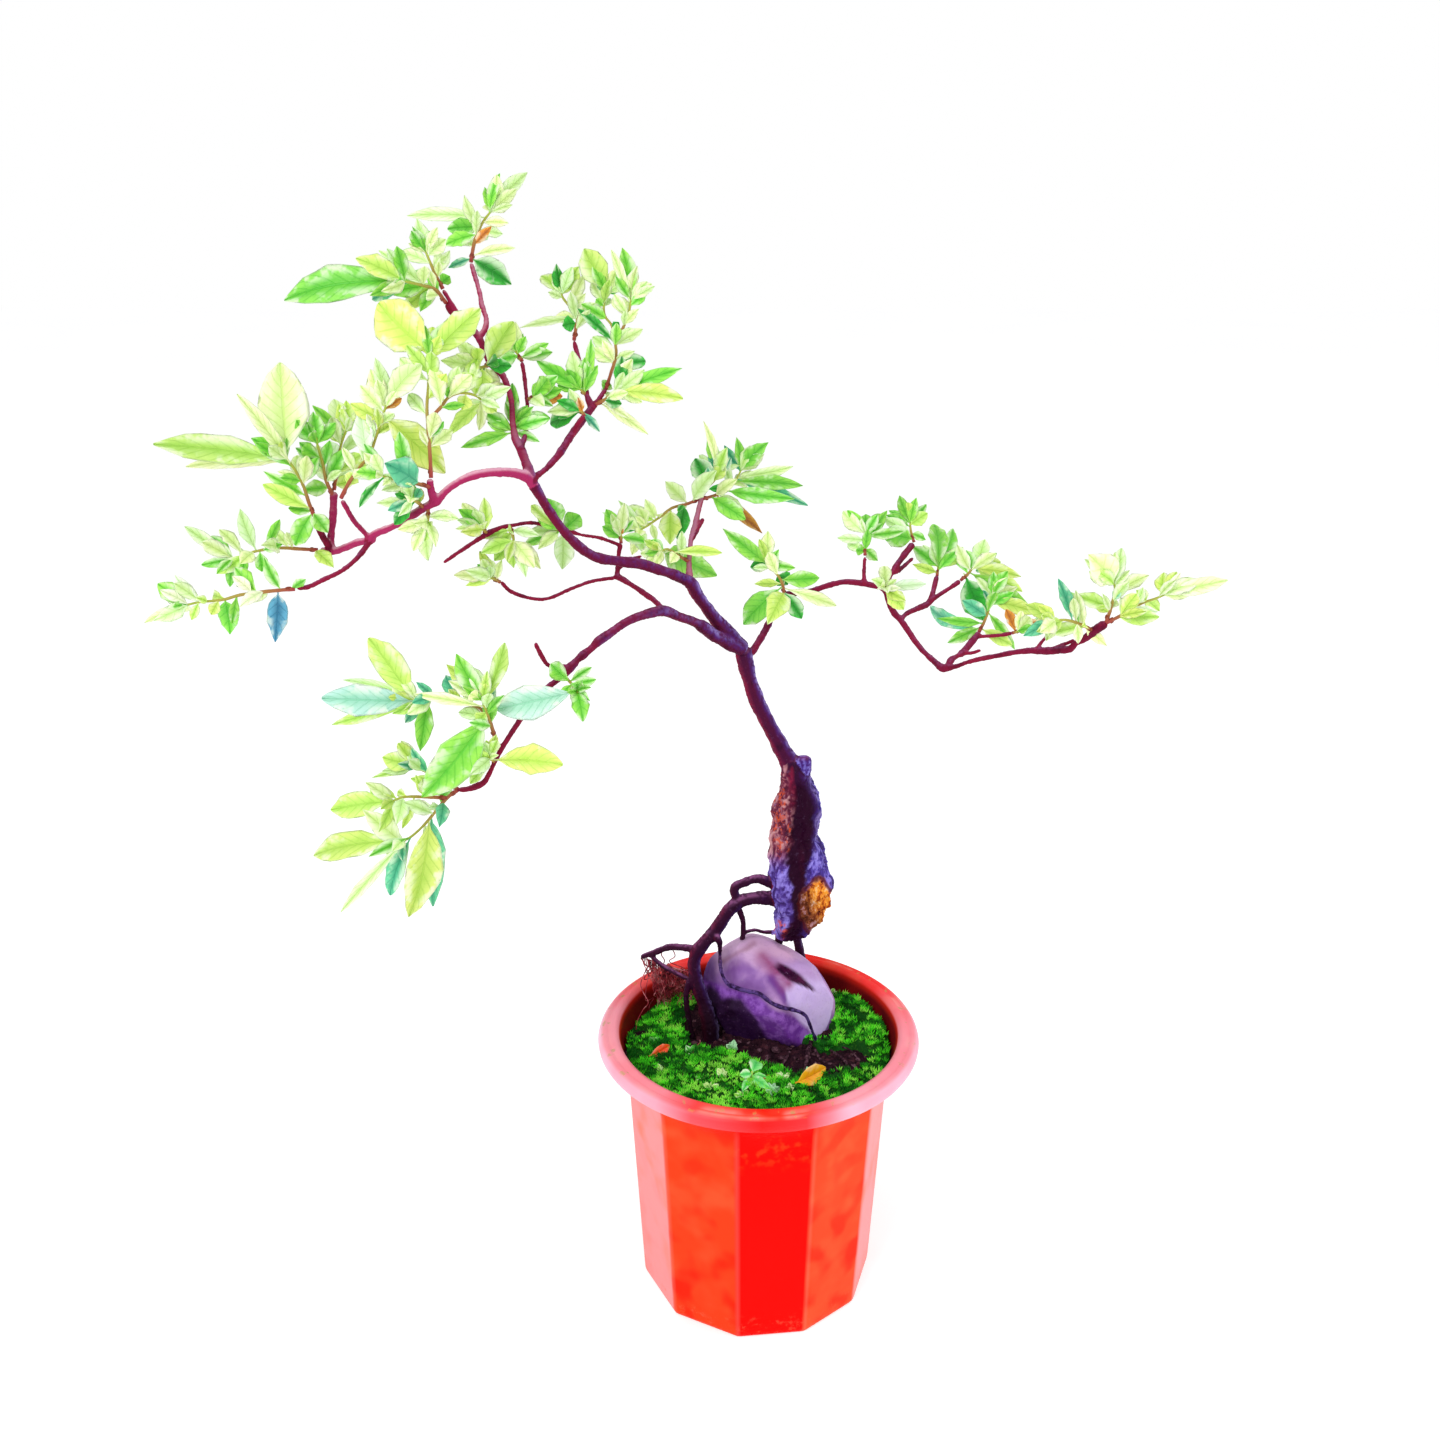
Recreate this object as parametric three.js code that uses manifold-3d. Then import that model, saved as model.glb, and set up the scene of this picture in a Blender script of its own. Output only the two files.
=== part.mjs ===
// An azalea bonsai: a bare trunk on exposed roots over a stone, in a twelve-sided plastic pot.
// Millimetres, +Z up, origin at the middle of the pot's underside, the front of the tree towards -Y.
import * as THREE from 'three';
import Module from 'manifold-3d';

const wasm = await Module();
wasm.setup();

// Pot
const POT_HEIGHT = 162.5;
const POT_PANELS = 12;
const POT_STEPS_PER_PANEL = 2;
const POT_PANEL_TURN = THREE.MathUtils.degToRad(-10);
const POT_BASE_RADIUS = 66.8;
const POT_NECK_RADIUS = 74.5;
const POT_NECK_HEIGHT = 145;
const POT_RIM_RADIUS = 90;
const POT_MOUTH_RADIUS = 78;
const POT_WALL = 2.6;
const POT_FLOOR = 5;

// Soil and what lies in it
const SOIL_LEVEL = 150;
const SOIL_EDGE_DROP = 3;
const SOIL_RINGS = [1, 0.84, 0.66, 0.48, 0.3, 0.14];
const CLEARANCE = 0.3;

// Leaves and twigs
const BLADE_THICKNESS = 0.7;
const BLADE_MIN_WIDTH = 2.6;
const BLADE_FOLD = 0.22;
const BLADE_ARCH = 0.1;
const BLADE_SINK = 0.9;
const BLADE_MARGIN = 0.35;
const BLADE_SPACING = 1.3;
const TINY_LEAF_AREA = 70;
const SMALL_LEAF = 15;
const LARGE_LEAF = 30;
const LEAF_STATIONS = {
  small: [[0.45, 1]],
  middle: [[0.3, 0.9], [0.66, 0.86]],
  large: [[0.2, 0.72], [0.48, 1], [0.77, 0.66]],
};
const SHOOT_BASE_RADIUS = 1.25;
const SHOOT_TIP_RADIUS = 0.85;
const SHOOT_SIDES = 4;
const TIP_DEPTHS = [0.15, -0.15, 0.35, -0.35, 0, 0.55, -0.55, 0.8, -0.8, 1.1, -1.1, 1.5, -1.5];
const SHRINKS = [1, 0.8, 0.6];
const NEAR_WOOD = 6;
const NEAR_WOOD_CROSSING = 1;
const FIRST_LEAF = 2.6;
const LITTLE_CROSSING = 0.5;
const ROUTE_TOLERANCE = 0.8;

// The eye from which the tree's points were read: across and down in a square of 1440, then real depth
const EYE = new THREE.Vector3(-21.5, -730, 619.5);
const EYE_PITCH = THREE.MathUtils.degToRad(20.6);
const EYE_FOCAL = 1500;
const EYE_CENTRE = 720;
const EYE_FORWARD = new THREE.Vector3(0, Math.cos(EYE_PITCH), -Math.sin(EYE_PITCH));
const EYE_UP = new THREE.Vector3(0, Math.sin(EYE_PITCH), Math.cos(EYE_PITCH));
const EYE_RIGHT = new THREE.Vector3(1, 0, 0);

// Lower trunk: across, down, depth, half width
const TRUNK_BASE = [
  [793, 760, 27, 4.5], [795, 768, 27, 7], [797, 780, 28, 8.5], [799, 797, 29, 12], [798, 812, 29, 13],
  [795, 830, 29, 12.6], [796, 848, 29, 15], [798, 866, 29, 16], [801, 884, 29, 17], [801, 898, 29, 16.4],
  [797, 912, 29, 14], [790, 925, 29, 10.5], [784, 935, 29, 5.5], [781, 940, 29, 2.5],
];
const TRUNK_SIDES = 12;

// Roots: across, down, depth, half width
const ROOTS = {
  shoulder_root: [[774, 884, 24, 3], [758, 879, 21, 2.5], [745, 882, 19, 2.3], [735, 887, 18, 2.4],
    [735, 895, 18, 2.2], [742, 902, 18, 2.2]],
  main_root: [[782, 898, 26, 4.6], [766, 898, 23, 3.9], [754, 898, 20, 3.5], [741, 901, 18, 3.6],
    [731, 908, 16, 3.8], [723, 919, 15, 3.7], [715, 931, 14, 3.8], [705, 942, 13, 3.8], [697, 952, 12, 3.7],
    [694, 964, 11, 3.5], [696, 978, 10, 3.7], [700, 992, 9, 4], [705, 1006, 9, 4.3], [709, 1020, 8, 4.8],
    [711, 1036, 8, 5], [712, 1050, 8, 4]],
  left_foot_root: [[696, 972, 11, 1.8], [689, 982, 9, 1.6], [686, 998, 8, 1.5], [688, 1014, 8, 1.5],
    [691, 1030, 8, 1.5], [696, 1044, 8, 1.3]],
  hanging_root: [[737, 903, 18, 2], [740, 912, 20, 1.6], [743, 922, 22, 1.6], [743, 934, 24, 1.4],
    [741, 944, 33, 1.4], [735, 965, 45, 1.4], [732, 985, 50, 1.3], [731, 1000, 52, 1.1]],
  reaching_root: [[699, 950, 13, 2.1], [687, 948, 16, 1.9], [670, 947, 22, 1.8], [656, 952, 28, 1.7],
    [641, 957, 33, 1.5]],
  return_root: [[650, 955, 30, 1.2], [663, 966, 23, 1.3], [676, 973, 17, 1.3], [688, 979, 12, 1.3]],
  cross_root: [[776, 932, 29, 1.3], [764, 932, 27, 1], [754, 930, 25, 1], [743, 933, 24, 1.1]],
  back_root_left: [[781, 932, 29, 2.6], [779, 940, 36, 2.3], [777, 955, 46, 2.2], [775, 970, 54, 2.1],
    [774, 988, 58, 1.8]],
  back_root_right: [[797, 922, 29, 3], [797, 938, 36, 2.5], [800, 951, 46, 2.4], [803, 964, 55, 2.2],
    [805, 980, 60, 1.8]],
};
// The root that runs down the stone's face: across, down, half width
const FACE_ROOT_START = [[712, 932, 14, 2], [719, 941, 10, 1.7]];
const FACE_ROOT = [
  [720, 954, 1.5], [721, 970, 1.5], [727, 983, 1.6], [737, 988, 1.7], [748, 991, 1.7], [760, 994, 1.8],
  [770, 1002, 1.8], [781, 1007, 1.7], [794, 1010, 1.5], [805, 1015, 1.4], [810, 1025, 1.3], [813, 1033, 1.3],
];
const FACE_ROOT_END = [[817, 1042, 2, 1.2], [820, 1052, 3, 1]];
const FACE_ROOT_LIFT = 0.5;

// Stone: its outline as seen, across and down, with its depth and half thickness
const STONE_MIDDLE = [768, 990, 21];
const STONE_HALF_DEPTH = 25;
const STONE_OUTLINE = [
  [836, 1000], [829, 979], [812, 964], [796, 952], [780, 944], [766, 937], [750, 933], [734, 940], [720, 950],
  [708, 961], [701, 974], [702, 990], [712, 1008], [724, 1030], [745, 1055], [772, 1062], [800, 1058],
  [822, 1046], [836, 1022],
];
const STONE_DETAIL = 3;

// Wood above the trunk: across, down, depth, half width
const LIMBS = {
  trunk: [[795, 774, 27, 6], [783, 751, 27, 4.7], [769, 725, 26, 4.4], [757, 701, 25, 4.1], [749, 678, 24, 3.7],
    [746, 664, 23, 4.6], [742, 649, 22, 4.9]],
  left_bough: [[742, 649, 22, 4.6], [730, 635, 18, 4.2], [718, 622, 14, 3.4], [707, 608, 9, 3.1],
    [697, 594, 4, 3], [690, 583, 0, 3], [675, 575, -6, 2.6], [660, 570, -12, 2.5], [640, 564, -19, 2.5],
    [620, 561, -26, 2.5], [600, 558, -33, 2.4], [585, 551, -39, 2.3], [568, 536, -46, 2.2], [552, 515, -52, 2.1],
    [541, 498, -56, 2.2], [533, 484, -58, 2.6]],
  arch: [[533, 484, -58, 2.4], [527, 477, -59, 2.3], [515, 473, -62, 2.1], [500, 472, -66, 1.9],
    [480, 474, -70, 1.8], [462, 480, -73, 1.7], [447, 490, -75, 1.7], [436, 501, -76, 1.9], [420, 510, -75, 1.8],
    [398, 524, -70, 1.6], [375, 534, -62, 1.7], [370, 540, -60, 2], [356, 543, -55, 1.6], [335, 551, -48, 1.6],
    [320, 550, -48, 1.3]],
  arch_riser: [[434, 503, -76, 1.8], [432, 494, -77, 1.8], [430, 485, -78, 1.6], [431, 479, -78, 1.5]],
  left_riser: [[333, 551, -48, 1.6], [331, 540, -46, 1.5], [333, 515, -43, 1.6], [334, 492, -40, 1.7]],
  left_dark: [[330, 549, -48, 1.4], [322, 535, -50, 1.3], [314, 517, -53, 1.4]],
  left_yellow: [[370, 538, -60, 1.3], [362, 530, -62, 1.1], [354, 521, -64, 1.1], [347, 509, -66, 1],
    [342, 500, -67, 1.3]],
  left_low: [[370, 541, -60, 1.3], [358, 557, -68, 1.1], [343, 570, -75, 1], [325, 579, -80, 1],
    [308, 587, -83, 1], [297, 588, -84, 1.1]],
  upstem: [[533, 482, -58, 2.4], [528, 468, -56, 2.2], [521, 450, -53, 1.9], [516, 440, -50, 1.8],
    [513, 425, -46, 1.4], [511, 399, -41, 1.3], [503, 376, -37, 1.5], [491, 364, -35, 1.6], [484, 350, -33, 1.4],
    [479, 338, -32, 1.6], [464, 319, -28, 1.5], [459, 315, -27, 1.5]],
  upstem_stub: [[459, 317, -27, 1.3], [451, 312, -28, 1.2], [446, 304, -29, 1]],
  crown_twig: [[459, 316, -27, 1.2], [451, 303, -28, 1], [443, 290, -29, 1]],
  apex_twig: [[479, 338, -32, 1.4], [485, 329, -30, 1.3], [486, 318, -27, 1.1], [482, 306, -24, 1.2],
    [479, 290, -20, 1], [471, 263, -13, 1.1]],
  mottled_twig: [[521, 449, -53, 1.2], [526, 432, -42, 1], [528, 415, -32, 0.9], [525, 382, -20, 0.9],
    [522, 362, -14, 0.9]],
  crown_right: [[533, 481, -58, 1.8], [538, 475, -54, 1.3], [546, 469, -50, 1.2], [560, 453, -42, 1.7],
    [572, 434, -32, 1.8], [587, 414, -19, 1.8], [592, 408, -15, 1.9]],
  crown_right_side: [[571, 436, -33, 1.1], [577, 425, -31, 1.1], [584, 416, -29, 1.2]],
  crown_right_up: [[592, 409, -15, 1.6], [587, 395, -8, 1.3], [583, 375, 0, 1.1], [574, 341, 14, 1]],
  crown_right_top: [[592, 409, -15, 1.4], [600, 398, -10, 1.2], [606, 389, -4, 1]],
  low_bough: [[742, 649, 20, 4], [728, 643, 14, 3.4], [715, 636, 8, 3.2], [706, 629, 3, 3.3],
    [692, 621, -5, 2.4], [680, 617, -12, 2.3], [665, 611, -20, 2.6], [650, 613, -28, 2.3], [628, 621, -39, 2],
    [612, 632, -46, 2], [600, 640, -51, 2.3], [592, 648, -54, 1.7], [583, 655, -57, 2], [577, 660, -59, 1.5],
    [571, 667, -61, 2.2], [560, 678, -64, 1.5], [540, 694, -69, 1.3], [520, 720, -73, 1.2], [502, 748, -77, 1.2],
    [490, 772, -78, 1.1], [484, 782, -78, 1.3], [477, 786, -77, 1.6], [468, 789, -76, 1.3], [458, 790, -75, 1.2]],
  low_spur: [[568, 668, -61, 1.8], [560, 667, -62, 1.4], [550, 666, -64, 1], [544, 660, -66, 1],
    [535, 643, -71, 1.1]],
  low_riser: [[502, 750, -77, 1.2], [497, 746, -77, 1.1], [495, 738, -78, 1]],
  mid_bough: [[664, 611, -20, 1.6], [655, 601, -16, 1.3], [645, 594, -12, 1.4], [632, 585, -7, 1.2],
    [620, 578, -2, 1.6], [616, 576, 0, 1.7]],
  mid_riser: [[617, 575, 0, 1.3], [618, 565, 2, 1.1], [619, 552, 5, 1.1], [621, 544, 7, 1.3]],
  mid_spur: [[619, 568, 2, 1], [630, 560, 6, 0.9], [642, 556, 10, 0.8]],
  mid_whip: [[614, 578, 0, 1], [593, 581, -8, 0.9], [573, 588, -16, 0.9], [550, 598, -24, 0.9],
    [536, 599, -28, 0.9], [522, 596, -32, 0.9], [510, 591, -35, 0.9], [501, 582, -37, 1]],
  cross_whip: [[620, 545, 6, 1], [600, 538, -2, 0.9], [582, 535, -10, 0.9], [565, 530, -16, 1.1],
    [534, 523, -26, 0.9], [515, 525, -32, 0.9], [500, 528, -36, 1], [487, 534, -40, 1.3], [468, 546, -44, 1],
    [443, 563, -48, 0.8]],
  centre_riser: [[690, 583, 1, 1.8], [689, 565, 10, 1.4], [691, 541, 24, 1.2], [695, 525, 34, 1.4],
    [699, 508, 44, 1.4], [702, 496, 51, 1.3]],
  centre_riser_side: [[692, 540, 25, 1], [698, 529, 33, 1], [703, 519, 42, 1.1]],
  right_bough: [[744, 655, 22, 3], [752, 652, 24, 1.9], [758, 643, 27, 1.8], [768, 625, 33, 1.8],
    [775, 610, 37, 1.6], [783, 597, 40, 1.7], [796, 593, 42, 1.5], [811, 591, 42, 1.5], [833, 584, 40, 1.5],
    [850, 582, 38, 1.5], [876, 586, 33, 1.5], [884, 590, 31, 1.3], [888, 600, 29, 1.4], [893, 611, 27, 1.7],
    [902, 622, 23, 1.6], [915, 641, 16, 1.4], [925, 653, 11, 1.4], [935, 662, 6, 1.6], [942, 668, 2, 2],
    [948, 668, 0, 1.9]],
  right_nub: [[876, 586, 33, 1.1], [882, 584, 34, 1], [883, 575, 36, 0.9]],
  right_post: [[865, 583, 35, 1.2], [864, 574, 38, 1], [865, 557, 43, 1]],
  right_fork: [[884, 589, 31, 1.3], [888, 580, 35, 1.2], [893, 571, 40, 1.3], [899, 562, 45, 1.6],
    [913, 544, 55, 1.7]],
  right_fork_side: [[892, 573, 39, 1.2], [899, 570, 44, 1.2], [913, 558, 57, 1]],
  right_rise: [[901, 620, 24, 1.4], [906, 614, 28, 1.3], [914, 610, 32, 1.3], [928, 604, 40, 1.7]],
  right_rise_up: [[928, 604, 40, 1.5], [932, 595, 44, 1.3], [937, 576, 53, 1.3]],
  right_rise_out: [[928, 604, 40, 1.4], [936, 597, 42, 1.2], [950, 588, 46, 1.1], [960, 581, 50, 1.4]],
  right_twig: [[948, 667, 0, 1.7], [951, 660, 4, 1.6], [957, 656, 8, 1.2], [963, 652, 12, 1.7],
    [975, 638, 21, 1.6], [979, 633, 25, 1.3]],
  right_twig_side: [[963, 653, 12, 1], [972, 653, 10, 0.9], [981, 650, 8, 0.9]],
  right_twig_out: [[976, 637, 22, 1], [990, 636, 24, 0.9], [1002, 635, 25, 1], [1012, 633, 26, 1.1]],
  far_bough: [[948, 668, 0, 1.6], [957, 666, -4, 1.1], [968, 662, -8, 1.1], [980, 659, -12, 1.2],
    [995, 656, -17, 1.2], [1025, 651, -27, 1.5], [1048, 651, -35, 1.9], [1060, 650, -39, 1.6],
    [1070, 649, -42, 1.7], [1076, 643, -44, 1.3], [1083, 640, -46, 1.6], [1094, 631, -49, 2],
    [1106, 623, -52, 1.9]],
  far_nub: [[1037, 650, -31, 1], [1040, 644, -30, 0.9], [1048, 635, -28, 0.8]],
  far_side: [[1050, 650, -35, 1], [1062, 645, -37, 0.9], [1075, 640, -39, 0.9]],
};

// Shoots: stems as across, down, depth; leaves as place along the stem, tip across, tip down, width seen
const SHOOTS = {
  apex: [{ stem: [[471, 262, -13], [473, 249, -10], [476, 237, -5], [483, 222, 2], [492, 210, 8]],
    leaves: [[1, 528, 172, 16], [0.97, 500, 173, 9], [0.3, 492, 226, 8], [0.12, 516, 248, 9], [0.02, 512, 285, 24],
      [0.05, 448, 268, 7], [0.5, 443, 246, 13], [0.65, 447, 229, 17], [0.85, 406, 216, 12]] }],
  crown_left: [{ stem: [[443, 289, -29], [436, 276, -29], [430, 262, -28], [425, 250, -26]],
    leaves: [[0.95, 412, 226, 9], [0.9, 446, 239, 14], [0.2, 450, 276, 11], [0.5, 407, 279, 9], [0.25, 404, 309, 18],
      [0.6, 447, 256, 11]] }],
  top_left: [{ stem: [[446, 303, -29], [436, 290, -34], [425, 286, -37], [412, 283, -42], [402, 281, -46]],
    leaves: [[1, 355, 258, 22], [0.97, 283, 301, 36], [0.9, 372, 300, 14], [0.6, 378, 250, 15],
      [0.35, 420, 312, 12]] }],
  big_pair: [
    { stem: [[431, 478, -78], [430, 455, -76], [428, 430, -72], [427, 405, -68], [429, 378, -64], [430, 352, -60]],
      leaves: [[1, 378, 302, 46], [1, 481, 308, 27], [0.98, 425, 325, 8]] },
    { stem: [[428, 427, -72], [434, 415, -70], [441, 407, -67], [449, 397, -62], [460, 393, -57], [474, 395, -52],
      [484, 402, -49]],
      leaves: [[0.6, 474, 374, 20], [0.9, 498, 386, 15], [1, 446, 438, 13], [1, 497, 412, 12], [0.45, 452, 386, 7],
        [0.75, 462, 410, 16]] }],
  left_pale: [{ stem: [[341, 498, -67], [350, 481, -68], [361, 466, -69], [371, 451, -70], [384, 412, -69],
    [387, 402, -68]],
    leaves: [[1, 422, 364, 26], [1, 375, 357, 13], [0.97, 360, 385, 14], [0.93, 446, 474, 34], [0.9, 350, 403, 13],
      [0.5, 361, 412, 20], [0.3, 342, 447, 8], [0.15, 354, 472, 12], [1, 402, 398, 8]] }],
  left_middle: [{ stem: [[334, 490, -40], [336, 478, -39], [338, 462, -38], [341, 445, -36], [347, 428, -34]],
    leaves: [[1, 346, 400, 14], [0.8, 334, 399, 21], [0.35, 329, 441, 20], [0.15, 313, 466, 12], [0.1, 355, 480, 12],
      [0.9, 312, 405, 9], [0.6, 362, 432, 10]] }],
  left_green: [{ stem: [[333, 496, -41], [326, 480, -45], [323, 465, -47], [319, 450, -49], [316, 440, -50]],
    leaves: [[1, 313, 411, 16], [0.75, 299, 442, 11], [0.55, 330, 440, 10], [0.2, 303, 490, 14]] }],
  left_big: [{ stem: [[314, 516, -53], [309, 503, -53], [303, 485, -54], [295, 470, -55], [285, 456, -56]],
    leaves: [[1, 280, 361, 46], [0.98, 151, 444, 28], [0.97, 184, 467, 16], [0.95, 236, 393, 15], [0.9, 255, 442, 10],
      [0.35, 263, 471, 11], [0.14, 262, 484, 14], [0.1, 288, 508, 10], [0.06, 295, 546, 20], [0.05, 328, 533, 14]] }],
  far_left: [{ stem: [[318, 550, -49], [300, 549, -51], [280, 548, -54], [257, 551, -58], [242, 556, -60],
    [229, 560, -61]],
    leaves: [[0.7, 240, 508, 13], [1, 184, 526, 11], [1, 201, 565, 8], [0.78, 216, 574, 11], [0.68, 283, 544, 8],
      [0.66, 280, 519, 8], [0.7, 262, 572, 11], [0.05, 334, 568, 15]] }],
  low_left: [{ stem: [[295, 589, -85], [282, 590, -86], [262, 592, -88], [240, 595, -90], [222, 600, -92],
    [200, 602, -94], [183, 606, -96]],
    leaves: [[1, 144, 623, 8], [0.65, 230, 635, 20], [0.7, 211, 615, 10], [0.15, 264, 557, 11], [0.17, 275, 643, 20],
      [0.05, 306, 579, 8], [0.4, 232, 576, 10]] }],
  teal: [{ stem: [[430, 487, -79], [410, 482, -84], [392, 479, -88], [380, 475, -90]],
    leaves: [[0.25, 384, 463, 30], [0.35, 403, 501, 24], [0.5, 399, 431, 13], [1, 356, 472, 15],
      [0.95, 359, 508, 8]] }],
  arch_spray: [{ stem: [[424, 508, -76], [417, 502, -80], [410, 500, -84]],
    leaves: [[1, 376, 503, 9], [0.95, 387, 505, 8], [0.85, 394, 525, 12], [0.4, 421, 488, 8]] }],
  arch_low: [{ stem: [[428, 508, -76], [428, 518, -78], [427, 524, -80]],
    leaves: [[1, 425, 541, 15], [0.5, 459, 519, 9], [0.9, 411, 534, 9]] }],
  mottled: [{ stem: [[522, 361, -14], [519, 356, -12], [515, 350, -10]],
    leaves: [[0.15, 553, 352, 11], [0.4, 549, 343, 9], [0.8, 499, 361, 12], [1, 510, 338, 9], [0.9, 526, 336, 9],
      [1, 502, 347, 8]] }],
  upper_middle: [{ stem: [[490, 364, -35], [483, 367, -40], [476, 368, -44]],
    leaves: [[0.4, 514, 321, 28], [1, 456, 355, 11], [0.9, 473, 349, 9], [0.8, 480, 394, 20], [0.4, 512, 366, 12],
      [0.5, 498, 392, 13], [1, 455, 382, 12]] }],
  dead_top: [{ stem: [[527, 400, -26], [531, 398, -27], [534, 398, -28]], leaves: [[1, 563, 396, 14]] }],
  centre_green: [{ stem: [[514, 434, -48], [512, 428, -42], [516, 420, -38]],
    leaves: [[0.2, 460, 448, 11], [0.4, 487, 422, 9], [0.7, 505, 402, 8], [0.95, 511, 406, 8], [0.7, 550, 418, 11],
      [0.9, 534, 406, 8], [0.4, 540, 442, 8]] }],
  crown_spray: [{ stem: [[574, 340, 14], [576, 328, 18], [577, 318, 22], [570, 307, 26], [563, 298, 29],
    [561, 291, 31]],
    leaves: [[0.35, 562, 326, 13], [0.45, 519, 328, 8], [0.5, 596, 303, 8], [0.65, 586, 293, 8], [1, 579, 266, 18],
      [0.9, 548, 292, 7]] }],
  crown_tall: [
    { stem: [[606, 389, -4], [611, 373, 2], [616, 356, 9], [615, 342, 14], [612, 326, 20], [605, 316, 24],
      [604, 303, 28], [609, 289, 32]],
      leaves: [[0.1, 603, 390, 11], [0.45, 643, 329, 9], [0.47, 577, 308, 9], [0.6, 619, 322, 7], [0.85, 596, 299, 8],
        [1, 584, 248, 27]] },
    { stem: [[615, 344, 14], [623, 328, 18], [629, 312, 22], [631, 297, 26]],
      leaves: [[1, 622, 247, 18], [1, 655, 286, 8], [0.95, 611, 249, 8], [0.5, 637, 311, 7]] }],
  crown_low: [{ stem: [[587, 396, -8], [583, 392, -8], [579, 388, -7]],
    leaves: [[1, 536, 360, 15], [0.9, 591, 338, 9], [0.6, 598, 365, 10], [1, 573, 370, 10]] }],
  right_pair: [{ stem: [[595, 405, -14], [604, 400, -12], [612, 394, -9], [620, 390, -6]],
    leaves: [[1, 683, 368, 13], [1, 684, 399, 19], [0.4, 622, 404, 10], [0.3, 629, 418, 8], [0.25, 649, 435, 9]] }],
  right_dark: [{ stem: [[584, 416, -29], [582, 412, -28], [578, 411, -28]],
    leaves: [[0.9, 550, 424, 19], [1, 553, 408, 13], [0.6, 572, 401, 8], [0.3, 600, 432, 7], [0.7, 578, 397, 7]] }],
  heart: [{ stem: [[565, 530, -16], [562, 531, -18], [558, 531, -20]],
    leaves: [[1, 547, 498, 21], [0.6, 580, 515, 19], [1, 531, 505, 9], [1, 523, 545, 11], [0.7, 562, 570, 21]] }],
  whip_up: [{ stem: [[487, 534, -40], [484, 530, -42], [481, 528, -43]],
    leaves: [[1, 458, 509, 13], [0.8, 484, 497, 11], [1, 455, 529, 7]] }],
  whip_down: [{ stem: [[510, 526, -34], [513, 536, -37], [514, 543, -38]],
    leaves: [[0.35, 482, 538, 8], [0.5, 498, 547, 10], [1, 494, 561, 12], [0.95, 526, 578, 11],
      [0.5, 540, 536, 9]] }],
  whip_end: [{ stem: [[500, 582, -37], [494, 579, -39], [489, 577, -40]],
    leaves: [[1, 477, 564, 11], [0.9, 465, 586, 8], [0.8, 488, 558, 8], [0.5, 502, 560, 8]] }],
  bud: [{ stem: [[621, 543, 7], [621, 537, 9], [621, 533, 10]],
    leaves: [[0.6, 602, 526, 11], [0.8, 646, 542, 10], [1, 622, 524, 7]] }],
  middle_left: [{ stem: [[699, 499, 50], [687, 504, 46], [672, 508, 42], [660, 517, 38], [647, 526, 33],
    [637, 532, 29]],
    leaves: [[0.45, 670, 545, 21], [0.25, 677, 540, 13], [0.9, 624, 523, 13], [0.95, 618, 500, 8], [0.7, 645, 499, 9],
      [0.2, 665, 481, 15], [0.12, 717, 470, 18], [1, 602, 512, 7]] }],
  top_middle: [{ stem: [[702, 496, 51], [709, 486, 57], [716, 478, 61], [718, 468, 65]],
    leaves: [[1, 707, 439, 12], [1, 703, 420, 7], [0.35, 695, 458, 22], [0.6, 726, 466, 12], [0.8, 731, 457, 8]] }],
  top_right: [{ stem: [[702, 499, 50], [716, 495, 55], [728, 489, 60], [737, 478, 65], [742, 468, 69]],
    leaves: [[1, 769, 442, 17], [1, 724, 445, 8], [0.85, 794, 466, 10], [0.75, 804, 486, 12], [0.8, 809, 506, 11],
      [0.5, 796, 499, 15], [0.2, 746, 520, 17], [0.3, 763, 534, 11]] }],
  big_low: [{ stem: [[689, 562, 11], [676, 554, 8], [667, 549, 5], [661, 552, 2]],
    leaves: [[1, 718, 576, 29], [0.6, 723, 553, 10], [1, 651, 540, 8], [0.9, 652, 556, 7]] }],
  beside: [{ stem: [[784, 595, 40], [783, 586, 38], [779, 577, 39], [771, 568, 42], [764, 561, 44]],
    leaves: [[1, 796, 568, 9], [1, 722, 528, 16], [0.95, 750, 567, 11], [0.6, 788, 585, 18], [0.45, 820, 578, 14],
      [0.25, 837, 606, 11], [0.15, 802, 619, 16], [0.12, 767, 625, 23], [0.3, 743, 625, 25], [0.35, 754, 584, 8],
      [0.9, 779, 549, 9]] }],
  right_upper: [{ stem: [[865, 555, 43], [865, 548, 46], [866, 539, 50], [866, 532, 53]],
    leaves: [[0.2, 856, 550, 10], [0.35, 878, 561, 9], [0.7, 837, 538, 8], [1, 847, 510, 9], [1, 904, 531, 9],
      [0.9, 883, 523, 8]] }],
  right_back: [{ stem: [[914, 542, 57], [911, 532, 60], [910, 521, 63]],
    leaves: [[1, 908, 502, 12], [1, 928, 513, 12], [0.8, 886, 515, 9], [0.2, 881, 533, 21], [0.5, 926, 540, 8]] }],
  right_heart: [{ stem: [[937, 576, 53], [938, 569, 57], [938, 565, 59]],
    leaves: [[1, 912, 546, 16], [1, 934, 524, 19], [1, 953, 528, 15], [0.5, 912, 564, 8], [0.6, 957, 551, 9]] }],
  right_crown: [{ stem: [[961, 580, 50], [968, 574, 54], [973, 568, 58], [980, 566, 60]],
    leaves: [[0.8, 957, 544, 11], [0.9, 966, 550, 12], [1, 985, 539, 17], [1, 1001, 562, 14], [0.3, 983, 621, 28],
      [1, 1023, 592, 17], [0.6, 1030, 607, 15], [1, 1022, 577, 12]] }],
  right_low: [{ stem: [[979, 632, 26], [985, 620, 31], [990, 606, 35], [993, 595, 38]],
    leaves: [[0.15, 930, 606, 16], [0.2, 947, 643, 10], [0.3, 936, 618, 8], [0.6, 1015, 650, 9], [0.2, 1013, 646, 11],
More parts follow.
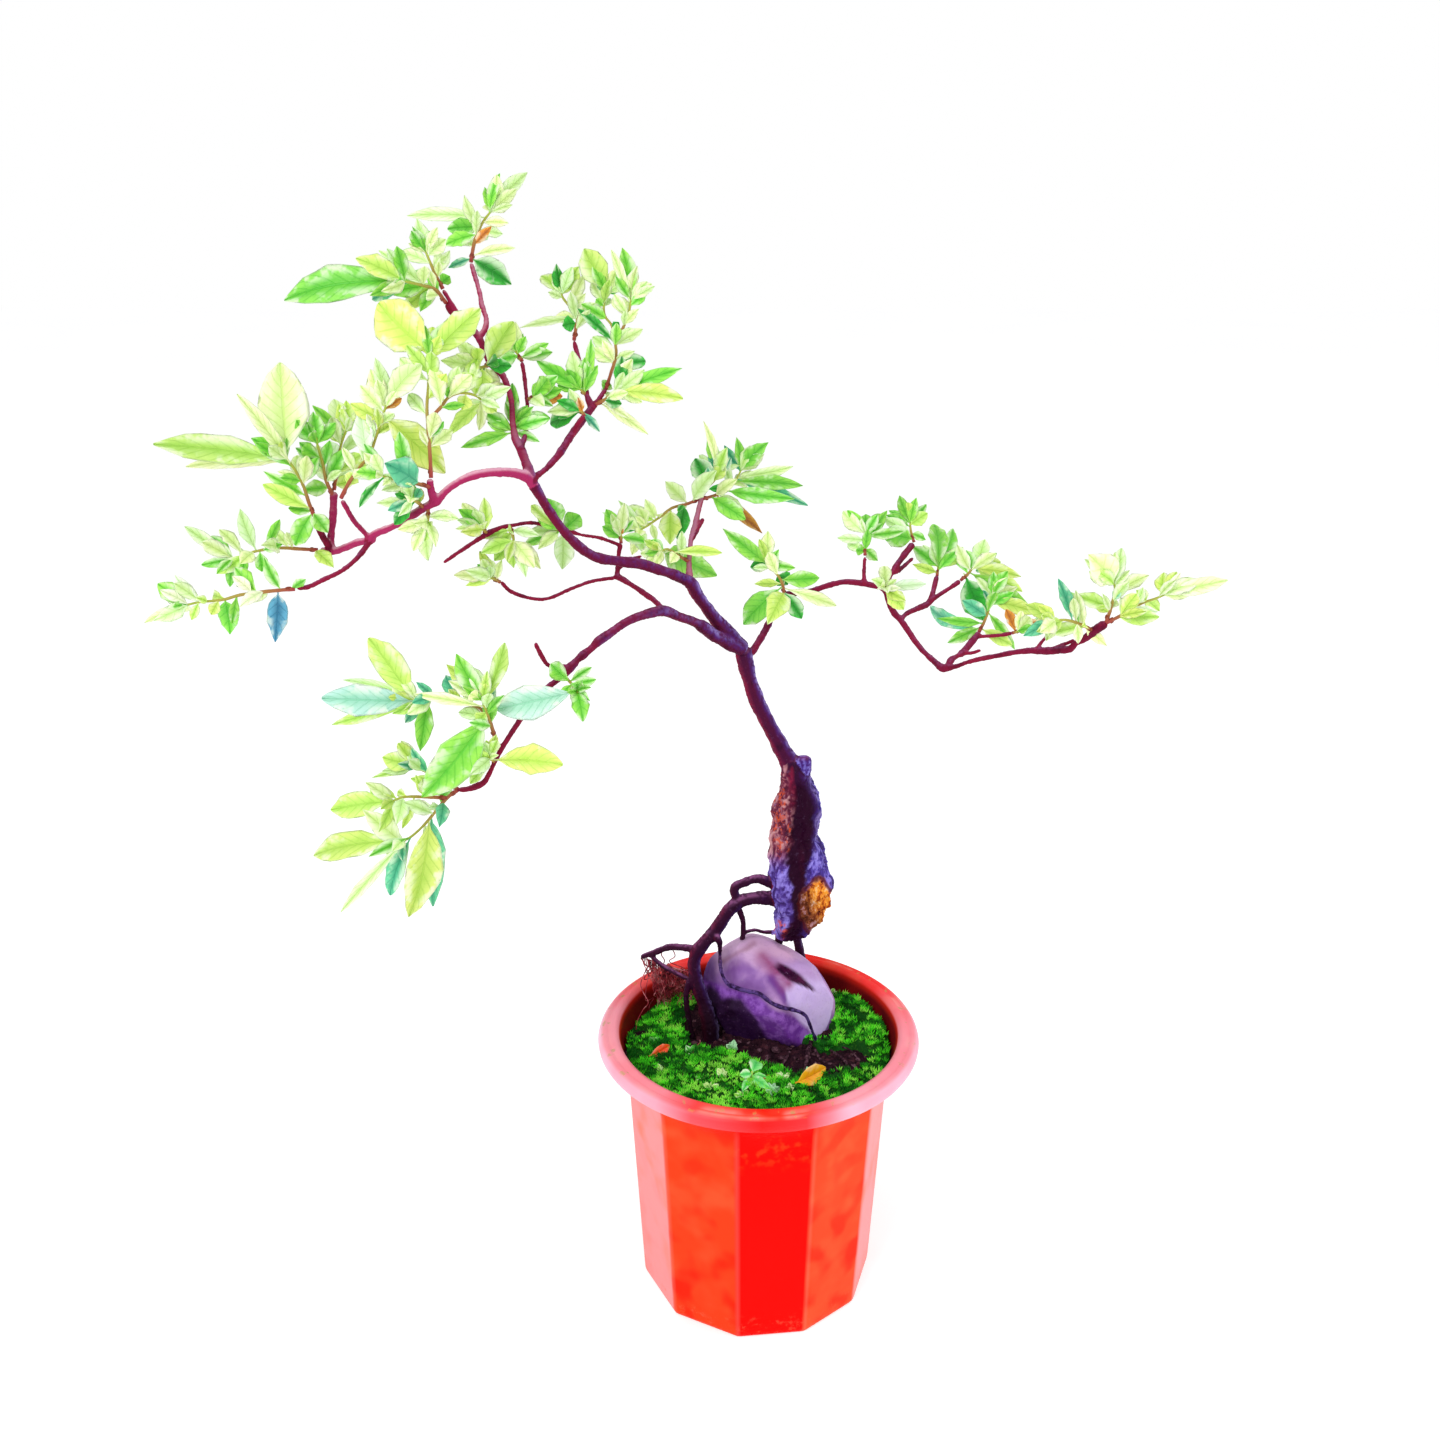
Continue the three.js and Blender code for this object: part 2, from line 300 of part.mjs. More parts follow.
      [0.9, 1040, 614, 13], [1, 1008, 571, 12], [0.5, 962, 600, 12]] }],
  dead_right: [{ stem: [[1012, 633, 26], [1016, 632, 26], [1019, 631, 25]],
    leaves: [[1, 1040, 621, 17], [0.7, 1006, 609, 9]] }],
  far_low: [{ stem: [[1094, 631, -49], [1080, 624, -53], [1066, 620, -55], [1052, 621, -57]],
    leaves: [[1, 1025, 604, 13], [0.95, 1046, 641, 9], [0.6, 1058, 578, 11], [0.45, 1071, 592, 15],
      [0.8, 1036, 632, 13], [0.3, 1107, 646, 9], [0.5, 1078, 644, 8]] }],
  far_tall: [{ stem: [[1106, 623, -52], [1110, 611, -51], [1113, 600, -49], [1115, 588, -47], [1113, 582, -46]],
    leaves: [[1, 1088, 554, 31], [0.4, 1073, 595, 15], [1, 1130, 570, 8], [0.3, 1095, 606, 8],
      [0.6, 1121, 589, 8]] }],
  far_tip: [{ stem: [[1106, 623, -52], [1120, 616, -52], [1132, 608, -50], [1145, 602, -48], [1157, 598, -46],
    [1166, 594, -44]],
    leaves: [[1, 1229, 580, 16], [0.7, 1136, 590, 11], [0.2, 1160, 617, 17], [0.45, 1158, 612, 8],
      [0.9, 1176, 580, 8]] }],
  elbow: [{ stem: [[883, 589, 31], [884, 588, 27], [886, 588, 23]], leaves: [[1, 904, 610, 17], [1, 927, 584, 10]] }],
  low_left_top: [{ stem: [[495, 738, -78], [490, 722, -80], [486, 710, -81], [482, 698, -82]],
    leaves: [[1, 456, 653, 22], [1, 446, 664, 17], [1, 505, 642, 14], [0.97, 412, 694, 10], [0.7, 478, 723, 13],
      [0.6, 421, 798, 40]] }],
  low_left_fan: [{ stem: [[495, 738, -78], [489, 719, -78], [478, 707, -76], [463, 703, -74], [449, 698, -73],
    [430, 698, -73], [412, 702, -74]],
    leaves: [[1, 368, 637, 29], [1, 320, 698, 29], [1, 331, 725, 11], [0.97, 342, 680, 8], [0.92, 420, 752, 17],
      [0.97, 405, 723, 9], [0.8, 416, 682, 7]] }],
  low_middle: [{ stem: [[495, 762, -77], [492, 760, -81], [490, 757, -84]],
    leaves: [[0.6, 564, 765, 31], [1, 470, 784, 10], [1, 486, 740, 7]] }],
  low_front: [{ stem: [[563, 675, -63], [570, 682, -72], [578, 692, -82]],
    leaves: [[1, 495, 709, 33], [0.5, 592, 667, 8]] }],
  low_hang: [
    { stem: [[458, 790, -75], [447, 798, -76], [436, 811, -78], [424, 825, -80], [412, 836, -82], [400, 843, -84]],
      leaves: [[0.55, 408, 918, 36], [0.5, 433, 908, 26], [1, 362, 809, 21], [1, 313, 856, 28], [0.97, 390, 896, 18],
        [1, 340, 913, 10], [1, 368, 857, 10]] },
    { stem: [[447, 798, -76], [425, 797, -78], [405, 797, -80], [390, 802, -82]],
      leaves: [[1, 330, 810, 26], [0.95, 389, 825, 9], [0.9, 374, 785, 7], [0.6, 402, 829, 8]] }],
  low_inner: [{ stem: [[459, 790, -74], [446, 781, -71], [424, 771, -68], [412, 766, -67]],
    leaves: [[1, 382, 757, 19], [0.95, 371, 778, 7], [0.4, 442, 806, 16], [0.15, 458, 750, 24],
      [0.7, 410, 746, 8]] }],
};

// What lies and grows on the soil: a leaf's base and tip, across and down, and its width
const FALLEN_LEAVES = {
  fallen_leaf_left: [649, 1056, 670, 1045, 9],
  fallen_leaf_right: [795, 1083, 826, 1067, 15],
};
const FALLEN_LIFT = 1.4;
const SEEDLING_FOOT = [752, 1086];
const SEEDLING_HEIGHT = 10;
const SEEDLING_LEAF_LIFT = 4;
const SEEDLING_LEAVES = [
  [1, 757, 1061, 13], [0.9, 739, 1075, 9], [0.7, 772, 1090, 9], [0.8, 767, 1077, 7], [0.6, 742, 1092, 8],
];

const COLOURS = {
  pot: 0xf04a2c, soil: 0x3c2616, stone: 0xa98fa6, bark: 0x4a1c2c, leaf: 0x8fc93a, pale: 0xc9e07a, dark: 0x2f9a35,
  dead: 0xd9801f,
};
const SHOOT_COLOURS = { teal: 'dark', right_dark: 'dark', left_pale: 'pale', dead_top: 'dead', dead_right: 'dead' };

// A repeatable draw from 0 to 1 for each leaf
function draw(seed) {
  const wave = Math.sin(seed * 12.9898 + 4.1414) * 43758.5453;
  return wave - Math.floor(wave);
}

function sightRay(across, down) {
  return EYE_FORWARD.clone()
    .addScaledVector(EYE_RIGHT, (across - EYE_CENTRE) / EYE_FOCAL)
    .addScaledVector(EYE_UP, (EYE_CENTRE - down) / EYE_FOCAL);
}

function seenAtDepth(across, down, depth) {
  const ray = sightRay(across, down);
  return EYE.clone().addScaledVector(ray, (depth - EYE.y) / ray.y);
}

function seenAtHeight(across, down, height) {
  const ray = sightRay(across, down);
  return EYE.clone().addScaledVector(ray, (height - EYE.z) / ray.z);
}

// Millimetres that one step across stands for at a point
function stepSize(point) {
  return point.clone().sub(EYE).dot(EYE_FORWARD) / EYE_FOCAL;
}

function geometryOf(vertices, triangles) {
  const geometry = new THREE.BufferGeometry();
  geometry.setAttribute('position', new THREE.Float32BufferAttribute(vertices.flatMap((v) => [v.x, v.y, v.z]), 3));
  geometry.setIndex(triangles.flat());
  return geometry;
}

// A closed skin through rings of points, each end closed on a middle point
function loft(rings) {
  const sides = rings[0].length;
  const vertices = rings.flat();
  const triangles = [];
  for (let ring = 0; ring + 1 < rings.length; ring += 1) {
    for (let side = 0; side < sides; side += 1) {
      const a = ring * sides + side;
      const b = ring * sides + (side + 1) % sides;
      triangles.push([a, b, b + sides], [a, b + sides, a + sides]);
    }
  }
  const ends = [rings[0], rings[rings.length - 1]];
  ends.forEach((ring, end) => {
    const middle = vertices.length;
    vertices.push(ring.reduce((sum, v) => sum.add(v), new THREE.Vector3()).divideScalar(sides));
    const first = end ? (rings.length - 1) * sides : 0;
    for (let side = 0; side < sides; side += 1) {
      const a = first + side;
      const b = first + (side + 1) % sides;
      triangles.push(end ? [middle, a, b] : [middle, b, a]);
    }
  });
  return geometryOf(vertices, triangles);
}

function solidOf(geometry) {
  const vertProperties = new Float32Array(geometry.attributes.position.array);
  const triVerts = new Uint32Array(geometry.index.array);
  const solid = new wasm.Manifold(new wasm.Mesh({ numProp: 3, vertProperties, triVerts }));
  if (solid.volume() > 0) return solid;
  for (let i = 0; i < triVerts.length; i += 3) {
    [triVerts[i + 1], triVerts[i + 2]] = [triVerts[i + 2], triVerts[i + 1]];
  }
  return new wasm.Manifold(new wasm.Mesh({ numProp: 3, vertProperties, triVerts }));
}

function fuse(solids) {
  return solids.reduce((whole, solid) => whole.add(solid));
}

// The largest body of a solid as a geometry, without loose scraps or sealed hollows
function mainBody(solid) {
  const { vertProperties, triVerts } = solid.getMesh();
  const count = vertProperties.length / 3;
  const parent = Array.from({ length: count }, (_, i) => i);
  const root = (i) => {
    while (parent[i] !== i) {
      parent[i] = parent[parent[i]];
      i = parent[i];
    }
    return i;
  };
  for (let i = 0; i < triVerts.length; i += 3) {
    parent[root(triVerts[i])] = root(triVerts[i + 1]);
    parent[root(triVerts[i + 1])] = root(triVerts[i + 2]);
  }
  const vertices = Array.from({ length: count }, (_, i) => new THREE.Vector3().fromArray(vertProperties, i * 3));
  const bodies = new Map();
  for (let i = 0; i < triVerts.length; i += 3) {
    const key = root(triVerts[i]);
    if (!bodies.has(key)) bodies.set(key, { volume: 0, triangles: [] });
    const [a, b, c] = triVerts.slice(i, i + 3);
    const body = bodies.get(key);
    body.triangles.push([a, b, c]);
    body.volume += vertices[a].clone().cross(vertices[b]).dot(vertices[c]) / 6;
  }
  const main = [...bodies.values()].sort((a, b) => b.volume - a.volume)[0];
  return geometryOf(vertices, main.triangles);
}

// Rings of a tube of varying radius about a line of points, with a steady twist
function tubeRings(points, radii, sides, grow = 0) {
  let across = new THREE.Vector3(0.3, 0.9, 0.25).normalize();
  const last = points.length - 1;
  return points.map((point, i) => {
    const along = points[Math.min(i + 1, last)].clone().sub(points[Math.max(i - 1, 0)]).normalize();
    across = across.clone().addScaledVector(along, -across.dot(along)).normalize();
    const other = along.clone().cross(across);
    const middle = point.clone().addScaledVector(along, i === last ? grow : 0);
    return Array.from({ length: sides }, (_, side) => {
      const angle = 2 * Math.PI * side / sides;
      const radius = radii[i] + grow;
      return middle.clone()
        .addScaledVector(across, radius * Math.cos(angle))
        .addScaledVector(other, radius * Math.sin(angle));
    });
  });
}

function limbSides(radii) {
  const widest = Math.max(...radii);
  if (widest > 3.5) return 7;
  if (widest > 2.2) return 5;
  return widest > 1.25 ? 4 : 3;
}

// The stations of a route that its bends and swellings need
function neededStations(stations) {
  const last = stations[stations.length - 1];
  const chord = new THREE.Line3(stations[0].point, last.point);
  let worst = 0;
  let at = 0;
  stations.slice(1, -1).forEach(({ point, radius }, i) => {
    const share = chord.closestPointToPointParameter(point, true);
    const off = chord.at(share, new THREE.Vector3()).distanceTo(point);
    const swell = Math.abs(radius - THREE.MathUtils.lerp(stations[0].radius, last.radius, share));
    if (Math.max(off, swell * 1.5) > worst) {
      worst = Math.max(off, swell * 1.5);
      at = i + 1;
    }
  });
  if (worst < ROUTE_TOLERANCE) return [stations[0], last];
  return [...neededStations(stations.slice(0, at + 1)).slice(0, -1), ...neededStations(stations.slice(at))];
}

function limb(route, grow = 0) {
  const stations = neededStations(route.map(([across, down, depth, radius]) => (
    { point: seenAtDepth(across, down, depth), radius })));
  const points = stations.map(({ point }) => point);
  const radii = stations.map(({ radius }) => radius);
  return solidOf(loft(tubeRings(points, radii, limbSides(radii), grow)));
}

// Pot
function panelRadius(angle, roundness) {
  const panel = 2 * Math.PI / POT_PANELS;
  const turned = angle - POT_PANEL_TURN + Math.PI / 2;
  const offset = turned - panel * (Math.floor(turned / panel) + 0.5);
  const flat = Math.cos(panel / 2) / Math.cos(offset);
  return THREE.MathUtils.lerp(flat, 1, roundness);
}

function panelRing(radius, height, roundness) {
  const steps = POT_PANELS * POT_STEPS_PER_PANEL;
  return Array.from({ length: steps }, (_, i) => {
    const angle = POT_PANEL_TURN - Math.PI / 2 + 2 * Math.PI * i / steps;
    const reach = radius * panelRadius(angle + 1e-6, roundness);
    return new THREE.Vector3(reach * Math.cos(angle), reach * Math.sin(angle), height);
  });
}

function bodyRadius(height) {
  return THREE.MathUtils.lerp(POT_BASE_RADIUS, POT_NECK_RADIUS, height / POT_NECK_HEIGHT);
}

function innerProfile(inset) {
  return [
    [bodyRadius(POT_FLOOR) - POT_WALL - inset, POT_FLOOR + inset, 0],
    [bodyRadius(POT_NECK_HEIGHT) - POT_WALL - inset, POT_NECK_HEIGHT - 5, 0],
    [bodyRadius(POT_NECK_HEIGHT) - inset, POT_NECK_HEIGHT + 4, 0],
  ];
}

function makePot() {
  const outside = [
    [POT_BASE_RADIUS - 1.5, 0, 0],
    [POT_BASE_RADIUS, 2, 0],
    [POT_NECK_RADIUS, POT_NECK_HEIGHT, 0],
    [POT_NECK_RADIUS + 2.5, POT_NECK_HEIGHT + 1.5, 1],
    [POT_RIM_RADIUS - 3, POT_NECK_HEIGHT + 4.5, 1],
    [POT_RIM_RADIUS, POT_NECK_HEIGHT + 9, 1],
    [POT_RIM_RADIUS - 0.8, POT_NECK_HEIGHT + 14, 1],
    [POT_RIM_RADIUS - 4, POT_HEIGHT - 0.4, 1],
    [POT_RIM_RADIUS - 8, POT_HEIGHT, 1],
    [POT_MOUTH_RADIUS, POT_HEIGHT - 2, 1],
  ];
  const inside = innerProfile(0).reverse();
  const rings = [...outside, ...inside].map(([radius, height, roundness]) => panelRing(radius, height, roundness));
  return loft(rings);
}

// Stone
function stoneReach(angle, outline) {
  const turn = (a) => THREE.MathUtils.euclideanModulo(a, 2 * Math.PI);
  const sorted = outline.map(([x, y]) => [turn(Math.atan2(y, x)), Math.hypot(x, y)]).sort((a, b) => a[0] - b[0]);
  const at = turn(angle);
  let next = sorted.findIndex(([a]) => a > at);
  if (next < 0) next = 0;
  const [fromAngle, fromReach] = sorted[(next + sorted.length - 1) % sorted.length];
  const [toAngle, toReach] = sorted[next];
  const part = turn(at - fromAngle) / turn(toAngle - fromAngle);
  return THREE.MathUtils.lerp(fromReach, toReach, part);
}

function makeStone(grow = 0) {
  const [across, down, depth] = STONE_MIDDLE;
  const middle = seenAtDepth(across, down, depth);
  const step = stepSize(middle);
  const outline = STONE_OUTLINE.map(([u, v]) => [(u - across) * step, (down - v) * step]);
  const ball = new THREE.IcosahedronGeometry(1, STONE_DETAIL);
  const corners = ball.attributes.position;
  const merged = new Map();
  const vertices = [];
  const index = [];
  for (let i = 0; i < corners.count; i += 1) {
    const p = new THREE.Vector3().fromBufferAttribute(corners, i);
    const key = p.toArray().map((n) => n.toFixed(4)).join();
    if (!merged.has(key)) {
      merged.set(key, vertices.length);
      const flat = Math.hypot(p.x, p.y);
      const swell = flat ** 0.75 / Math.max(flat, 1e-6);
      const reach = (stoneReach(Math.atan2(p.y, p.x), outline) + grow) * swell;
      const lump = 1 + 0.05 * Math.sin(5 * p.x + 2 * p.y) + 0.04 * Math.cos(4 * p.y - 3 * p.x);
      const lean = p.y * 0.35;
      vertices.push(middle.clone()
        .addScaledVector(EYE_RIGHT, p.x * reach)
        .addScaledVector(EYE_UP, p.y * reach)
        .addScaledVector(EYE_FORWARD, (p.z * lump + lean * (1 - Math.abs(p.z))) * (STONE_HALF_DEPTH + grow)));
    }
    index.push(merged.get(key));
  }
  const triangles = Array.from({ length: index.length / 3 }, (_, i) => index.slice(3 * i, 3 * i + 3));
  return solidOf(geometryOf(vertices, triangles));
}

function meshOf(geometry, name, colour, roughness = 0.6) {
  const material = new THREE.MeshStandardMaterial({ color: COLOURS[colour], roughness, metalness: 0 });
  const mesh = new THREE.Mesh(geometry, material);
  mesh.name = name;
  return mesh;
}

// Where the sight line first meets the stone, brought forward by lift
function seenOnStone(stoneMesh, across, down, lift) {
  const ray = sightRay(across, down).normalize();
  const hit = new THREE.Raycaster(EYE, ray).intersectObject(stoneMesh)[0];
  return hit ? hit.point.addScaledVector(ray, -lift) : null;
}

function faceRootLine(stoneMesh) {
  const line = FACE_ROOT_START.map(([u, v, y, r]) => [seenAtDepth(u, v, y), r]);
  FACE_ROOT.forEach(([u, v, r]) => {
    const point = seenOnStone(stoneMesh, u, v, FACE_ROOT_LIFT);
    if (point) line.push([point, r]);
  });
  FACE_ROOT_END.forEach(([u, v, y, r]) => line.push([seenAtDepth(u, v, y), r]));
  return line;
}

function faceRoot(line, grow = 0) {
  return solidOf(loft(tubeRings(line.map(([p]) => p), line.map(([, r]) => r), 6, grow)));
}

// Lower trunk with shallow flutes that turn slowly round it
function trunkBase(grow = 0) {
  const points = TRUNK_BASE.map(([across, down, depth]) => seenAtDepth(across, down, depth));
  const rings = tubeRings(points, TRUNK_BASE.map(([, , , radius]) => radius), TRUNK_SIDES, grow);
  return solidOf(loft(rings.map((ring, i) => ring.map((p, side) => {
    const angle = 2 * Math.PI * side / TRUNK_SIDES;
    const flute = 1 + 0.09 * Math.sin(3 * angle + i * 0.35) + 0.05 * Math.sin(5 * angle - i * 0.5);
    return p.sub(points[i]).multiplyScalar(flute).add(points[i]);
  }))));
}

// Soil
function soilHeight(x, y) {
  const reach = Math.hypot(x, y) / POT_NECK_RADIUS;
  const rolling = 1.6 * Math.sin(x * 0.09 + 1) * Math.cos(y * 0.11) + 0.8 * Math.sin(0.23 * x - 0.17 * y);
  return SOIL_LEVEL + rolling - SOIL_EDGE_DROP * reach ** 3;
}

function makeSoil() {
  const [floor, wall, lip] = innerProfile(CLEARANCE);
  const sides = [floor, wall].map(([radius, height, roundness]) => panelRing(radius, height, roundness));
  const edge = panelRing(lip[0], lip[1], lip[2]);
  const top = SOIL_RINGS.map((share) => edge.map((p) => {
    const x = p.x * share;
    const y = p.y * share;
    return new THREE.Vector3(x, y, Math.max(soilHeight(x, y), share === 1 ? 0 : lip[1] - 3));
  }));
  top[0] = edge;
  return solidOf(loft([...sides, ...top]));
}

// One leaf blade from a base to a tip: an arched, slightly folded plate of even thickness
function blade(base, tip, width, seed, extra = 0) {
  const along = tip.clone().sub(base);
  const length = along.length();
  along.normalize();
  const sight = base.clone().sub(EYE).normalize();
  const roll = (draw(seed) - 0.5) * 0.9;
  const side = along.clone().cross(sight).normalize().applyAxisAngle(along, roll);
  const normal = side.clone().cross(along).normalize();
  if (normal.z < 0) {
    normal.negate();
    side.negate();
  }
  const arch = BLADE_ARCH * length * (0.4 + draw(seed + 0.5));
  const size = length < SMALL_LEAF ? 'small' : length > LARGE_LEAF ? 'large' : 'middle';
  const rib = (t) => base.clone().addScaledVector(along, length * t)
    .addScaledVector(normal, arch * 4 * t * (1 - t));
  const half = BLADE_THICKNESS / 2 + extra;
  const spots = size === 'large' ? [-1, 0, 1] : [-1, 1];
  const rows = LEAF_STATIONS[size].map(([t, share]) => {
    const reach = Math.max(width, BLADE_MIN_WIDTH) / 2 * share + extra;
    return spots.map((spot) => [rib(t), spot * reach]);
  });
  const place = ([point, offset], lift) => point.clone().addScaledVector(side, offset)
    .addScaledVector(normal, Math.abs(offset) * BLADE_FOLD + lift);
  const faces = [half, -half].map((lift) => [place([rib(0), 0], lift), ...rows.flat().map((spot) => place(spot, lift))]);
  const tipPoint = rib(1).addScaledVector(along, extra);
  const under = faces[0].length;
  const end = 2 * under;
  const vertices = [...faces.flat(), tipPoint];
  const across = spots.length;
  const face = [];
  for (let spot = 0; spot + 1 < across; spot += 1) {
    face.push([0, 1 + spot, 2 + spot]);
    for (let row = 0; row + 1 < rows.length; row += 1) {
      const p = 1 + row * across + spot;
      const outward = spot < (across - 1) / 2;
      const [q, r, t] = [p + 1, p + across, p + across + 1];
      face.push(...(outward ? [[p, r, t], [p, t, q]] : [[p, r, q], [q, r, t]]));
    }
    const last = 1 + (rows.length - 1) * across + spot;
    face.push([last, end, last + 1]);
  }
  const lower = (i) => (i === end ? end : i + under);
  const triangles = [...face, ...face.map(([p, q, r]) => [lower(p), lower(r), lower(q)])];
  const left = rows.map((_, row) => 1 + row * across);
  const right = rows.map((_, row) => across + row * across);
  const outline = [0, ...left, end, ...right.reverse()];
  outline.forEach((p, i) => {
    const q = outline[(i + 1) % outline.length];
    if (p !== end) triangles.push([p, lower(p), q]);
    if (q !== end) triangles.push([q, lower(p), lower(q)]);
  });
  return solidOf(geometryOf(vertices, triangles));
}

function pointAlong(points, share) {
  const lengths = points.slice(1).map((p, i) => p.distanceTo(points[i]));
  let left = share * lengths.reduce((sum, n) => sum + n, 0);
  for (let i = 0; i < lengths.length; i += 1) {
    if (left <= lengths[i] || i === lengths.length - 1) {
      const along = points[i + 1].clone().sub(points[i]).normalize();
      return { point: points[i].clone().addScaledVector(along, Math.min(left, lengths[i])), along };
    }
    left -= lengths[i];
  }
  return null;
}

// Leaves in order down a stem, no two nearer along it than their spacing
function spacedLeaves(points, leaves) {
  const length = points.slice(1).reduce((sum, p, i) => sum + p.distanceTo(points[i]), 0);
  const spacing = Math.min(BLADE_SPACING / length, 0.7 / leaves.length);
  let room = 1;
  return leaves.map((leaf, i) => ({ leaf, i })).sort((a, b) => b.leaf[0] - a.leaf[0] || a.i - b.i)
    .map(({ leaf: [share, ...rest] }) => {
      const place = Math.max(Math.min(share, room), Math.min(FIRST_LEAF / length, 0.6));
      room = place - spacing;
      return [place, ...rest];
    });
}

function boxesMeet(a, b) {
  return [0, 1, 2].every((axis) => a.min[axis] < b.max[axis] && b.min[axis] < a.max[axis]);
}

// How much of a solid lies in the others whose boxes it meets
function sharedVolume(solid, others) {
  const box = solid.boundingBox();
  return others.reduce((sum, other) => (
    boxesMeet(box, other.box) ? sum + solid.intersect(other.solid).volume() : sum), 0);
}

function stemOf(points) {
  const radii = points.map((_, i) => THREE.MathUtils.lerp(SHOOT_BASE_RADIUS, SHOOT_TIP_RADIUS, i / (points.length - 1)));
  return { solid: solidOf(loft(tubeRings(points, radii, SHOOT_SIDES))),
    fat: solidOf(loft(tubeRings(points, radii, SHOOT_SIDES, BLADE_MARGIN))) };
}

// A leaf whose tip is seen where it should be, at the first depth that is clear of everything else
function clearLeaf(points, [share, across, down, width], seed, others, own, wood) {
  const { point, along } = pointAlong(points, share);
  const base = point.clone().addScaledVector(along, -BLADE_SINK);
  const step = stepSize(point);
  const flat = seenAtDepth(across, down, point.y);
  const seen = flat.distanceTo(point);
  if (seen * width * step < TINY_LEAF_AREA) return null;
  const woodRoom = point.distanceTo(points[0]) < NEAR_WOOD ? NEAR_WOOD_CROSSING : 0;
  let best = null;
  for (const shrink of SHRINKS) {
    for (const slope of TIP_DEPTHS) {
      const lean = slope * (draw(seed + 0.25) < 0.5 ? -1 : 1);
      const tip = seenAtDepth(across, down, point.y + lean * seen);
      tip.lerp(base, 1 - shrink);
      const fat = blade(base, tip, width * step * shrink, seed, BLADE_MARGIN);
      if (sharedVolume(fat, others) > 0 || sharedVolume(fat, wood) > woodRoom) continue;
      const crossing = sharedVolume(fat, own);
      if (!best || crossing < best.crossing) {
        best = { crossing, fat, solid: blade(base, tip, width * step * shrink, seed) };
      }
      if (best.crossing < LITTLE_CROSSING) return best;
    }
    if (best) return best;
  }
  return null;
}

function boxed(solid) {
  return { solid, box: solid.boundingBox() };
}

function makeShoots(sleeves) {
  const woodParts = sleeves.map(boxed);
  const stems = Object.fromEntries(Object.entries(SHOOTS).map(([name, sprays]) => [name, sprays.map(({ stem }) => (
    stem.map(([across, down, depth]) => seenAtDepth(across, down, depth))))]));
  const placed = Object.entries(stems).flatMap(([name, lines]) => (
    lines.map((line) => ({ name, ...boxed(stemOf(line).fat) }))));
  const wholeSleeve = fuse(sleeves);
  const meshes = [];
  const done = new Set();
  let seed = 0;
  for (const [name, sprays] of Object.entries(SHOOTS)) {
    const pieces = [];
    sprays.forEach(({ leaves }, spray) => {
      const line = stems[name][spray];
      pieces.push(stemOf(line).solid);
      spacedLeaves(line, leaves).forEach((leaf) => {
        seed += 1;
        const others = placed.filter((item) => item.name !== name);
        const own = placed.filter((item) => item.name === name && item.leaf);
        const found = clearLeaf(line, leaf, seed, others, own, woodParts);
        if (!found) return;
        pieces.push(found.solid);
        placed.push({ name, leaf: true, ...boxed(found.fat) });
      });
    });
    const grown = fuse(pieces);
    const grownBox = grown.boundingBox();
    const earlier = placed.filter((item) => !item.leaf && done.has(item.name) && boxesMeet(item.box, grownBox));
    const whole = grown.subtract(fuse([wholeSleeve, ...earlier.map((item) => item.solid)]));
    done.add(name);
    const geometry = mainBody(whole);
    meshes.push(meshOf(geometry, `shoot_${name}`, SHOOT_COLOURS[name] ?? 'leaf'));
  }
  return meshes;
}

function onSoil(across, down, lift) {
  const flat = seenAtHeight(across, down, SOIL_LEVEL + lift);
  return seenAtHeight(across, down, soilHeight(flat.x, flat.y) + lift);
}

function fallenLeaf([fromAcross, fromDown, toAcross, toDown, width], extra = 0) {
  const base = onSoil(fromAcross, fromDown, FALLEN_LIFT);
  const tip = onSoil(toAcross, toDown, FALLEN_LIFT);
  return blade(base, tip, width * stepSize(base), 3, extra);
}

function seedling(extra = 0) {
  const foot = onSoil(...SEEDLING_FOOT, -4);
  const top = foot.clone().add(new THREE.Vector3(0, -1, SEEDLING_HEIGHT));
  const line = [foot, foot.clone().lerp(top, 0.5), top];
  const leaves = SEEDLING_LEAVES.map(([share, across, down, width], i) => {
    const { point, along } = pointAlong(line, share);
    const tip = onSoil(across, down, SEEDLING_LEAF_LIFT);
    return blade(point.addScaledVector(along, -BLADE_SINK), tip, width * stepSize(point), 40 + i, extra);
  });
  return fuse([solidOf(loft(tubeRings(line, [0.9, 0.9, 0.8], SHOOT_SIDES, extra))), ...leaves]);
}

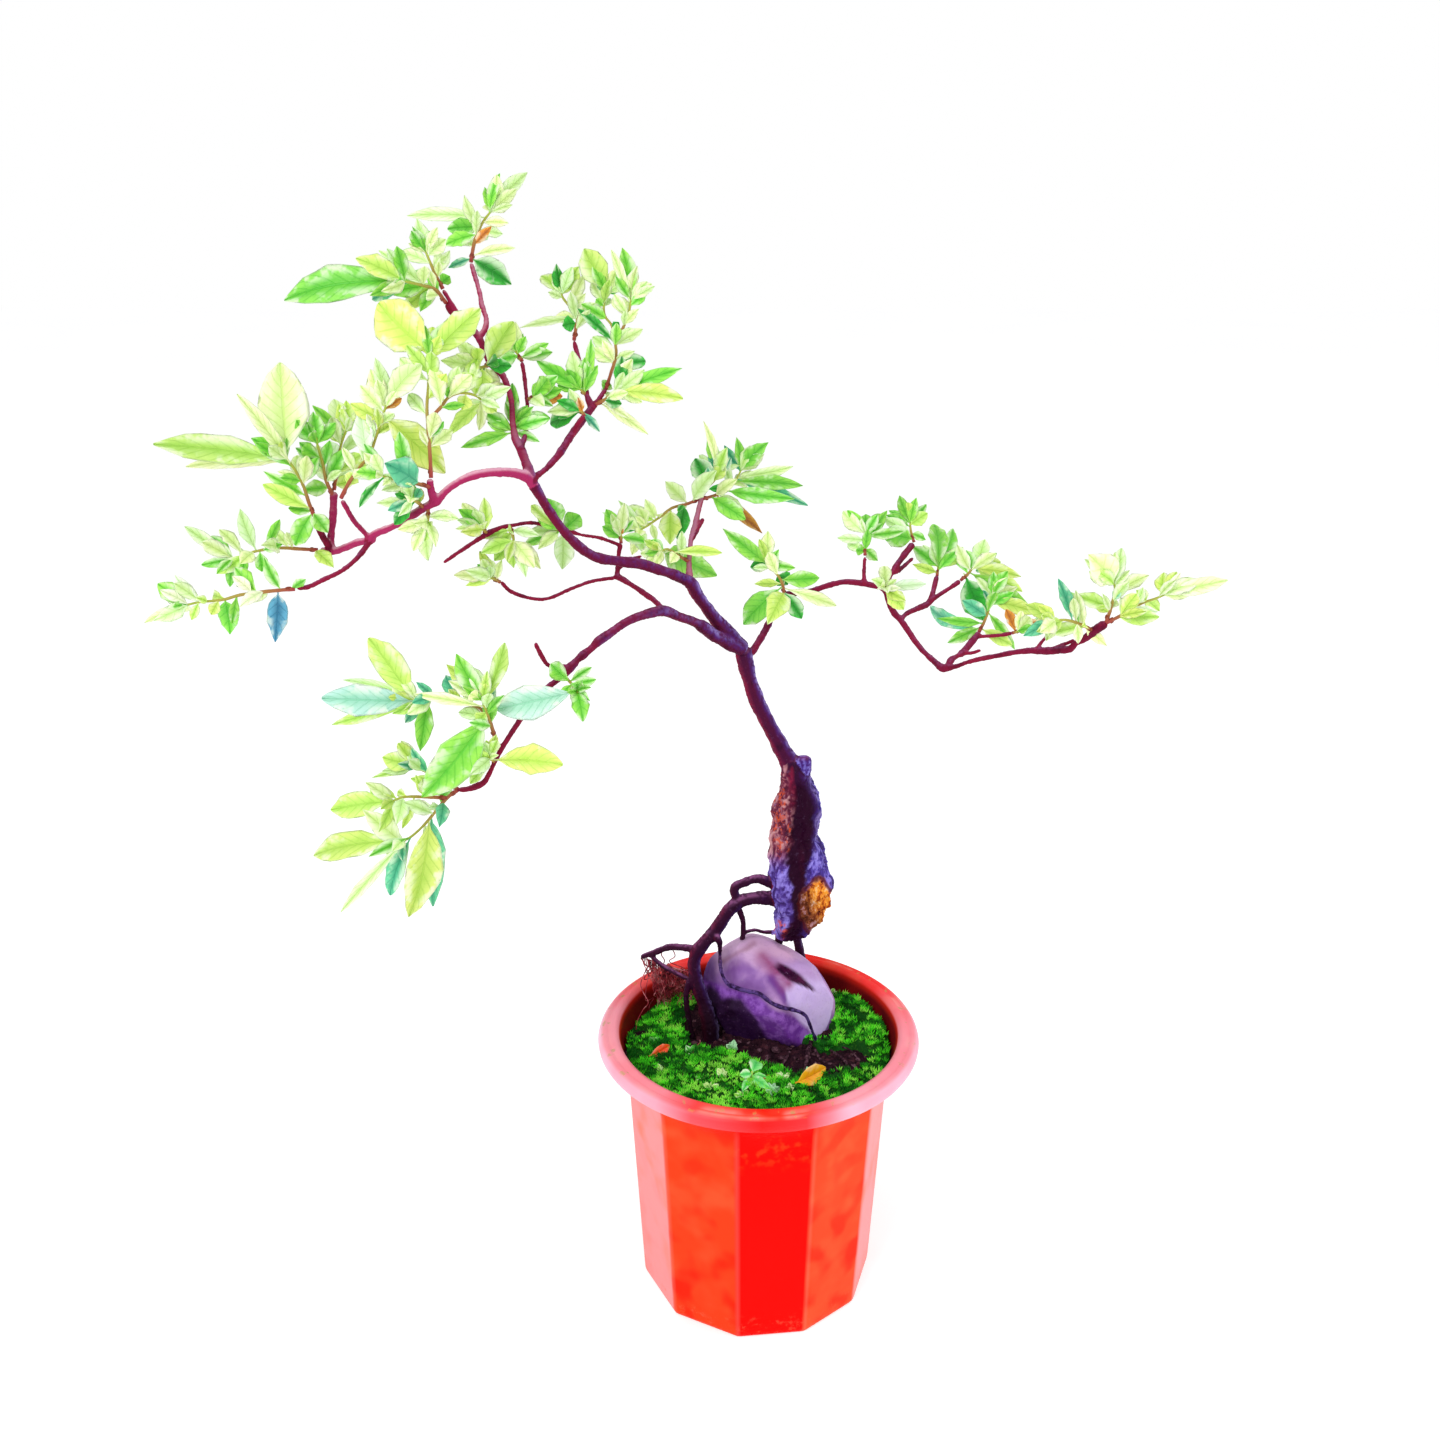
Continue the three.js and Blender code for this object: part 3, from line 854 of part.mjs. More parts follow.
function makeBonsai() {
  const bonsai = new THREE.Group();
  const plainStone = makeStone();
  const stoneMesh = meshOf(mainBody(plainStone), 'stone', 'stone');
  stoneMesh.updateMatrixWorld();
  const faceLine = faceRootLine(stoneMesh);
  const routes = [...Object.values(ROOTS), ...Object.values(LIMBS)];
  const wood = fuse([trunkBase(), faceRoot(faceLine), ...routes.map((route) => limb(route))]);
  const rootSleeves = fuse([trunkBase(CLEARANCE), faceRoot(faceLine, CLEARANCE),
    ...Object.values(ROOTS).map((route) => limb(route, CLEARANCE))]);
  const stone = plainStone.subtract(rootSleeves);
  const fallen = Object.entries(FALLEN_LEAVES).map(([name, leaf]) => [name, fallenLeaf(leaf)]);
  const beds = Object.values(FALLEN_LEAVES).map((leaf) => fallenLeaf(leaf, CLEARANCE));
  const soil = makeSoil().subtract(fuse([rootSleeves, makeStone(CLEARANCE), seedling(CLEARANCE), ...beds]));
  bonsai.add(meshOf(makePot(), 'pot', 'pot', 0.45));
  bonsai.add(meshOf(mainBody(soil), 'soil', 'soil', 0.95));
  bonsai.add(meshOf(mainBody(stone), 'stone', 'stone', 0.8));
  bonsai.add(meshOf(mainBody(wood), 'trunk_and_roots', 'bark', 0.8));
  makeShoots(Object.values(LIMBS).map((route) => limb(route, CLEARANCE))).forEach((mesh) => bonsai.add(mesh));
  fallen.forEach(([name, solid]) => bonsai.add(meshOf(mainBody(solid), name, 'dead')));
  bonsai.add(meshOf(mainBody(seedling()), 'seedling', 'leaf'));
  return bonsai;
}

const bonsai = makeBonsai();

export default bonsai;
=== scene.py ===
# Azalea bonsai: the finish of the pot, soil, moss, stone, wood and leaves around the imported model.
# Shapes are worked out in millimetres, +Z up, and become metres when a mesh is made.
import math

import bmesh
import bpy
import numpy as np
from bpy.props import FloatProperty, FloatVectorProperty, IntProperty, PointerProperty
from bpy.types import Operator, Panel, PropertyGroup
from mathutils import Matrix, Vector, kdtree, noise
from mathutils.bvhtree import BVHTree


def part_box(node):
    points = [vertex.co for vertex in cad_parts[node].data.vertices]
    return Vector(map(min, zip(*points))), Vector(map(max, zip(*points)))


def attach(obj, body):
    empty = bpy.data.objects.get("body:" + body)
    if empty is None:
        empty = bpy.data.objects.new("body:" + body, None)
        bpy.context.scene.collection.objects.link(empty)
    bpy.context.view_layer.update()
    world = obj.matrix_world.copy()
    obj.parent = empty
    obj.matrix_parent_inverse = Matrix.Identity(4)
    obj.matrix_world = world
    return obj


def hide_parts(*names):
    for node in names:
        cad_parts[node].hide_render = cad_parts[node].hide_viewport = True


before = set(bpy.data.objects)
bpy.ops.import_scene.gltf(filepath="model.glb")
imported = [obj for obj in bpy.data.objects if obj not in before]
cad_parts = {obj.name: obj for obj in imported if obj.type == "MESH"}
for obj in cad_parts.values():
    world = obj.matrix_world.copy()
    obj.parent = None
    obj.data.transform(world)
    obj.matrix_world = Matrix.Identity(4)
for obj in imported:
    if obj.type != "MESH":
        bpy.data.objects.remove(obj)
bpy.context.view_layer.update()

bl_info = {
    "name": "Azalea Bonsai",
    "version": (1, 0, 0),
    "blender": (4, 5, 0),
    "location": "3D View > Sidebar > Bonsai",
    "description": "Dresses an azalea bonsai: its pot, soil, moss, stone, wood and leaves",
    "category": "Object",
}

MM = 0.001
TURN = 2 * math.pi


def rows(text):
    """The numbers of each reading in a run of text."""
    return [[float(word) for word in row.split()] for row in text.split(",")]


def columns(text):
    """The same numbers, one array for each place in a reading."""
    return np.array(rows(text)).T


def lettered_rows(text):
    """Readings whose last word is a letter."""
    words = [row.split() for row in text.split(",")]
    return [(*map(float, row[:-1]), row[-1]) for row in words]


def named_runs(text):
    """Runs of text by name: a name and a colon begin each."""
    runs = {}
    for line in text.strip().splitlines():
        name, colon, run = line.rpartition(":")
        if colon:
            latest = name
        runs[latest] = runs.get(latest, "") + run
    return runs


# The eye from which the tree's points were read: across and down in a square of 1440
EYE = np.array([-21.5, -730.0, 619.5])
EYE_PITCH = math.radians(20.6)
EYE_FOCAL = 1500.0
EYE_CENTRE = 720.0
EYE_FORWARD = np.array([0.0, math.cos(EYE_PITCH), -math.sin(EYE_PITCH)])
EYE_UP = np.array([0.0, math.sin(EYE_PITCH), math.cos(EYE_PITCH)])
EYE_RIGHT = np.array([1.0, 0.0, 0.0])

# Where the pot's panels meet, in degrees round from the front, how pale each is from a painted sheen of the
# lights, and how red each is
POT_CORNERS = (-80, -45, -10, 23, 56, 89, 116, 143.5, 171, 198, 225.5, 253)
POT_PANEL_SHEEN = (0.9, 0.03, 0, 0.05, 1, 0.55, 0.1, 0, 0.1, 0.6, 0.2, 0.7)
POT_PANEL_RED = (0, 0.25, 1, 0, 0, 0, 0.3, 0.6, 0.1, 0, 0.3, 0)
POT_PANEL_STEPS = 20
POT_CORNER_SOFTNESS = 0.15
POT_CORNER_REACH = 0.9965
# How far a painted sheen of the lights makes the rim rosy: degrees round from the front, then the share
RIM_SHEEN = "-180 0, -125 0.2, -100 1, -38 0.75, -24 0.15, 0 0, 15 0.05, 32 0.95, 90 0.8, 120 0.1, 180 0"
# The pot's section: how far out from a radius, how far up from a level, how round, how much rim
POT_FOOT = "-6 0 0 0, -2.2 0 0 0, -0.9 0.5 0 0, -0.1 2.2 0 0"
POT_BODY = (0.03, 0.86, 22)
POT_UNDER_RIM = """
-0.7 130 0 0, -0.2 137 0.1 0, 0.4 142 0.5 0, 1.3 145.5 0.9 0, 2.4 148.2 1 0.1, 3.8 150.6 1 0.4"""
POT_LIP = """
-5 151.8 1 0.9, -2.6 152.6 1 1, -1 153.8 1 1, -0.2 155.2 1 1, 0 156.8 1 1, -0.5 158.5 1 1,
-1.5 160.1 1 1, -3 161.3 1 1, -4.4 161.8 1 1, -5.4 161.1 1 1, -6.4 161.3 1 1"""
POT_CREST = "-8 0 1 1, -9.6 -0.3 1 1"
POT_MOUTH = "0.6 -1.4 1 0.9, 0 -3 1 0.6"
POT_THROAT = "-1 156 1 0, -1.9 152 1 0, -2.4 149 1 0"
POT_SHOULDER = "-2.6 140 0.6 0"
POT_FLOOR = "0 8 0 0, -3 5 0 0"
POT_INSIDE_ROWS = 7
POT_BEAD_TOP = 160.5
POT_RIDGE_TOP = 161.5
POT_NECK_HEIGHT = 145.0
POT_WALL = 2.6
RIM_TOP = 166.0

# Ground: its level, its reach, and the soil's rings below it as reach and height
SOIL_LEVEL = 150.0
SOIL_EDGE_DROP = 3.0
SOIL_REACH = 75.3
SOIL_WALL = "56 6, 60 8, 66 135, 74.7 147.2"
SOIL_GRID = (64, 200)
MOSS_GRID = (60, 180)
MOSS_CEILING = 154.5
GROUND_CLEARANCE = 4

# Stone: its middle and outline as seen, across and down, with the middle's depth
STONE_MIDDLE = (768, 990, 21)
STONE_HALF_DEPTH = 25.0
STONE_FACET_PRESS = 0.93
STONE_OUTLINE = """
836 1000, 829 979, 812 964, 796 952, 780 944, 766 937, 750 933, 734 940, 720 950, 708 961, 701 974,
702 990, 712 1008, 724 1030, 745 1055, 772 1062, 800 1058, 822 1046, 836 1022"""
# Flat cheeks of the stone: right, up and towards the eye, then how far out from its middle
STONE_FACETS = """
0.1 0.72 0.68 24, 0.66 -0.12 0.74 23.5, -0.28 0.12 0.95 21.5, -0.3 -0.6 0.74 24, 0.85 0.5 0.15 29,
-0.8 0.2 0.55 26"""
# Marks on the stone as seen lines: the dark streak, then others with where each fades out and is full
STONE_STREAK = ((773, 962), (819, 994))
STONE_STREAK_WIDTH = 5.2
STONE_LINES = {
    "halo": ((763, 956), (788, 983), 13, -4),
    "seam": ((721, 962), (754, 943), 5, -1),
    "crown": ((752, 941), (788, 953), 16, -4),
}
# The tops of the stone's violet underside, a painted shade, and of its dark foot, a painted shadow: across,
# then down
STONE_UNDER = "700 980, 720 984, 737 991, 760 996, 772 1006, 790 1013, 806 1020, 812 1036, 830 1060"
STONE_FOOT = "700 985, 729 997, 741 1003, 753 1016, 759 1027, 770 1036, 786 1043, 810 1048, 830 1056"
# The edge between the stone's middle face and its right cheek: down, then across
STONE_EDGE = "955 764, 975 773, 988 778, 1003 787, 1021 798, 1036 812, 1060 830"
# Where each painted light or shade on the stone begins and is full: the lit cheek, its shaded crease and
# the painted highlight on top run down; the dark left, a painted shade, runs across
STONE_CHEEK_TOP = (955, 968)
STONE_FOLD_TOP = (968, 978)
STONE_FOLD_FOOT = (1010, 1000)
STONE_LEFT = (726, 706)
STONE_HIGH = (990, 972)
STONE_TOP = (972, 948)

# The root down the stone's face: across, down, half width, with its two ends also in depth
FACE_ROOT_START = "712 932 14 2, 719 941 10 1.7"
FACE_ROOT = """
720 954 1.5, 721 970 1.5, 727 983 1.6, 737 988 1.7, 748 991 1.7, 760 994 1.8, 770 1002 1.8,
781 1007 1.7, 794 1010 1.5, 805 1015 1.4, 810 1025 1.3, 813 1033 1.3"""
FACE_ROOT_END = "817 1042 2 1.2, 820 1052 3 1"
FACE_ROOT_SHARE = 0.68
FACE_ROOT_INKY = (946, 968)

# Marks on the trunk, as seen: middle across and down, then half across and half down
WOUND = (818, 908, 24, 35)
WOUND_HEART = (816, 908)
TRUNK_LOW = (848, 872)
RUST_PATCHES = "779 815 9 50, 779 930 10 13, 787 835 6 20"
# The trunk's dark hollow, as seen, with painted highlights on the flanks beside it: down, then its middle
# across and half width
TRUNK_CORE = """
765 798 12, 780 798 12, 800 805 15, 830 803 15, 850 799 14, 870 797 10, 885 798 7, 905 797 5,
920 800 8, 935 792 12"""
# How much each bough blushes
FLUSH = {
    "arch": 1.0, "arch_riser": 0.9, "left_riser": 0.7, "left_yellow": 0.6,
    "upstem": 0.25, "apex_twig": 0.6, "crown_twig": 0.5, "centre_riser": 0.4,
}

# Soil left bare by the moss, as seen: middle across and down, then half across and half down
BARE_PATCHES = """
662 985 34 20, 788 1056 48 15, 846 1060 30 13, 720 1020 46 36, 762 1046 44 15, 812 1068 34 11,
822 1034 15 9, 640 1035 9 6"""
# Where the moss is palest, where it is dark, and where it swells up to the rim
LIME_PATCH = (722, 1082, 70, 30)
DIM_PATCH = (668, 1060, 46, 24)
SWELL_PATCH = (868, 1010, 34, 56)
SWELL_HEIGHT = 4.5
# The mat's dark tone is partly the moss's own and partly painted shade in the gaps between the plants
MAT_TONE = "#0a3d0a"
MOSS_TONES = ("#0a5510", "#4cdc20", "#c8fa6c")
# Corners of a moss spike: three at its foot, three round its middle and its point, with their shades:
# darker at the foot, a painted shade low in the moss, and paler at the point
SPIKE_FACES = ((0, 1, 4, 3), (3, 4, 6), (1, 2, 5, 4), (4, 5, 6), (2, 0, 3, 5), (5, 3, 6), (2, 1, 0))
SPIKE_SHADES = (0.35, 0.35, 0.35, 0.95, 0.95, 0.95, 1.45)
SPIKE_COUNT = 5
PLANT_COVER = 0.35
# Small weeds in the moss: across, down, reach in mm, leaves and tone
WEEDS = """
723 1015 5.5 8 t, 728 1023 4 6 t, 733 1049 5 7 m, 722 1077 5 6 p, 710 1088 4.5 6 p, 772 1093 6 6 m,
783 1079 4.5 6 p, 790 1090 4 5 p, 700 1081 4 5 y, 660 1070 4 6 y, 742 1098 4.5 6 y, 808 1074 3.5 5 m,
848 985 4.5 7 y, 858 1002 4 6 g, 846 972 4 6 g, 690 1052 4 6 g, 654 1042 4 6 g, 872 1020 4 6 g,
762 1081 4 3 r, 766 1078 3 3 r"""
WEED_TONES = {
    "t": "#2f8f78", "m": "#a4e0a8", "p": "#c6ee8c",
    "y": "#8fd83c", "g": "#3fb82a", "r": "#c84a2c",
}
# Clods and grit lying on the bare soil: across, down, half size in mm
CLODS = """
776 1050 2.6, 782 1058 2, 768 1057 1.8, 789 1049 1.6, 795 1058 1.4, 760 1050 1.5, 843 1068 1.4,
858 1060 1.7"""
CLOD_SCATTER = 45
CLOD_ROUGHNESS = 0.45
# Dead roots lying on the bare soil: across, down, half width in mm
GROUND_ROOTS = (
    "811 1042 1.2, 808 1052 1.3, 806 1064 1.2, 803 1076 0.9",
    "817 1046 0.9, 828 1049 0.8, 843 1059 0.7, 849 1068 0.5",
    "815 1050 0.8, 822 1061 0.8, 835 1066 0.6, 837 1077 0.5",
    "822 1042 0.7, 838 1046 0.6, 850 1050 0.5, 858 1059 0.4",
    "790 1052 0.9, 784 1062 0.8, 778 1072 0.7",
    "770 1056 0.8, 762 1064 0.7, 752 1070 0.6",
)
# Hanging root hairs: start across, down, depth; end across and down on the soil
THREADS = """
643 957 33 634 1010, 650 955 30 655 985, 662 950 26 650 992, 672 948 22 668 985, 641 958 33 629 988,
646 956 32 636 1030, 762 1055 0 752 1072, 775 1058 0 786 1078, 790 1055 0 800 1076,
700 1040 0 690 1060"""
THREAD_SPOTS = 9
THREAD_STEP = 1.2
THREAD_WANDER = 0.16
THREAD_FRINGE = 110
FRINGE_START = np.array([644, 958, 33])
FRINGE_END = np.array([688, 972, 20])
FRINGE_LANDING = (-4, 984)
FRINGE_SPREAD = (16, 26)

# Fallen leaves: base and tip, across and down, width, and the blade's and the heart's colours
FALLEN_LEAVES = {
    "fallen_leaf_left": (649, 1056, 670, 1045, 12, "#ff5208", "#d8260c"),
    "fallen_leaf_right": (795, 1083, 826, 1067, 21, "#f2b40c", "#d8300c"),
}
FALLEN_LIFT = 3.8
FALLEN_EXTRA_THICKNESS = 0.1
FALLEN_VEINED = 0.35
# Seedling: foot across and down, and its leaves as place, tip across, tip down, width
SEEDLING_FOOT = (752, 1086)
SEEDLING_HEIGHT = 10.0
SEEDLING_LEAF_LIFT = 4.0
SEEDLING_LEAVES = "1 757 1061 13, 0.9 739 1075 9, 0.7 772 1090 9, 0.8 767 1077 7, 0.6 742 1092 8"
SEEDLING_TONES = ("#8ee884", "#35bf52")
SEEDLING_STEM_TONES = ("#8fbf4a", "#b9dc6a")
SEEDLING_STEM_RADII = (0.7, 0.5)
SEEDLING_GAIN = 1.15
SEEDLING_SEED = 40

# Leaf tones: the blade's colour and that of its heart and veins
LEAF_TONES = {
    "y": ("#d2ec7a", "#9acd42"),
    "p": ("#e6f7c0", "#b9df74"),
    "g": ("#94dc52", "#46b222"),
    "d": ("#34b234", "#107a1c"),
    "t": ("#66c894", "#28906c"),
    "b": ("#5cb0d0", "#1c6e92"),
    "m": ("#c8eadb", "#86cfa6"),
    "o": ("#dd9430", "#a0501c"),
    "w": ("#eff8df", "#cde6a6"),
}
SHOOT_SLOTS = {
    "teal": "leaf_dark",
    "right_dark": "leaf_dark",
    "left_pale": "leaf_pale",
    "dead_top": "leaf_dead",
    "dead_right": "leaf_dead",
}
# Depths and lengths tried for a leaf's tip, as shares of how long it looks
TIP_DEPTHS = (0.15, -0.15, 0.35, -0.35, 0, 0.55, -0.55, 0.8, -0.8, 1.1, -1.1, 1.5, -1.5)
TIP_SHRINKS = (1, 0.8, 0.6)
TIP_GAP = 0.3
# Blades: how deep they sit in a stem, how far apart, and how they fold, bend, wave and are ribbed
BLADE_SINK = 0.9
BLADE_SPACING = 1.3
BLADE_FOLD = 0.22
BLADE_ARCH = 0.1
BLADE_ROLL = 0.9
BLADE_WAVE = 0.05
BLADE_QUILT = 0.011
BLADE_GROOVE = 0.3
BLADE_KEEL = 0.9
STALK_SHARE = 0.07
FIRST_LEAF = 2.6
SMALL_WIDTH = 15
SMALL_GAIN = 1.25
WIDE_GAIN = 1.08
# Stems, bud scales and young leaves: tones and sizes in mm, from a stem's base to its end
STEM_TONES = ("#96282e", "#a6b844")
BUD_TONES = ("#8a3a24", "#b7c84a")
BUD_HEART = "#5a1f1c"
BUD_SCALES = 5
BUD_SIZES = (2.6, 2.2)
BUD_SEEDS = (900, 500)
SCALE_THICKNESS = 0.3
STEM_RADII = (0.95, 0.5)
STEM_STEP = 1.6
STEM_SIDES = 8
ROSETTE_LEAVES = 6
YOUNG_SPACING = 5.0
YOUNG_LENGTH = 13.5
YOUNG_PALE_SHARE = 0.42
YOUNG_SEED = 300
GOLDEN_TURN = 2.39996
# A blade's grid: places from base to tip, and places across from edge to edge
LEAF_GRID = (np.array([0, 0.04, 0.09, 0.15, 0.23, 0.33, 0.44, 0.55, 0.66, 0.77, 0.87, 0.94, 0.985]),
             np.array([-1, -0.82, -0.5, -0.16, 0, 0.16, 0.5, 0.82, 1]))
YOUNG_GRID = (np.array([0, 0.06, 0.15, 0.3, 0.46, 0.62, 0.78, 0.9, 0.98]),
              np.array([-1, -0.62, -0.18, 0, 0.18, 0.62, 1]))
SCALE_GRID = (np.array([0, 0.2, 0.5, 0.8, 0.98]), np.array([-1, 0, 1]))

# Grain of the meshes
STONE_LEVELS = 6
WOOD_STEP = 1.3
WOOD_SOFTENING = 3
TRUNK_STEP = 1.4
TRUNK_SIDES = 64
REMESH_GROW = 0.12
TRUNK_HOLLOW = 2.2
BARK_STRETCH = 0.68
BLEND_ROUNDS = 40
LIMB_END = 0.55
LIMB_SWELLING = 0.09
LIMB_SCAR = 0.14
WIDE_GIRTH = 7.0
WIDE_LEAD = 0.4
THIN_GIRTH = 3.6
# The floor's reach and the spot that the lights aim at, in metres
FLOOR_REACH = 6.0
LIGHT_AIM = (0, 0, 0.3)
# How a mark is kept, by how many numbers it has at a corner
MARK_KINDS = {1: ("FLOAT", "value"), 3: ("FLOAT_VECTOR", "vector"), 4: ("FLOAT_COLOR", "color")}

# Lower trunk: across, down, depth, half width
TRUNK_BASE = """
793 760 27 4.5, 795 768 27 7, 797 780 28 8.5, 799 797 29 12, 798 812 29 13, 795 830 29 12.6,
796 848 29 15, 798 866 29 16, 801 884 29 17, 801 898 29 16.4, 797 912 29 14, 790 925 29 10.5,
784 935 29 5.5, 781 940 29 2.5"""
KNOBS = {"crown_knob": "797 784 27 6, 801 772 26 5.4, 803 762 25 4.6, 803 756 25 3.6"}

# Roots, then the wood above the trunk: across, down, depth, half width
ROOTS = named_runs("""
shoulder_root: 774 884 24 3, 758 879 21 2.5, 745 882 19 2.3, 735 887 18 2.4, 735 895 18 2.2, 742 902 18 2.2
main_root: 782 898 26 4.6, 766 898 23 3.9, 754 898 20 3.5, 741 901 18 3.6, 731 908 16 3.8, 723 919 15 3.7,
  715 931 14 3.8, 705 942 13 3.8, 697 952 12 3.7, 694 964 11 3.5, 696 978 10 3.7, 700 992 9 4,
  705 1006 9 4.3, 709 1020 8 4.8, 711 1036 8 5, 712 1050 8 4
left_foot_root: 696 972 11 1.8, 689 982 9 1.6, 686 998 8 1.5, 688 1014 8 1.5, 691 1030 8 1.5, 696 1044 8 1.3
hanging_root: 737 903 18 2, 740 912 20 1.6, 743 922 22 1.6, 743 934 24 1.4, 741 944 33 1.4, 735 965 45 1.4,
  732 985 50 1.3, 731 1000 52 1.1
reaching_root: 699 950 13 2.1, 687 948 16 1.9, 670 947 22 1.8, 656 952 28 1.7, 641 957 33 1.5
return_root: 650 955 30 1.2, 663 966 23 1.3, 676 973 17 1.3, 688 979 12 1.3
cross_root: 776 932 29 1.3, 764 932 27 1, 754 930 25 1, 743 933 24 1.1
back_root_left: 781 932 29 2.6, 779 940 36 2.3, 777 955 46 2.2, 775 970 54 2.1, 774 988 58 1.8
back_root_right: 797 922 29 3, 797 938 36 2.5, 800 951 46 2.4, 803 964 55 2.2, 805 980 60 1.8
""")
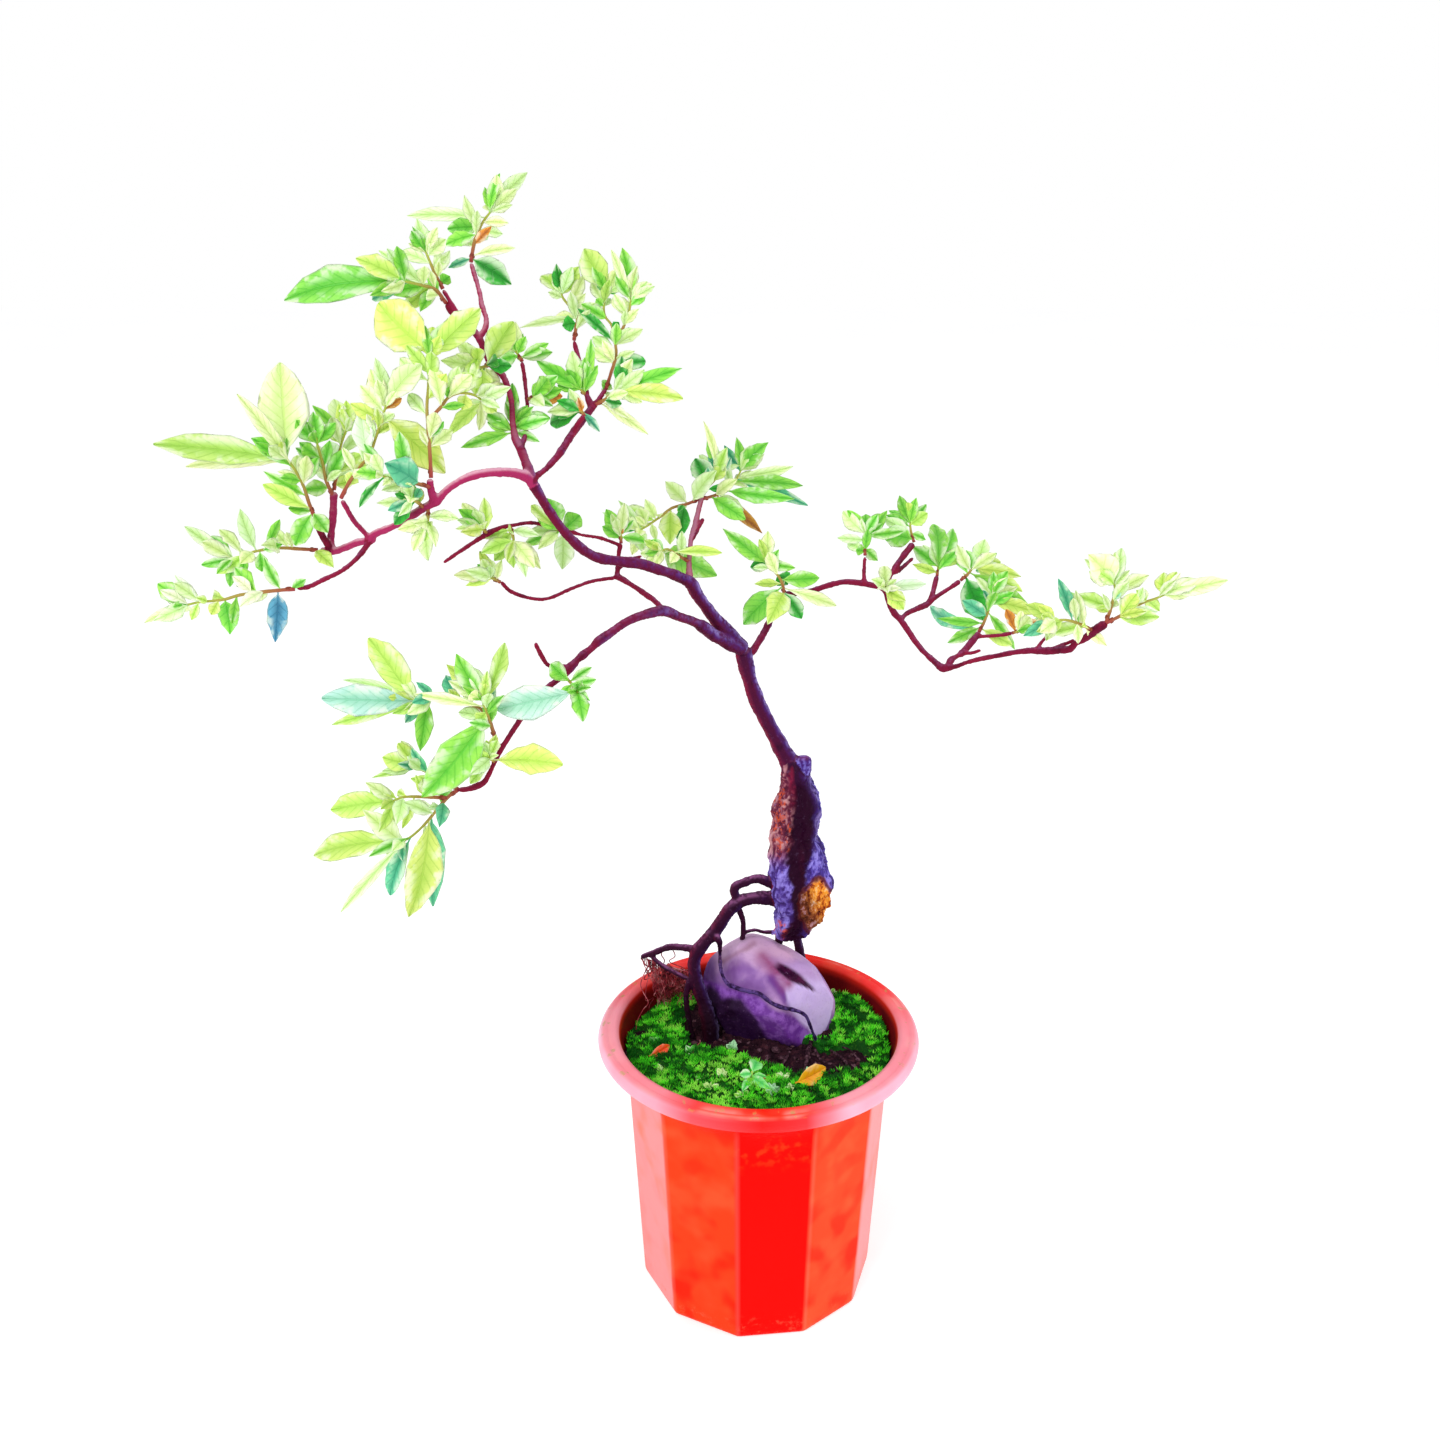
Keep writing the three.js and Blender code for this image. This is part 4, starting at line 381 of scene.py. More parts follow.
LIMBS = named_runs("""
trunk: 795 774 27 6, 783 751 27 4.7, 769 725 26 4.4, 757 701 25 4.1, 749 678 24 3.7, 746 664 23 4.6,
  742 649 22 4.9
left_bough: 742 649 22 4.6, 730 635 18 4.2, 718 622 14 3.4, 707 608 9 3.1, 697 594 4 3, 690 583 0 3,
  675 575 -6 2.6, 660 570 -12 2.5, 640 564 -19 2.5, 620 561 -26 2.5, 600 558 -33 2.4, 585 551 -39 2.3,
  568 536 -46 2.2, 552 515 -52 2.1, 541 498 -56 2.2, 533 484 -58 2.6
arch: 533 484 -58 2.4, 527 477 -59 2.3, 515 473 -62 2.1, 500 472 -66 1.9, 480 474 -70 1.8, 462 480 -73 1.7,
  447 490 -75 1.7, 436 501 -76 1.9, 420 510 -75 1.8, 398 524 -70 1.6, 375 534 -62 1.7, 370 540 -60 2,
  356 543 -55 1.6, 335 551 -48 1.6, 320 550 -48 1.3
arch_riser: 434 503 -76 1.8, 432 494 -77 1.8, 430 485 -78 1.6, 431 479 -78 1.5
left_riser: 333 551 -48 1.6, 331 540 -46 1.5, 333 515 -43 1.6, 334 492 -40 1.7
left_dark: 330 549 -48 1.4, 322 535 -50 1.3, 314 517 -53 1.4
left_yellow: 370 538 -60 1.3, 362 530 -62 1.1, 354 521 -64 1.1, 347 509 -66 1, 342 500 -67 1.3
left_low: 370 541 -60 1.3, 358 557 -68 1.1, 343 570 -75 1, 325 579 -80 1, 308 587 -83 1, 297 588 -84 1.1
upstem: 533 482 -58 2.4, 528 468 -56 2.2, 521 450 -53 1.9, 516 440 -50 1.8, 513 425 -46 1.4,
  511 399 -41 1.3, 503 376 -37 1.5, 491 364 -35 1.6, 484 350 -33 1.4, 479 338 -32 1.6, 464 319 -28 1.5,
  459 315 -27 1.5
upstem_stub: 459 317 -27 1.3, 451 312 -28 1.2, 446 304 -29 1
crown_twig: 459 316 -27 1.2, 451 303 -28 1, 443 290 -29 1
apex_twig: 479 338 -32 1.4, 485 329 -30 1.3, 486 318 -27 1.1, 482 306 -24 1.2, 479 290 -20 1,
  471 263 -13 1.1
mottled_twig: 521 449 -53 1.2, 526 432 -42 1, 528 415 -32 .9, 525 382 -20 .9, 522 362 -14 .9
crown_right: 533 481 -58 1.8, 538 475 -54 1.3, 546 469 -50 1.2, 560 453 -42 1.7, 572 434 -32 1.8,
  587 414 -19 1.8, 592 408 -15 1.9
crown_right_side: 571 436 -33 1.1, 577 425 -31 1.1, 584 416 -29 1.2
crown_right_up: 592 409 -15 1.6, 587 395 -8 1.3, 583 375 0 1.1, 574 341 14 1
crown_right_top: 592 409 -15 1.4, 600 398 -10 1.2, 606 389 -4 1
low_bough: 742 649 20 4, 728 643 14 3.4, 715 636 8 3.2, 706 629 3 3.3, 692 621 -5 2.4, 680 617 -12 2.3,
  665 611 -20 2.6, 650 613 -28 2.3, 628 621 -39 2, 612 632 -46 2, 600 640 -51 2.3, 592 648 -54 1.7,
  583 655 -57 2, 577 660 -59 1.5, 571 667 -61 2.2, 560 678 -64 1.5, 540 694 -69 1.3, 520 720 -73 1.2,
  502 748 -77 1.2, 490 772 -78 1.1, 484 782 -78 1.3, 477 786 -77 1.6, 468 789 -76 1.3, 458 790 -75 1.2
low_spur: 568 668 -61 1.8, 560 667 -62 1.4, 550 666 -64 1, 544 660 -66 1, 535 643 -71 1.1
low_riser: 502 750 -77 1.2, 497 746 -77 1.1, 495 738 -78 1
mid_bough: 664 611 -20 1.6, 655 601 -16 1.3, 645 594 -12 1.4, 632 585 -7 1.2, 620 578 -2 1.6, 616 576 0 1.7
mid_riser: 617 575 0 1.3, 618 565 2 1.1, 619 552 5 1.1, 621 544 7 1.3
mid_spur: 619 568 2 1, 630 560 6 .9, 642 556 10 .8
mid_whip: 614 578 0 1, 593 581 -8 .9, 573 588 -16 .9, 550 598 -24 .9, 536 599 -28 .9, 522 596 -32 .9,
  510 591 -35 .9, 501 582 -37 1
cross_whip: 620 545 6 1, 600 538 -2 .9, 582 535 -10 .9, 565 530 -16 1.1, 534 523 -26 .9, 515 525 -32 .9,
  500 528 -36 1, 487 534 -40 1.3, 468 546 -44 1, 443 563 -48 .8
centre_riser: 690 583 1 1.8, 689 565 10 1.4, 691 541 24 1.2, 695 525 34 1.4, 699 508 44 1.4, 702 496 51 1.3
centre_riser_side: 692 540 25 1, 698 529 33 1, 703 519 42 1.1
right_bough: 744 655 22 3, 752 652 24 1.9, 758 643 27 1.8, 768 625 33 1.8, 775 610 37 1.6, 783 597 40 1.7,
  796 593 42 1.5, 811 591 42 1.5, 833 584 40 1.5, 850 582 38 1.5, 876 586 33 1.5, 884 590 31 1.3,
  888 600 29 1.4, 893 611 27 1.7, 902 622 23 1.6, 915 641 16 1.4, 925 653 11 1.4, 935 662 6 1.6,
  942 668 2 2, 948 668 0 1.9
right_nub: 876 586 33 1.1, 882 584 34 1, 883 575 36 .9
right_post: 865 583 35 1.2, 864 574 38 1, 865 557 43 1
right_fork: 884 589 31 1.3, 888 580 35 1.2, 893 571 40 1.3, 899 562 45 1.6, 913 544 55 1.7
right_fork_side: 892 573 39 1.2, 899 570 44 1.2, 913 558 57 1
right_rise: 901 620 24 1.4, 906 614 28 1.3, 914 610 32 1.3, 928 604 40 1.7
right_rise_up: 928 604 40 1.5, 932 595 44 1.3, 937 576 53 1.3
right_rise_out: 928 604 40 1.4, 936 597 42 1.2, 950 588 46 1.1, 960 581 50 1.4
right_twig: 948 667 0 1.7, 951 660 4 1.6, 957 656 8 1.2, 963 652 12 1.7, 975 638 21 1.6, 979 633 25 1.3
right_twig_side: 963 653 12 1, 972 653 10 .9, 981 650 8 .9
right_twig_out: 976 637 22 1, 990 636 24 .9, 1002 635 25 1, 1012 633 26 1.1
far_bough: 948 668 0 1.6, 957 666 -4 1.1, 968 662 -8 1.1, 980 659 -12 1.2, 995 656 -17 1.2,
  1025 651 -27 1.5, 1048 651 -35 1.9, 1060 650 -39 1.6, 1070 649 -42 1.7, 1076 643 -44 1.3,
  1083 640 -46 1.6, 1094 631 -49 2, 1106 623 -52 1.9
far_nub: 1037 650 -31 1, 1040 644 -30 .9, 1048 635 -28 .8
far_side: 1050 650 -35 1, 1062 645 -37 .9, 1075 640 -39 .9
""")

# Shoots: stem (across, down, depth) / leaves (place, tip across, tip down, width, tone) ; next spray
SHOOTS = named_runs("""
apex: 471 262 -13, 473 249 -10, 476 237 -5, 483 222 2, 492 210 8 / 1 528 172 16 p, .97 500 173 9 g,
  .3 492 226 8 o, .12 516 248 9 p, .02 512 285 24 d, .05 448 268 7 t, .5 443 246 13 g, .65 447 229 17 g,
  .85 406 216 12 p
crown_left: 443 289 -29, 436 276 -29, 430 262 -28, 425 250 -26 / .95 412 226 9 g, .9 446 239 14 p,
  .2 450 276 11 g, .5 407 279 9 g, .25 404 309 18 y, .6 447 256 11 p
top_left: 446 303 -29, 436 290 -34, 425 286 -37, 412 283 -42, 402 281 -46 / 1 355 258 22 y,
  .97 283 301 36 g, .9 372 300 14 t, .6 378 250 15 p, .35 420 312 12 g
big_pair: 431 478 -78, 430 455 -76, 428 430 -72, 427 405 -68, 429 378 -64, 430 352 -60 / 1 378 302 46 y,
  1 481 308 27 y, .98 425 325 8 g ; 428 427 -72, 434 415 -70, 441 407 -67, 449 397 -62, 460 393 -57,
  474 395 -52, 484 402 -49 / .6 474 374 20 y, .9 498 386 15 p, 1 446 438 13 y, 1 497 412 12 y,
  .45 452 386 7 g, .75 462 410 16 y
left_pale: 341 498 -67, 350 481 -68, 361 466 -69, 371 451 -70, 384 412 -69, 387 402 -68 / 1 422 364 26 p,
  1 375 357 13 p, .97 360 385 14 p, .93 446 474 34 y, .9 350 403 13 y, .5 361 412 20 w, .3 342 447 8 p,
  .15 354 472 12 y, 1 402 398 8 o
left_middle: 334 490 -40, 336 478 -39, 338 462 -38, 341 445 -36, 347 428 -34 / 1 346 400 14 y,
  .8 334 399 21 p, .35 329 441 20 w, .15 313 466 12 w, .1 355 480 12 y, .9 312 405 9 g, .6 362 432 10 p
left_green: 333 496 -41, 326 480 -45, 323 465 -47, 319 450 -49, 316 440 -50 / 1 313 411 16 g,
  .75 299 442 11 g, .55 330 440 10 g, .2 303 490 14 g
left_big: 314 516 -53, 309 503 -53, 303 485 -54, 295 470 -55, 285 456 -56 / 1 280 361 46 p,
  .98 151 444 28 y, .97 184 467 16 p, .95 236 393 15 p, .9 255 442 10 g, .35 263 471 11 g, .14 262 484 14 y,
  .1 288 508 10 g, .06 295 546 20 g, .05 328 533 14 g
far_left: 318 550 -49, 300 549 -51, 280 548 -54, 257 551 -58, 242 556 -60, 229 560 -61 / .7 240 508 13 p,
  1 184 526 11 p, 1 201 565 8 g, .78 216 574 11 y, .68 283 544 8 g, .66 280 519 8 g, .7 262 572 11 g,
  .05 334 568 15 y
low_left: 295 589 -85, 282 590 -86, 262 592 -88, 240 595 -90, 222 600 -92, 200 602 -94,
  183 606 -96 / 1 144 623 8 p, .65 230 635 20 g, .7 211 615 10 y, .15 264 557 11 g, .17 275 643 20 b,
  .05 306 579 8 g, .4 232 576 10 w
teal: 430 487 -79, 410 482 -84, 392 479 -88, 380 475 -90 / .25 384 463 30 t, .35 403 501 24 g,
  .5 399 431 13 g, 1 356 472 15 g, .95 359 508 8 d
arch_spray: 424 508 -76, 417 502 -80, 410 500 -84 / 1 376 503 9 p, .95 387 505 8 t, .85 394 525 12 d,
  .4 421 488 8 y
arch_low: 428 508 -76, 428 518 -78, 427 524 -80 / 1 425 541 15 y, .5 459 519 9 p, .9 411 534 9 p
mottled: 522 361 -14, 519 356 -12, 515 350 -10 / .15 553 352 11 g, .4 549 343 9 g, .8 499 361 12 g,
  1 510 338 9 g, .9 526 336 9 g, 1 502 347 8 g
upper_middle: 490 364 -35, 483 367 -40, 476 368 -44 / .4 514 321 28 y, 1 456 355 11 y, .9 473 349 9 p,
  .8 480 394 20 y, .4 512 366 12 d, .5 498 392 13 p, 1 455 382 12 y
dead_top: 527 400 -26, 531 398 -27, 534 398 -28 / 1 563 396 14 o
centre_green: 514 434 -48, 512 428 -42, 516 420 -38 / .2 460 448 11 g, .4 487 422 9 g, .7 505 402 8 g,
  .95 511 406 8 g, .7 550 418 11 g, .9 534 406 8 g, .4 540 442 8 g
crown_spray: 574 340 14, 576 328 18, 577 318 22, 570 307 26, 563 298 29, 561 291 31 / .35 562 326 13 d,
  .45 519 328 8 p, .5 596 303 8 p, .65 586 293 8 p, 1 579 266 18 y, .9 548 292 7 p
crown_tall: 606 389 -4, 611 373 2, 616 356 9, 615 342 14, 612 326 20, 605 316 24, 604 303 28,
  609 289 32 / .1 603 390 11 g, .45 643 329 9 p, .47 577 308 9 d, .6 619 322 7 d, .85 596 299 8 g,
  1 584 248 27 y ; 615 344 14, 623 328 18, 629 312 22, 631 297 26 / 1 622 247 18 g, 1 655 286 8 p,
  .95 611 249 8 p, .5 637 311 7 p
crown_low: 587 396 -8, 583 392 -8, 579 388 -7 / 1 536 360 15 g, .9 591 338 9 g, .6 598 365 10 g,
  1 573 370 10 g
right_pair: 595 405 -14, 604 400 -12, 612 394 -9, 620 390 -6 / 1 683 368 13 g, 1 684 399 19 y,
  .4 622 404 10 d, .3 629 418 8 p, .25 649 435 9 p
right_dark: 584 416 -29, 582 412 -28, 578 411 -28 / .9 550 424 19 d, 1 553 408 13 g, .6 572 401 8 o,
  .3 600 432 7 t, .7 578 397 7 o
heart: 565 530 -16, 562 531 -18, 558 531 -20 / 1 547 498 21 g, .6 580 515 19 g, 1 531 505 9 y,
  1 523 545 11 g, .7 562 570 21 p
whip_up: 487 534 -40, 484 530 -42, 481 528 -43 / 1 458 509 13 g, .8 484 497 11 y, 1 455 529 7 p
whip_down: 510 526 -34, 513 536 -37, 514 543 -38 / .35 482 538 8 y, .5 498 547 10 y, 1 494 561 12 y,
  .95 526 578 11 p, .5 540 536 9 p
whip_end: 500 582 -37, 494 579 -39, 489 577 -40 / 1 477 564 11 g, .9 465 586 8 y, .8 488 558 8 p,
  .5 502 560 8 p
bud: 621 543 7, 621 537 9, 621 533 10 / .6 602 526 11 g, .8 646 542 10 g, 1 622 524 7 o
middle_left: 699 499 50, 687 504 46, 672 508 42, 660 517 38, 647 526 33, 637 532 29 / .45 670 545 21 y,
  .25 677 540 13 d, .9 624 523 13 y, .95 618 500 8 p, .7 645 499 9 p, .2 665 481 15 p, .12 717 470 18 p,
  1 602 512 7 w
top_middle: 702 496 51, 709 486 57, 716 478 61, 718 468 65 / 1 707 439 12 g, 1 703 420 7 p,
  .35 695 458 22 d, .6 726 466 12 y, .8 731 457 8 t
top_right: 702 499 50, 716 495 55, 728 489 60, 737 478 65, 742 468 69 / 1 769 442 17 g, 1 724 445 8 t,
  .85 794 466 10 p, .75 804 486 12 g, .8 809 506 11 t, .5 796 499 15 g, .2 746 520 17 g, .3 763 534 11 o
big_low: 689 562 11, 676 554 8, 667 549 5, 661 552 2 / 1 718 576 29 g, .6 723 553 10 y, 1 651 540 8 g,
  .9 652 556 7 p
beside: 784 595 40, 783 586 38, 779 577 39, 771 568 42, 764 561 44 / 1 796 568 9 g, 1 722 528 16 g,
  .95 750 567 11 d, .6 788 585 18 d, .45 820 578 14 g, .25 837 606 11 p, .15 802 619 16 d, .12 767 625 23 y,
  .3 743 625 25 g, .35 754 584 8 y, .9 779 549 9 g
right_upper: 865 555 43, 865 548 46, 866 539 50, 866 532 53 / .2 856 550 10 g, .35 878 561 9 g,
  .7 837 538 8 p, 1 847 510 9 g, 1 904 531 9 g, .9 883 523 8 g
right_back: 914 542 57, 911 532 60, 910 521 63 / 1 908 502 12 y, 1 928 513 12 y, .8 886 515 9 g,
  .2 881 533 21 g, .5 926 540 8 g
right_heart: 937 576 53, 938 569 57, 938 565 59 / 1 912 546 16 g, 1 934 524 19 g, 1 953 528 15 g,
  .5 912 564 8 y, .6 957 551 9 g
right_crown: 961 580 50, 968 574 54, 973 568 58, 980 566 60 / .8 957 544 11 p, .9 966 550 12 g,
  1 985 539 17 p, 1 1001 562 14 y, .3 983 621 28 d, 1 1023 592 17 y, .6 1030 607 15 g, 1 1022 577 12 y
right_low: 979 632 26, 985 620 31, 990 606 35, 993 595 38 / .15 930 606 16 t, .2 947 643 10 g,
  .3 936 618 8 g, .6 1015 650 9 g, .2 1013 646 11 y, .9 1040 614 13 y, 1 1008 571 12 g, .5 962 600 12 t
dead_right: 1012 633 26, 1016 632 26, 1019 631 25 / 1 1040 621 17 o, .7 1006 609 9 o
far_low: 1094 631 -49, 1080 624 -53, 1066 620 -55, 1052 621 -57 / 1 1025 604 13 y, .95 1046 641 9 y,
  .6 1058 578 11 t, .45 1071 592 15 g, .8 1036 632 13 y, .3 1107 646 9 p, .5 1078 644 8 p
far_tall: 1106 623 -52, 1110 611 -51, 1113 600 -49, 1115 588 -47, 1113 582 -46 / 1 1088 554 31 p,
  .4 1073 595 15 y, 1 1130 570 8 p, .3 1095 606 8 y, .6 1121 589 8 t
far_tip: 1106 623 -52, 1120 616 -52, 1132 608 -50, 1145 602 -48, 1157 598 -46,
  1166 594 -44 / 1 1229 580 16 p, .7 1136 590 11 y, .2 1160 617 17 y, .45 1158 612 8 w, .9 1176 580 8 p
elbow: 883 589 31, 884 588 27, 886 588 23 / 1 904 610 17 y, 1 927 584 10 w
low_left_top: 495 738 -78, 490 722 -80, 486 710 -81, 482 698 -82 / 1 456 653 22 g, 1 446 664 17 y,
  1 505 642 14 y, .97 412 694 10 p, .7 478 723 13 y, .6 421 798 40 g
low_left_fan: 495 738 -78, 489 719 -78, 478 707 -76, 463 703 -74, 449 698 -73, 430 698 -73,
  412 702 -74 / 1 368 637 29 y, 1 320 698 29 m, 1 331 725 11 y, .97 342 680 8 p, .92 420 752 17 g,
  .97 405 723 9 t, .8 416 682 7 t
low_middle: 495 762 -77, 492 760 -81, 490 757 -84 / .6 564 765 31 y, 1 470 784 10 y, 1 486 740 7 y
low_front: 563 675 -63, 570 682 -72, 578 692 -82 / 1 495 709 33 m, .5 592 667 8 g
low_hang: 458 790 -75, 447 798 -76, 436 811 -78, 424 825 -80, 412 836 -82, 400 843 -84 / .55 408 918 36 y,
  .5 433 908 26 t, 1 362 809 21 p, 1 313 856 28 y, .97 390 896 18 t, 1 340 913 10 p,
  1 368 857 10 g ; 447 798 -76, 425 797 -78, 405 797 -80, 390 802 -82 / 1 330 810 26 y, .95 389 825 9 g,
  .9 374 785 7 y, .6 402 829 8 y
low_inner: 459 790 -74, 446 781 -71, 424 771 -68, 412 766 -67 / 1 382 757 19 y, .95 371 778 7 y,
  .4 442 806 16 g, .15 458 750 24 p, .7 410 746 8 t
""")


def draw(seed):
    """A repeatable draw from 0 to 1."""
    wave = math.sin(seed * 12.9898 + 4.1414) * 43758.5453
    return wave - math.floor(wave)


def unit(vector):
    return vector / np.linalg.norm(vector)


def smooth_step(low, high, value):
    part = np.clip((value - low) / (high - low), 0, 1)
    return part * part * (3 - 2 * part)


def step_lengths(points):
    return np.linalg.norm(np.diff(points, axis=0), axis=1)


def bumps(points):
    """Smooth noise at each point."""
    return np.array([noise.noise(Vector(p)) for p in points])


def crumbs(points, roughness, gap, layers):
    """Noise in ever finer layers at each point."""
    return np.array([noise.fractal(Vector(p), roughness, gap, layers) for p in points])


def ground_bumps(x, y, size, level):
    """Smooth noise over spots of the ground, in the spots' own layout."""
    spots = np.column_stack([np.ravel(x) * size, np.ravel(y) * size, np.full(np.size(x), level)])
    return bumps(spots).reshape(np.shape(x))


def linear(text):
    """A colour written as #rrggbb, as the linear numbers that a material takes."""
    parts = [int(text[i:i + 2], 16) / 255 for i in (1, 3, 5)]
    return [p / 12.92 if p <= 0.04045 else ((p + 0.055) / 1.055) ** 2.4 for p in parts]


def solid_colour(text):
    return linear(text) + [1]


def sight_ray(across, down):
    return (EYE_FORWARD + EYE_RIGHT * (across - EYE_CENTRE) / EYE_FOCAL
            + EYE_UP * (EYE_CENTRE - down) / EYE_FOCAL)


def seen_at_depth(across, down, depth):
    ray = sight_ray(across, down)
    return EYE + ray * (depth - EYE[1]) / ray[1]


def seen_at_height(across, down, height):
    ray = sight_ray(across, down)
    return EYE + ray * (height - EYE[2]) / ray[2]


def step_size(point):
    """Millimetres that one step across stands for at a point."""
    return float(np.dot(point - EYE, EYE_FORWARD)) / EYE_FOCAL


def as_seen(points):
    """Across and down at which points are seen."""
    offset = points - EYE
    far = offset @ EYE_FORWARD
    across = EYE_CENTRE + EYE_FOCAL * (offset @ EYE_RIGHT) / far
    down = EYE_CENTRE - EYE_FOCAL * (offset @ EYE_UP) / far
    return across, down


def seen_patch(across, down, patch):
    """One at the middle of a seen patch, none at its edge."""
    middle_across, middle_down, half_across, half_down = patch
    off = np.hypot((across - middle_across) / half_across, (down - middle_down) / half_down)
    return smooth_step(1.0, 0.55, off)


def seen_patches(across, down, text):
    """The most that any of several patches gives."""
    return np.max([seen_patch(across, down, patch) for patch in rows(text)], axis=0)


class Skin:
    """Corners and faces of a mesh in millimetres, with named marks on the corners."""

    def __init__(self):
        self.corners = []
        self.faces = []
        self.marks = {}
        self.count = 0

    def add(self, corners, faces, **marks):
        corners = np.asarray(corners, float).reshape(-1, 3)
        self.faces.extend([tuple(i + self.count for i in face) for face in faces])
        self.corners.append(corners)
        for name, value in marks.items():
            value = np.asarray(value, float)
            if value.shape[:1] != (len(corners),):
                value = np.broadcast_to(value, (len(corners),) + value.shape)
            self.marks.setdefault(name, []).append(value)
        self.count += len(corners)
        return self

    def loft(self, rings, **marks):
        """A closed skin through rings, each end closed on a middle point."""
        rings = np.asarray(rings, float)
        count, sides = rings.shape[:2]
        corners = np.concatenate([rings.reshape(-1, 3), rings[:1].mean(1), rings[-1:].mean(1)])
        faces = []
        for row in range(count - 1):
            for side in range(sides):
                a = row * sides + side
                b = row * sides + (side + 1) % sides
                faces.append((a, b, b + sides, a + sides))
        first = count * sides
        last = first - sides
        for side in range(sides):
            after = (side + 1) % sides
            faces.append((first, after, side))
            faces.append((first + 1, last + side, last + after))
        return self.add(corners, faces, **marks)

    def tube(self, points, radii, sides, **marks):
        """A closed tube about a line of points, turning as little as it can."""
        across = unit(np.array([0.3, 0.9, 0.25]))
        angles = np.arange(sides) * TURN / sides
        rings = []
        for i, point in enumerate(points):
            along = unit(points[min(i + 1, len(points) - 1)] - points[max(i - 1, 0)])
            across = unit(across - along * np.dot(across, along))
            radius = np.broadcast_to(radii[i], (sides,))
            rings.append(point + (radius * np.cos(angles))[:, None] * across
                         + (radius * np.sin(angles))[:, None] * np.cross(along, across))
        return self.loft(rings, **marks)

    def mesh(self, name):
        mesh = bpy.data.meshes.new(name)
        mesh.from_pydata((np.concatenate(self.corners) * MM).tolist(), [], self.faces)
        for mark, values in self.marks.items():
            values = np.concatenate(values).astype(np.float32)
            kind, field = MARK_KINDS[values[0].size]
            mesh.attributes.new(mark, kind, "POINT").data.foreach_set(field, values.ravel())
        tidy = bmesh.new()
        tidy.from_mesh(mesh)
        bmesh.ops.recalc_face_normals(tidy, faces=tidy.faces)
        tidy.to_mesh(mesh)
        tidy.free()
        return mesh


def make_piece(name, skin, material, slot, *nodes):
    """A skin as a piece of the tree that stands for the model's nodes."""
    mesh = skin.mesh(name)
    mesh.materials.append(material)
    mesh.polygons.foreach_set("use_smooth", [True] * len(mesh.polygons))
    piece = bpy.data.objects.new(name, mesh)
    bpy.context.scene.collection.objects.link(piece)
    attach(piece, "root")
    if nodes:
        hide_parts(*nodes)


def smooth_route(points, step, *values):
    """A finer run of points, and of their values, on a smooth curve through the given ones."""
    both = np.column_stack([points, *values])
    ends = [2 * both[0] - both[1], *both, 2 * both[-1] - both[-2]]
    out = []
    for i in range(len(both) - 1):
        p0, p1, p2, p3 = ends[i:i + 4]
        pieces = max(1, math.ceil(np.linalg.norm(p2[:3] - p1[:3]) / step))
        for u in np.arange(pieces) / pieces:
            out.append(0.5 * (2 * p1 + (p2 - p0) * u + (2 * p0 - 5 * p1 + 4 * p2 - p3) * u * u
                              + (3 * p1 - p0 - 3 * p2 + p3) * u ** 3))
    out = np.array(out + [both[-1]])
    return (out[:, :3], *out[:, 3:].T)


def read_route(text):
    """Points and radii of a run of wood, from its readings."""
    readings = rows(text)
    points = np.array([seen_at_depth(*row[:3]) for row in readings])
    return points, np.array([row[3] for row in readings])


def point_along(points, share):
    """The spot and the direction at a share of a line's length."""
    steps = step_lengths(points)
    left = share * steps.sum()
    i = 0
    while left > steps[i] and i < len(steps) - 1:
        left -= steps[i]
        i += 1
    along = unit(points[i + 1] - points[i])
    return points[i] + along * min(left, steps[i]), along


def soil_height(x, y):
    rolling = 1.6 * np.sin(x * 0.09 + 1) * np.cos(y * 0.11) + 0.8 * np.sin(0.23 * x - 0.17 * y)
    return SOIL_LEVEL + rolling - SOIL_EDGE_DROP * (np.hypot(x, y) / 74.5) ** 3


def held_in(point):
    """A point by the soil, brought inside the pot's wall."""
    share = min(1.0, (SOIL_REACH - GROUND_CLEARANCE) / math.hypot(point[0], point[1]))
    return point * [share, share, 1]


def on_soil(across, down, lift):
    flat = seen_at_height(across, down, SOIL_LEVEL + lift)
    return seen_at_height(across, down, float(soil_height(flat[0], flat[1])) + lift)


def ring(reach, angles, height):
    return np.column_stack([reach * np.cos(angles), reach * np.sin(angles), height + 0 * angles])


class Value:
    """One output socket of a finish, which can stand in sums."""

    def __init__(self, finish, socket):
        self.finish = finish
        self.socket = socket

    def sum(self, operation, *parts):
        return self.finish.node("ShaderNodeMath", {"operation": operation}, dict(enumerate(parts)))

    def __add__(self, other):
        return self.sum("ADD", self, other)

    def __radd__(self, other):
        return self.sum("ADD", other, self)

    def __sub__(self, other):
        return self.sum("SUBTRACT", self, other)

    def __rsub__(self, other):
        return self.sum("SUBTRACT", other, self)

    def __mul__(self, other):
        return self.sum("MULTIPLY", self, other)

    def __rmul__(self, other):
        return self.sum("MULTIPLY", other, self)

    def __truediv__(self, other):
        return self.sum("DIVIDE", self, other)

    def __abs__(self):
        return self.sum("ABSOLUTE", self)

    def part(self):
        """What is left after the whole number."""
        return self.sum("FRACT", self)

    def held(self):
        """No less than zero and no more than one."""
        return self.sum("MINIMUM", self.sum("MAXIMUM", self, 0.0), 1.0)

    def rise(self, low, high):
        """Zero below low, one above high, smooth between."""
        return self.finish.node("ShaderNodeMapRange", {"interpolation_type": "SMOOTHSTEP"},
                                {"Value": self, "From Min": low, "From Max": high})


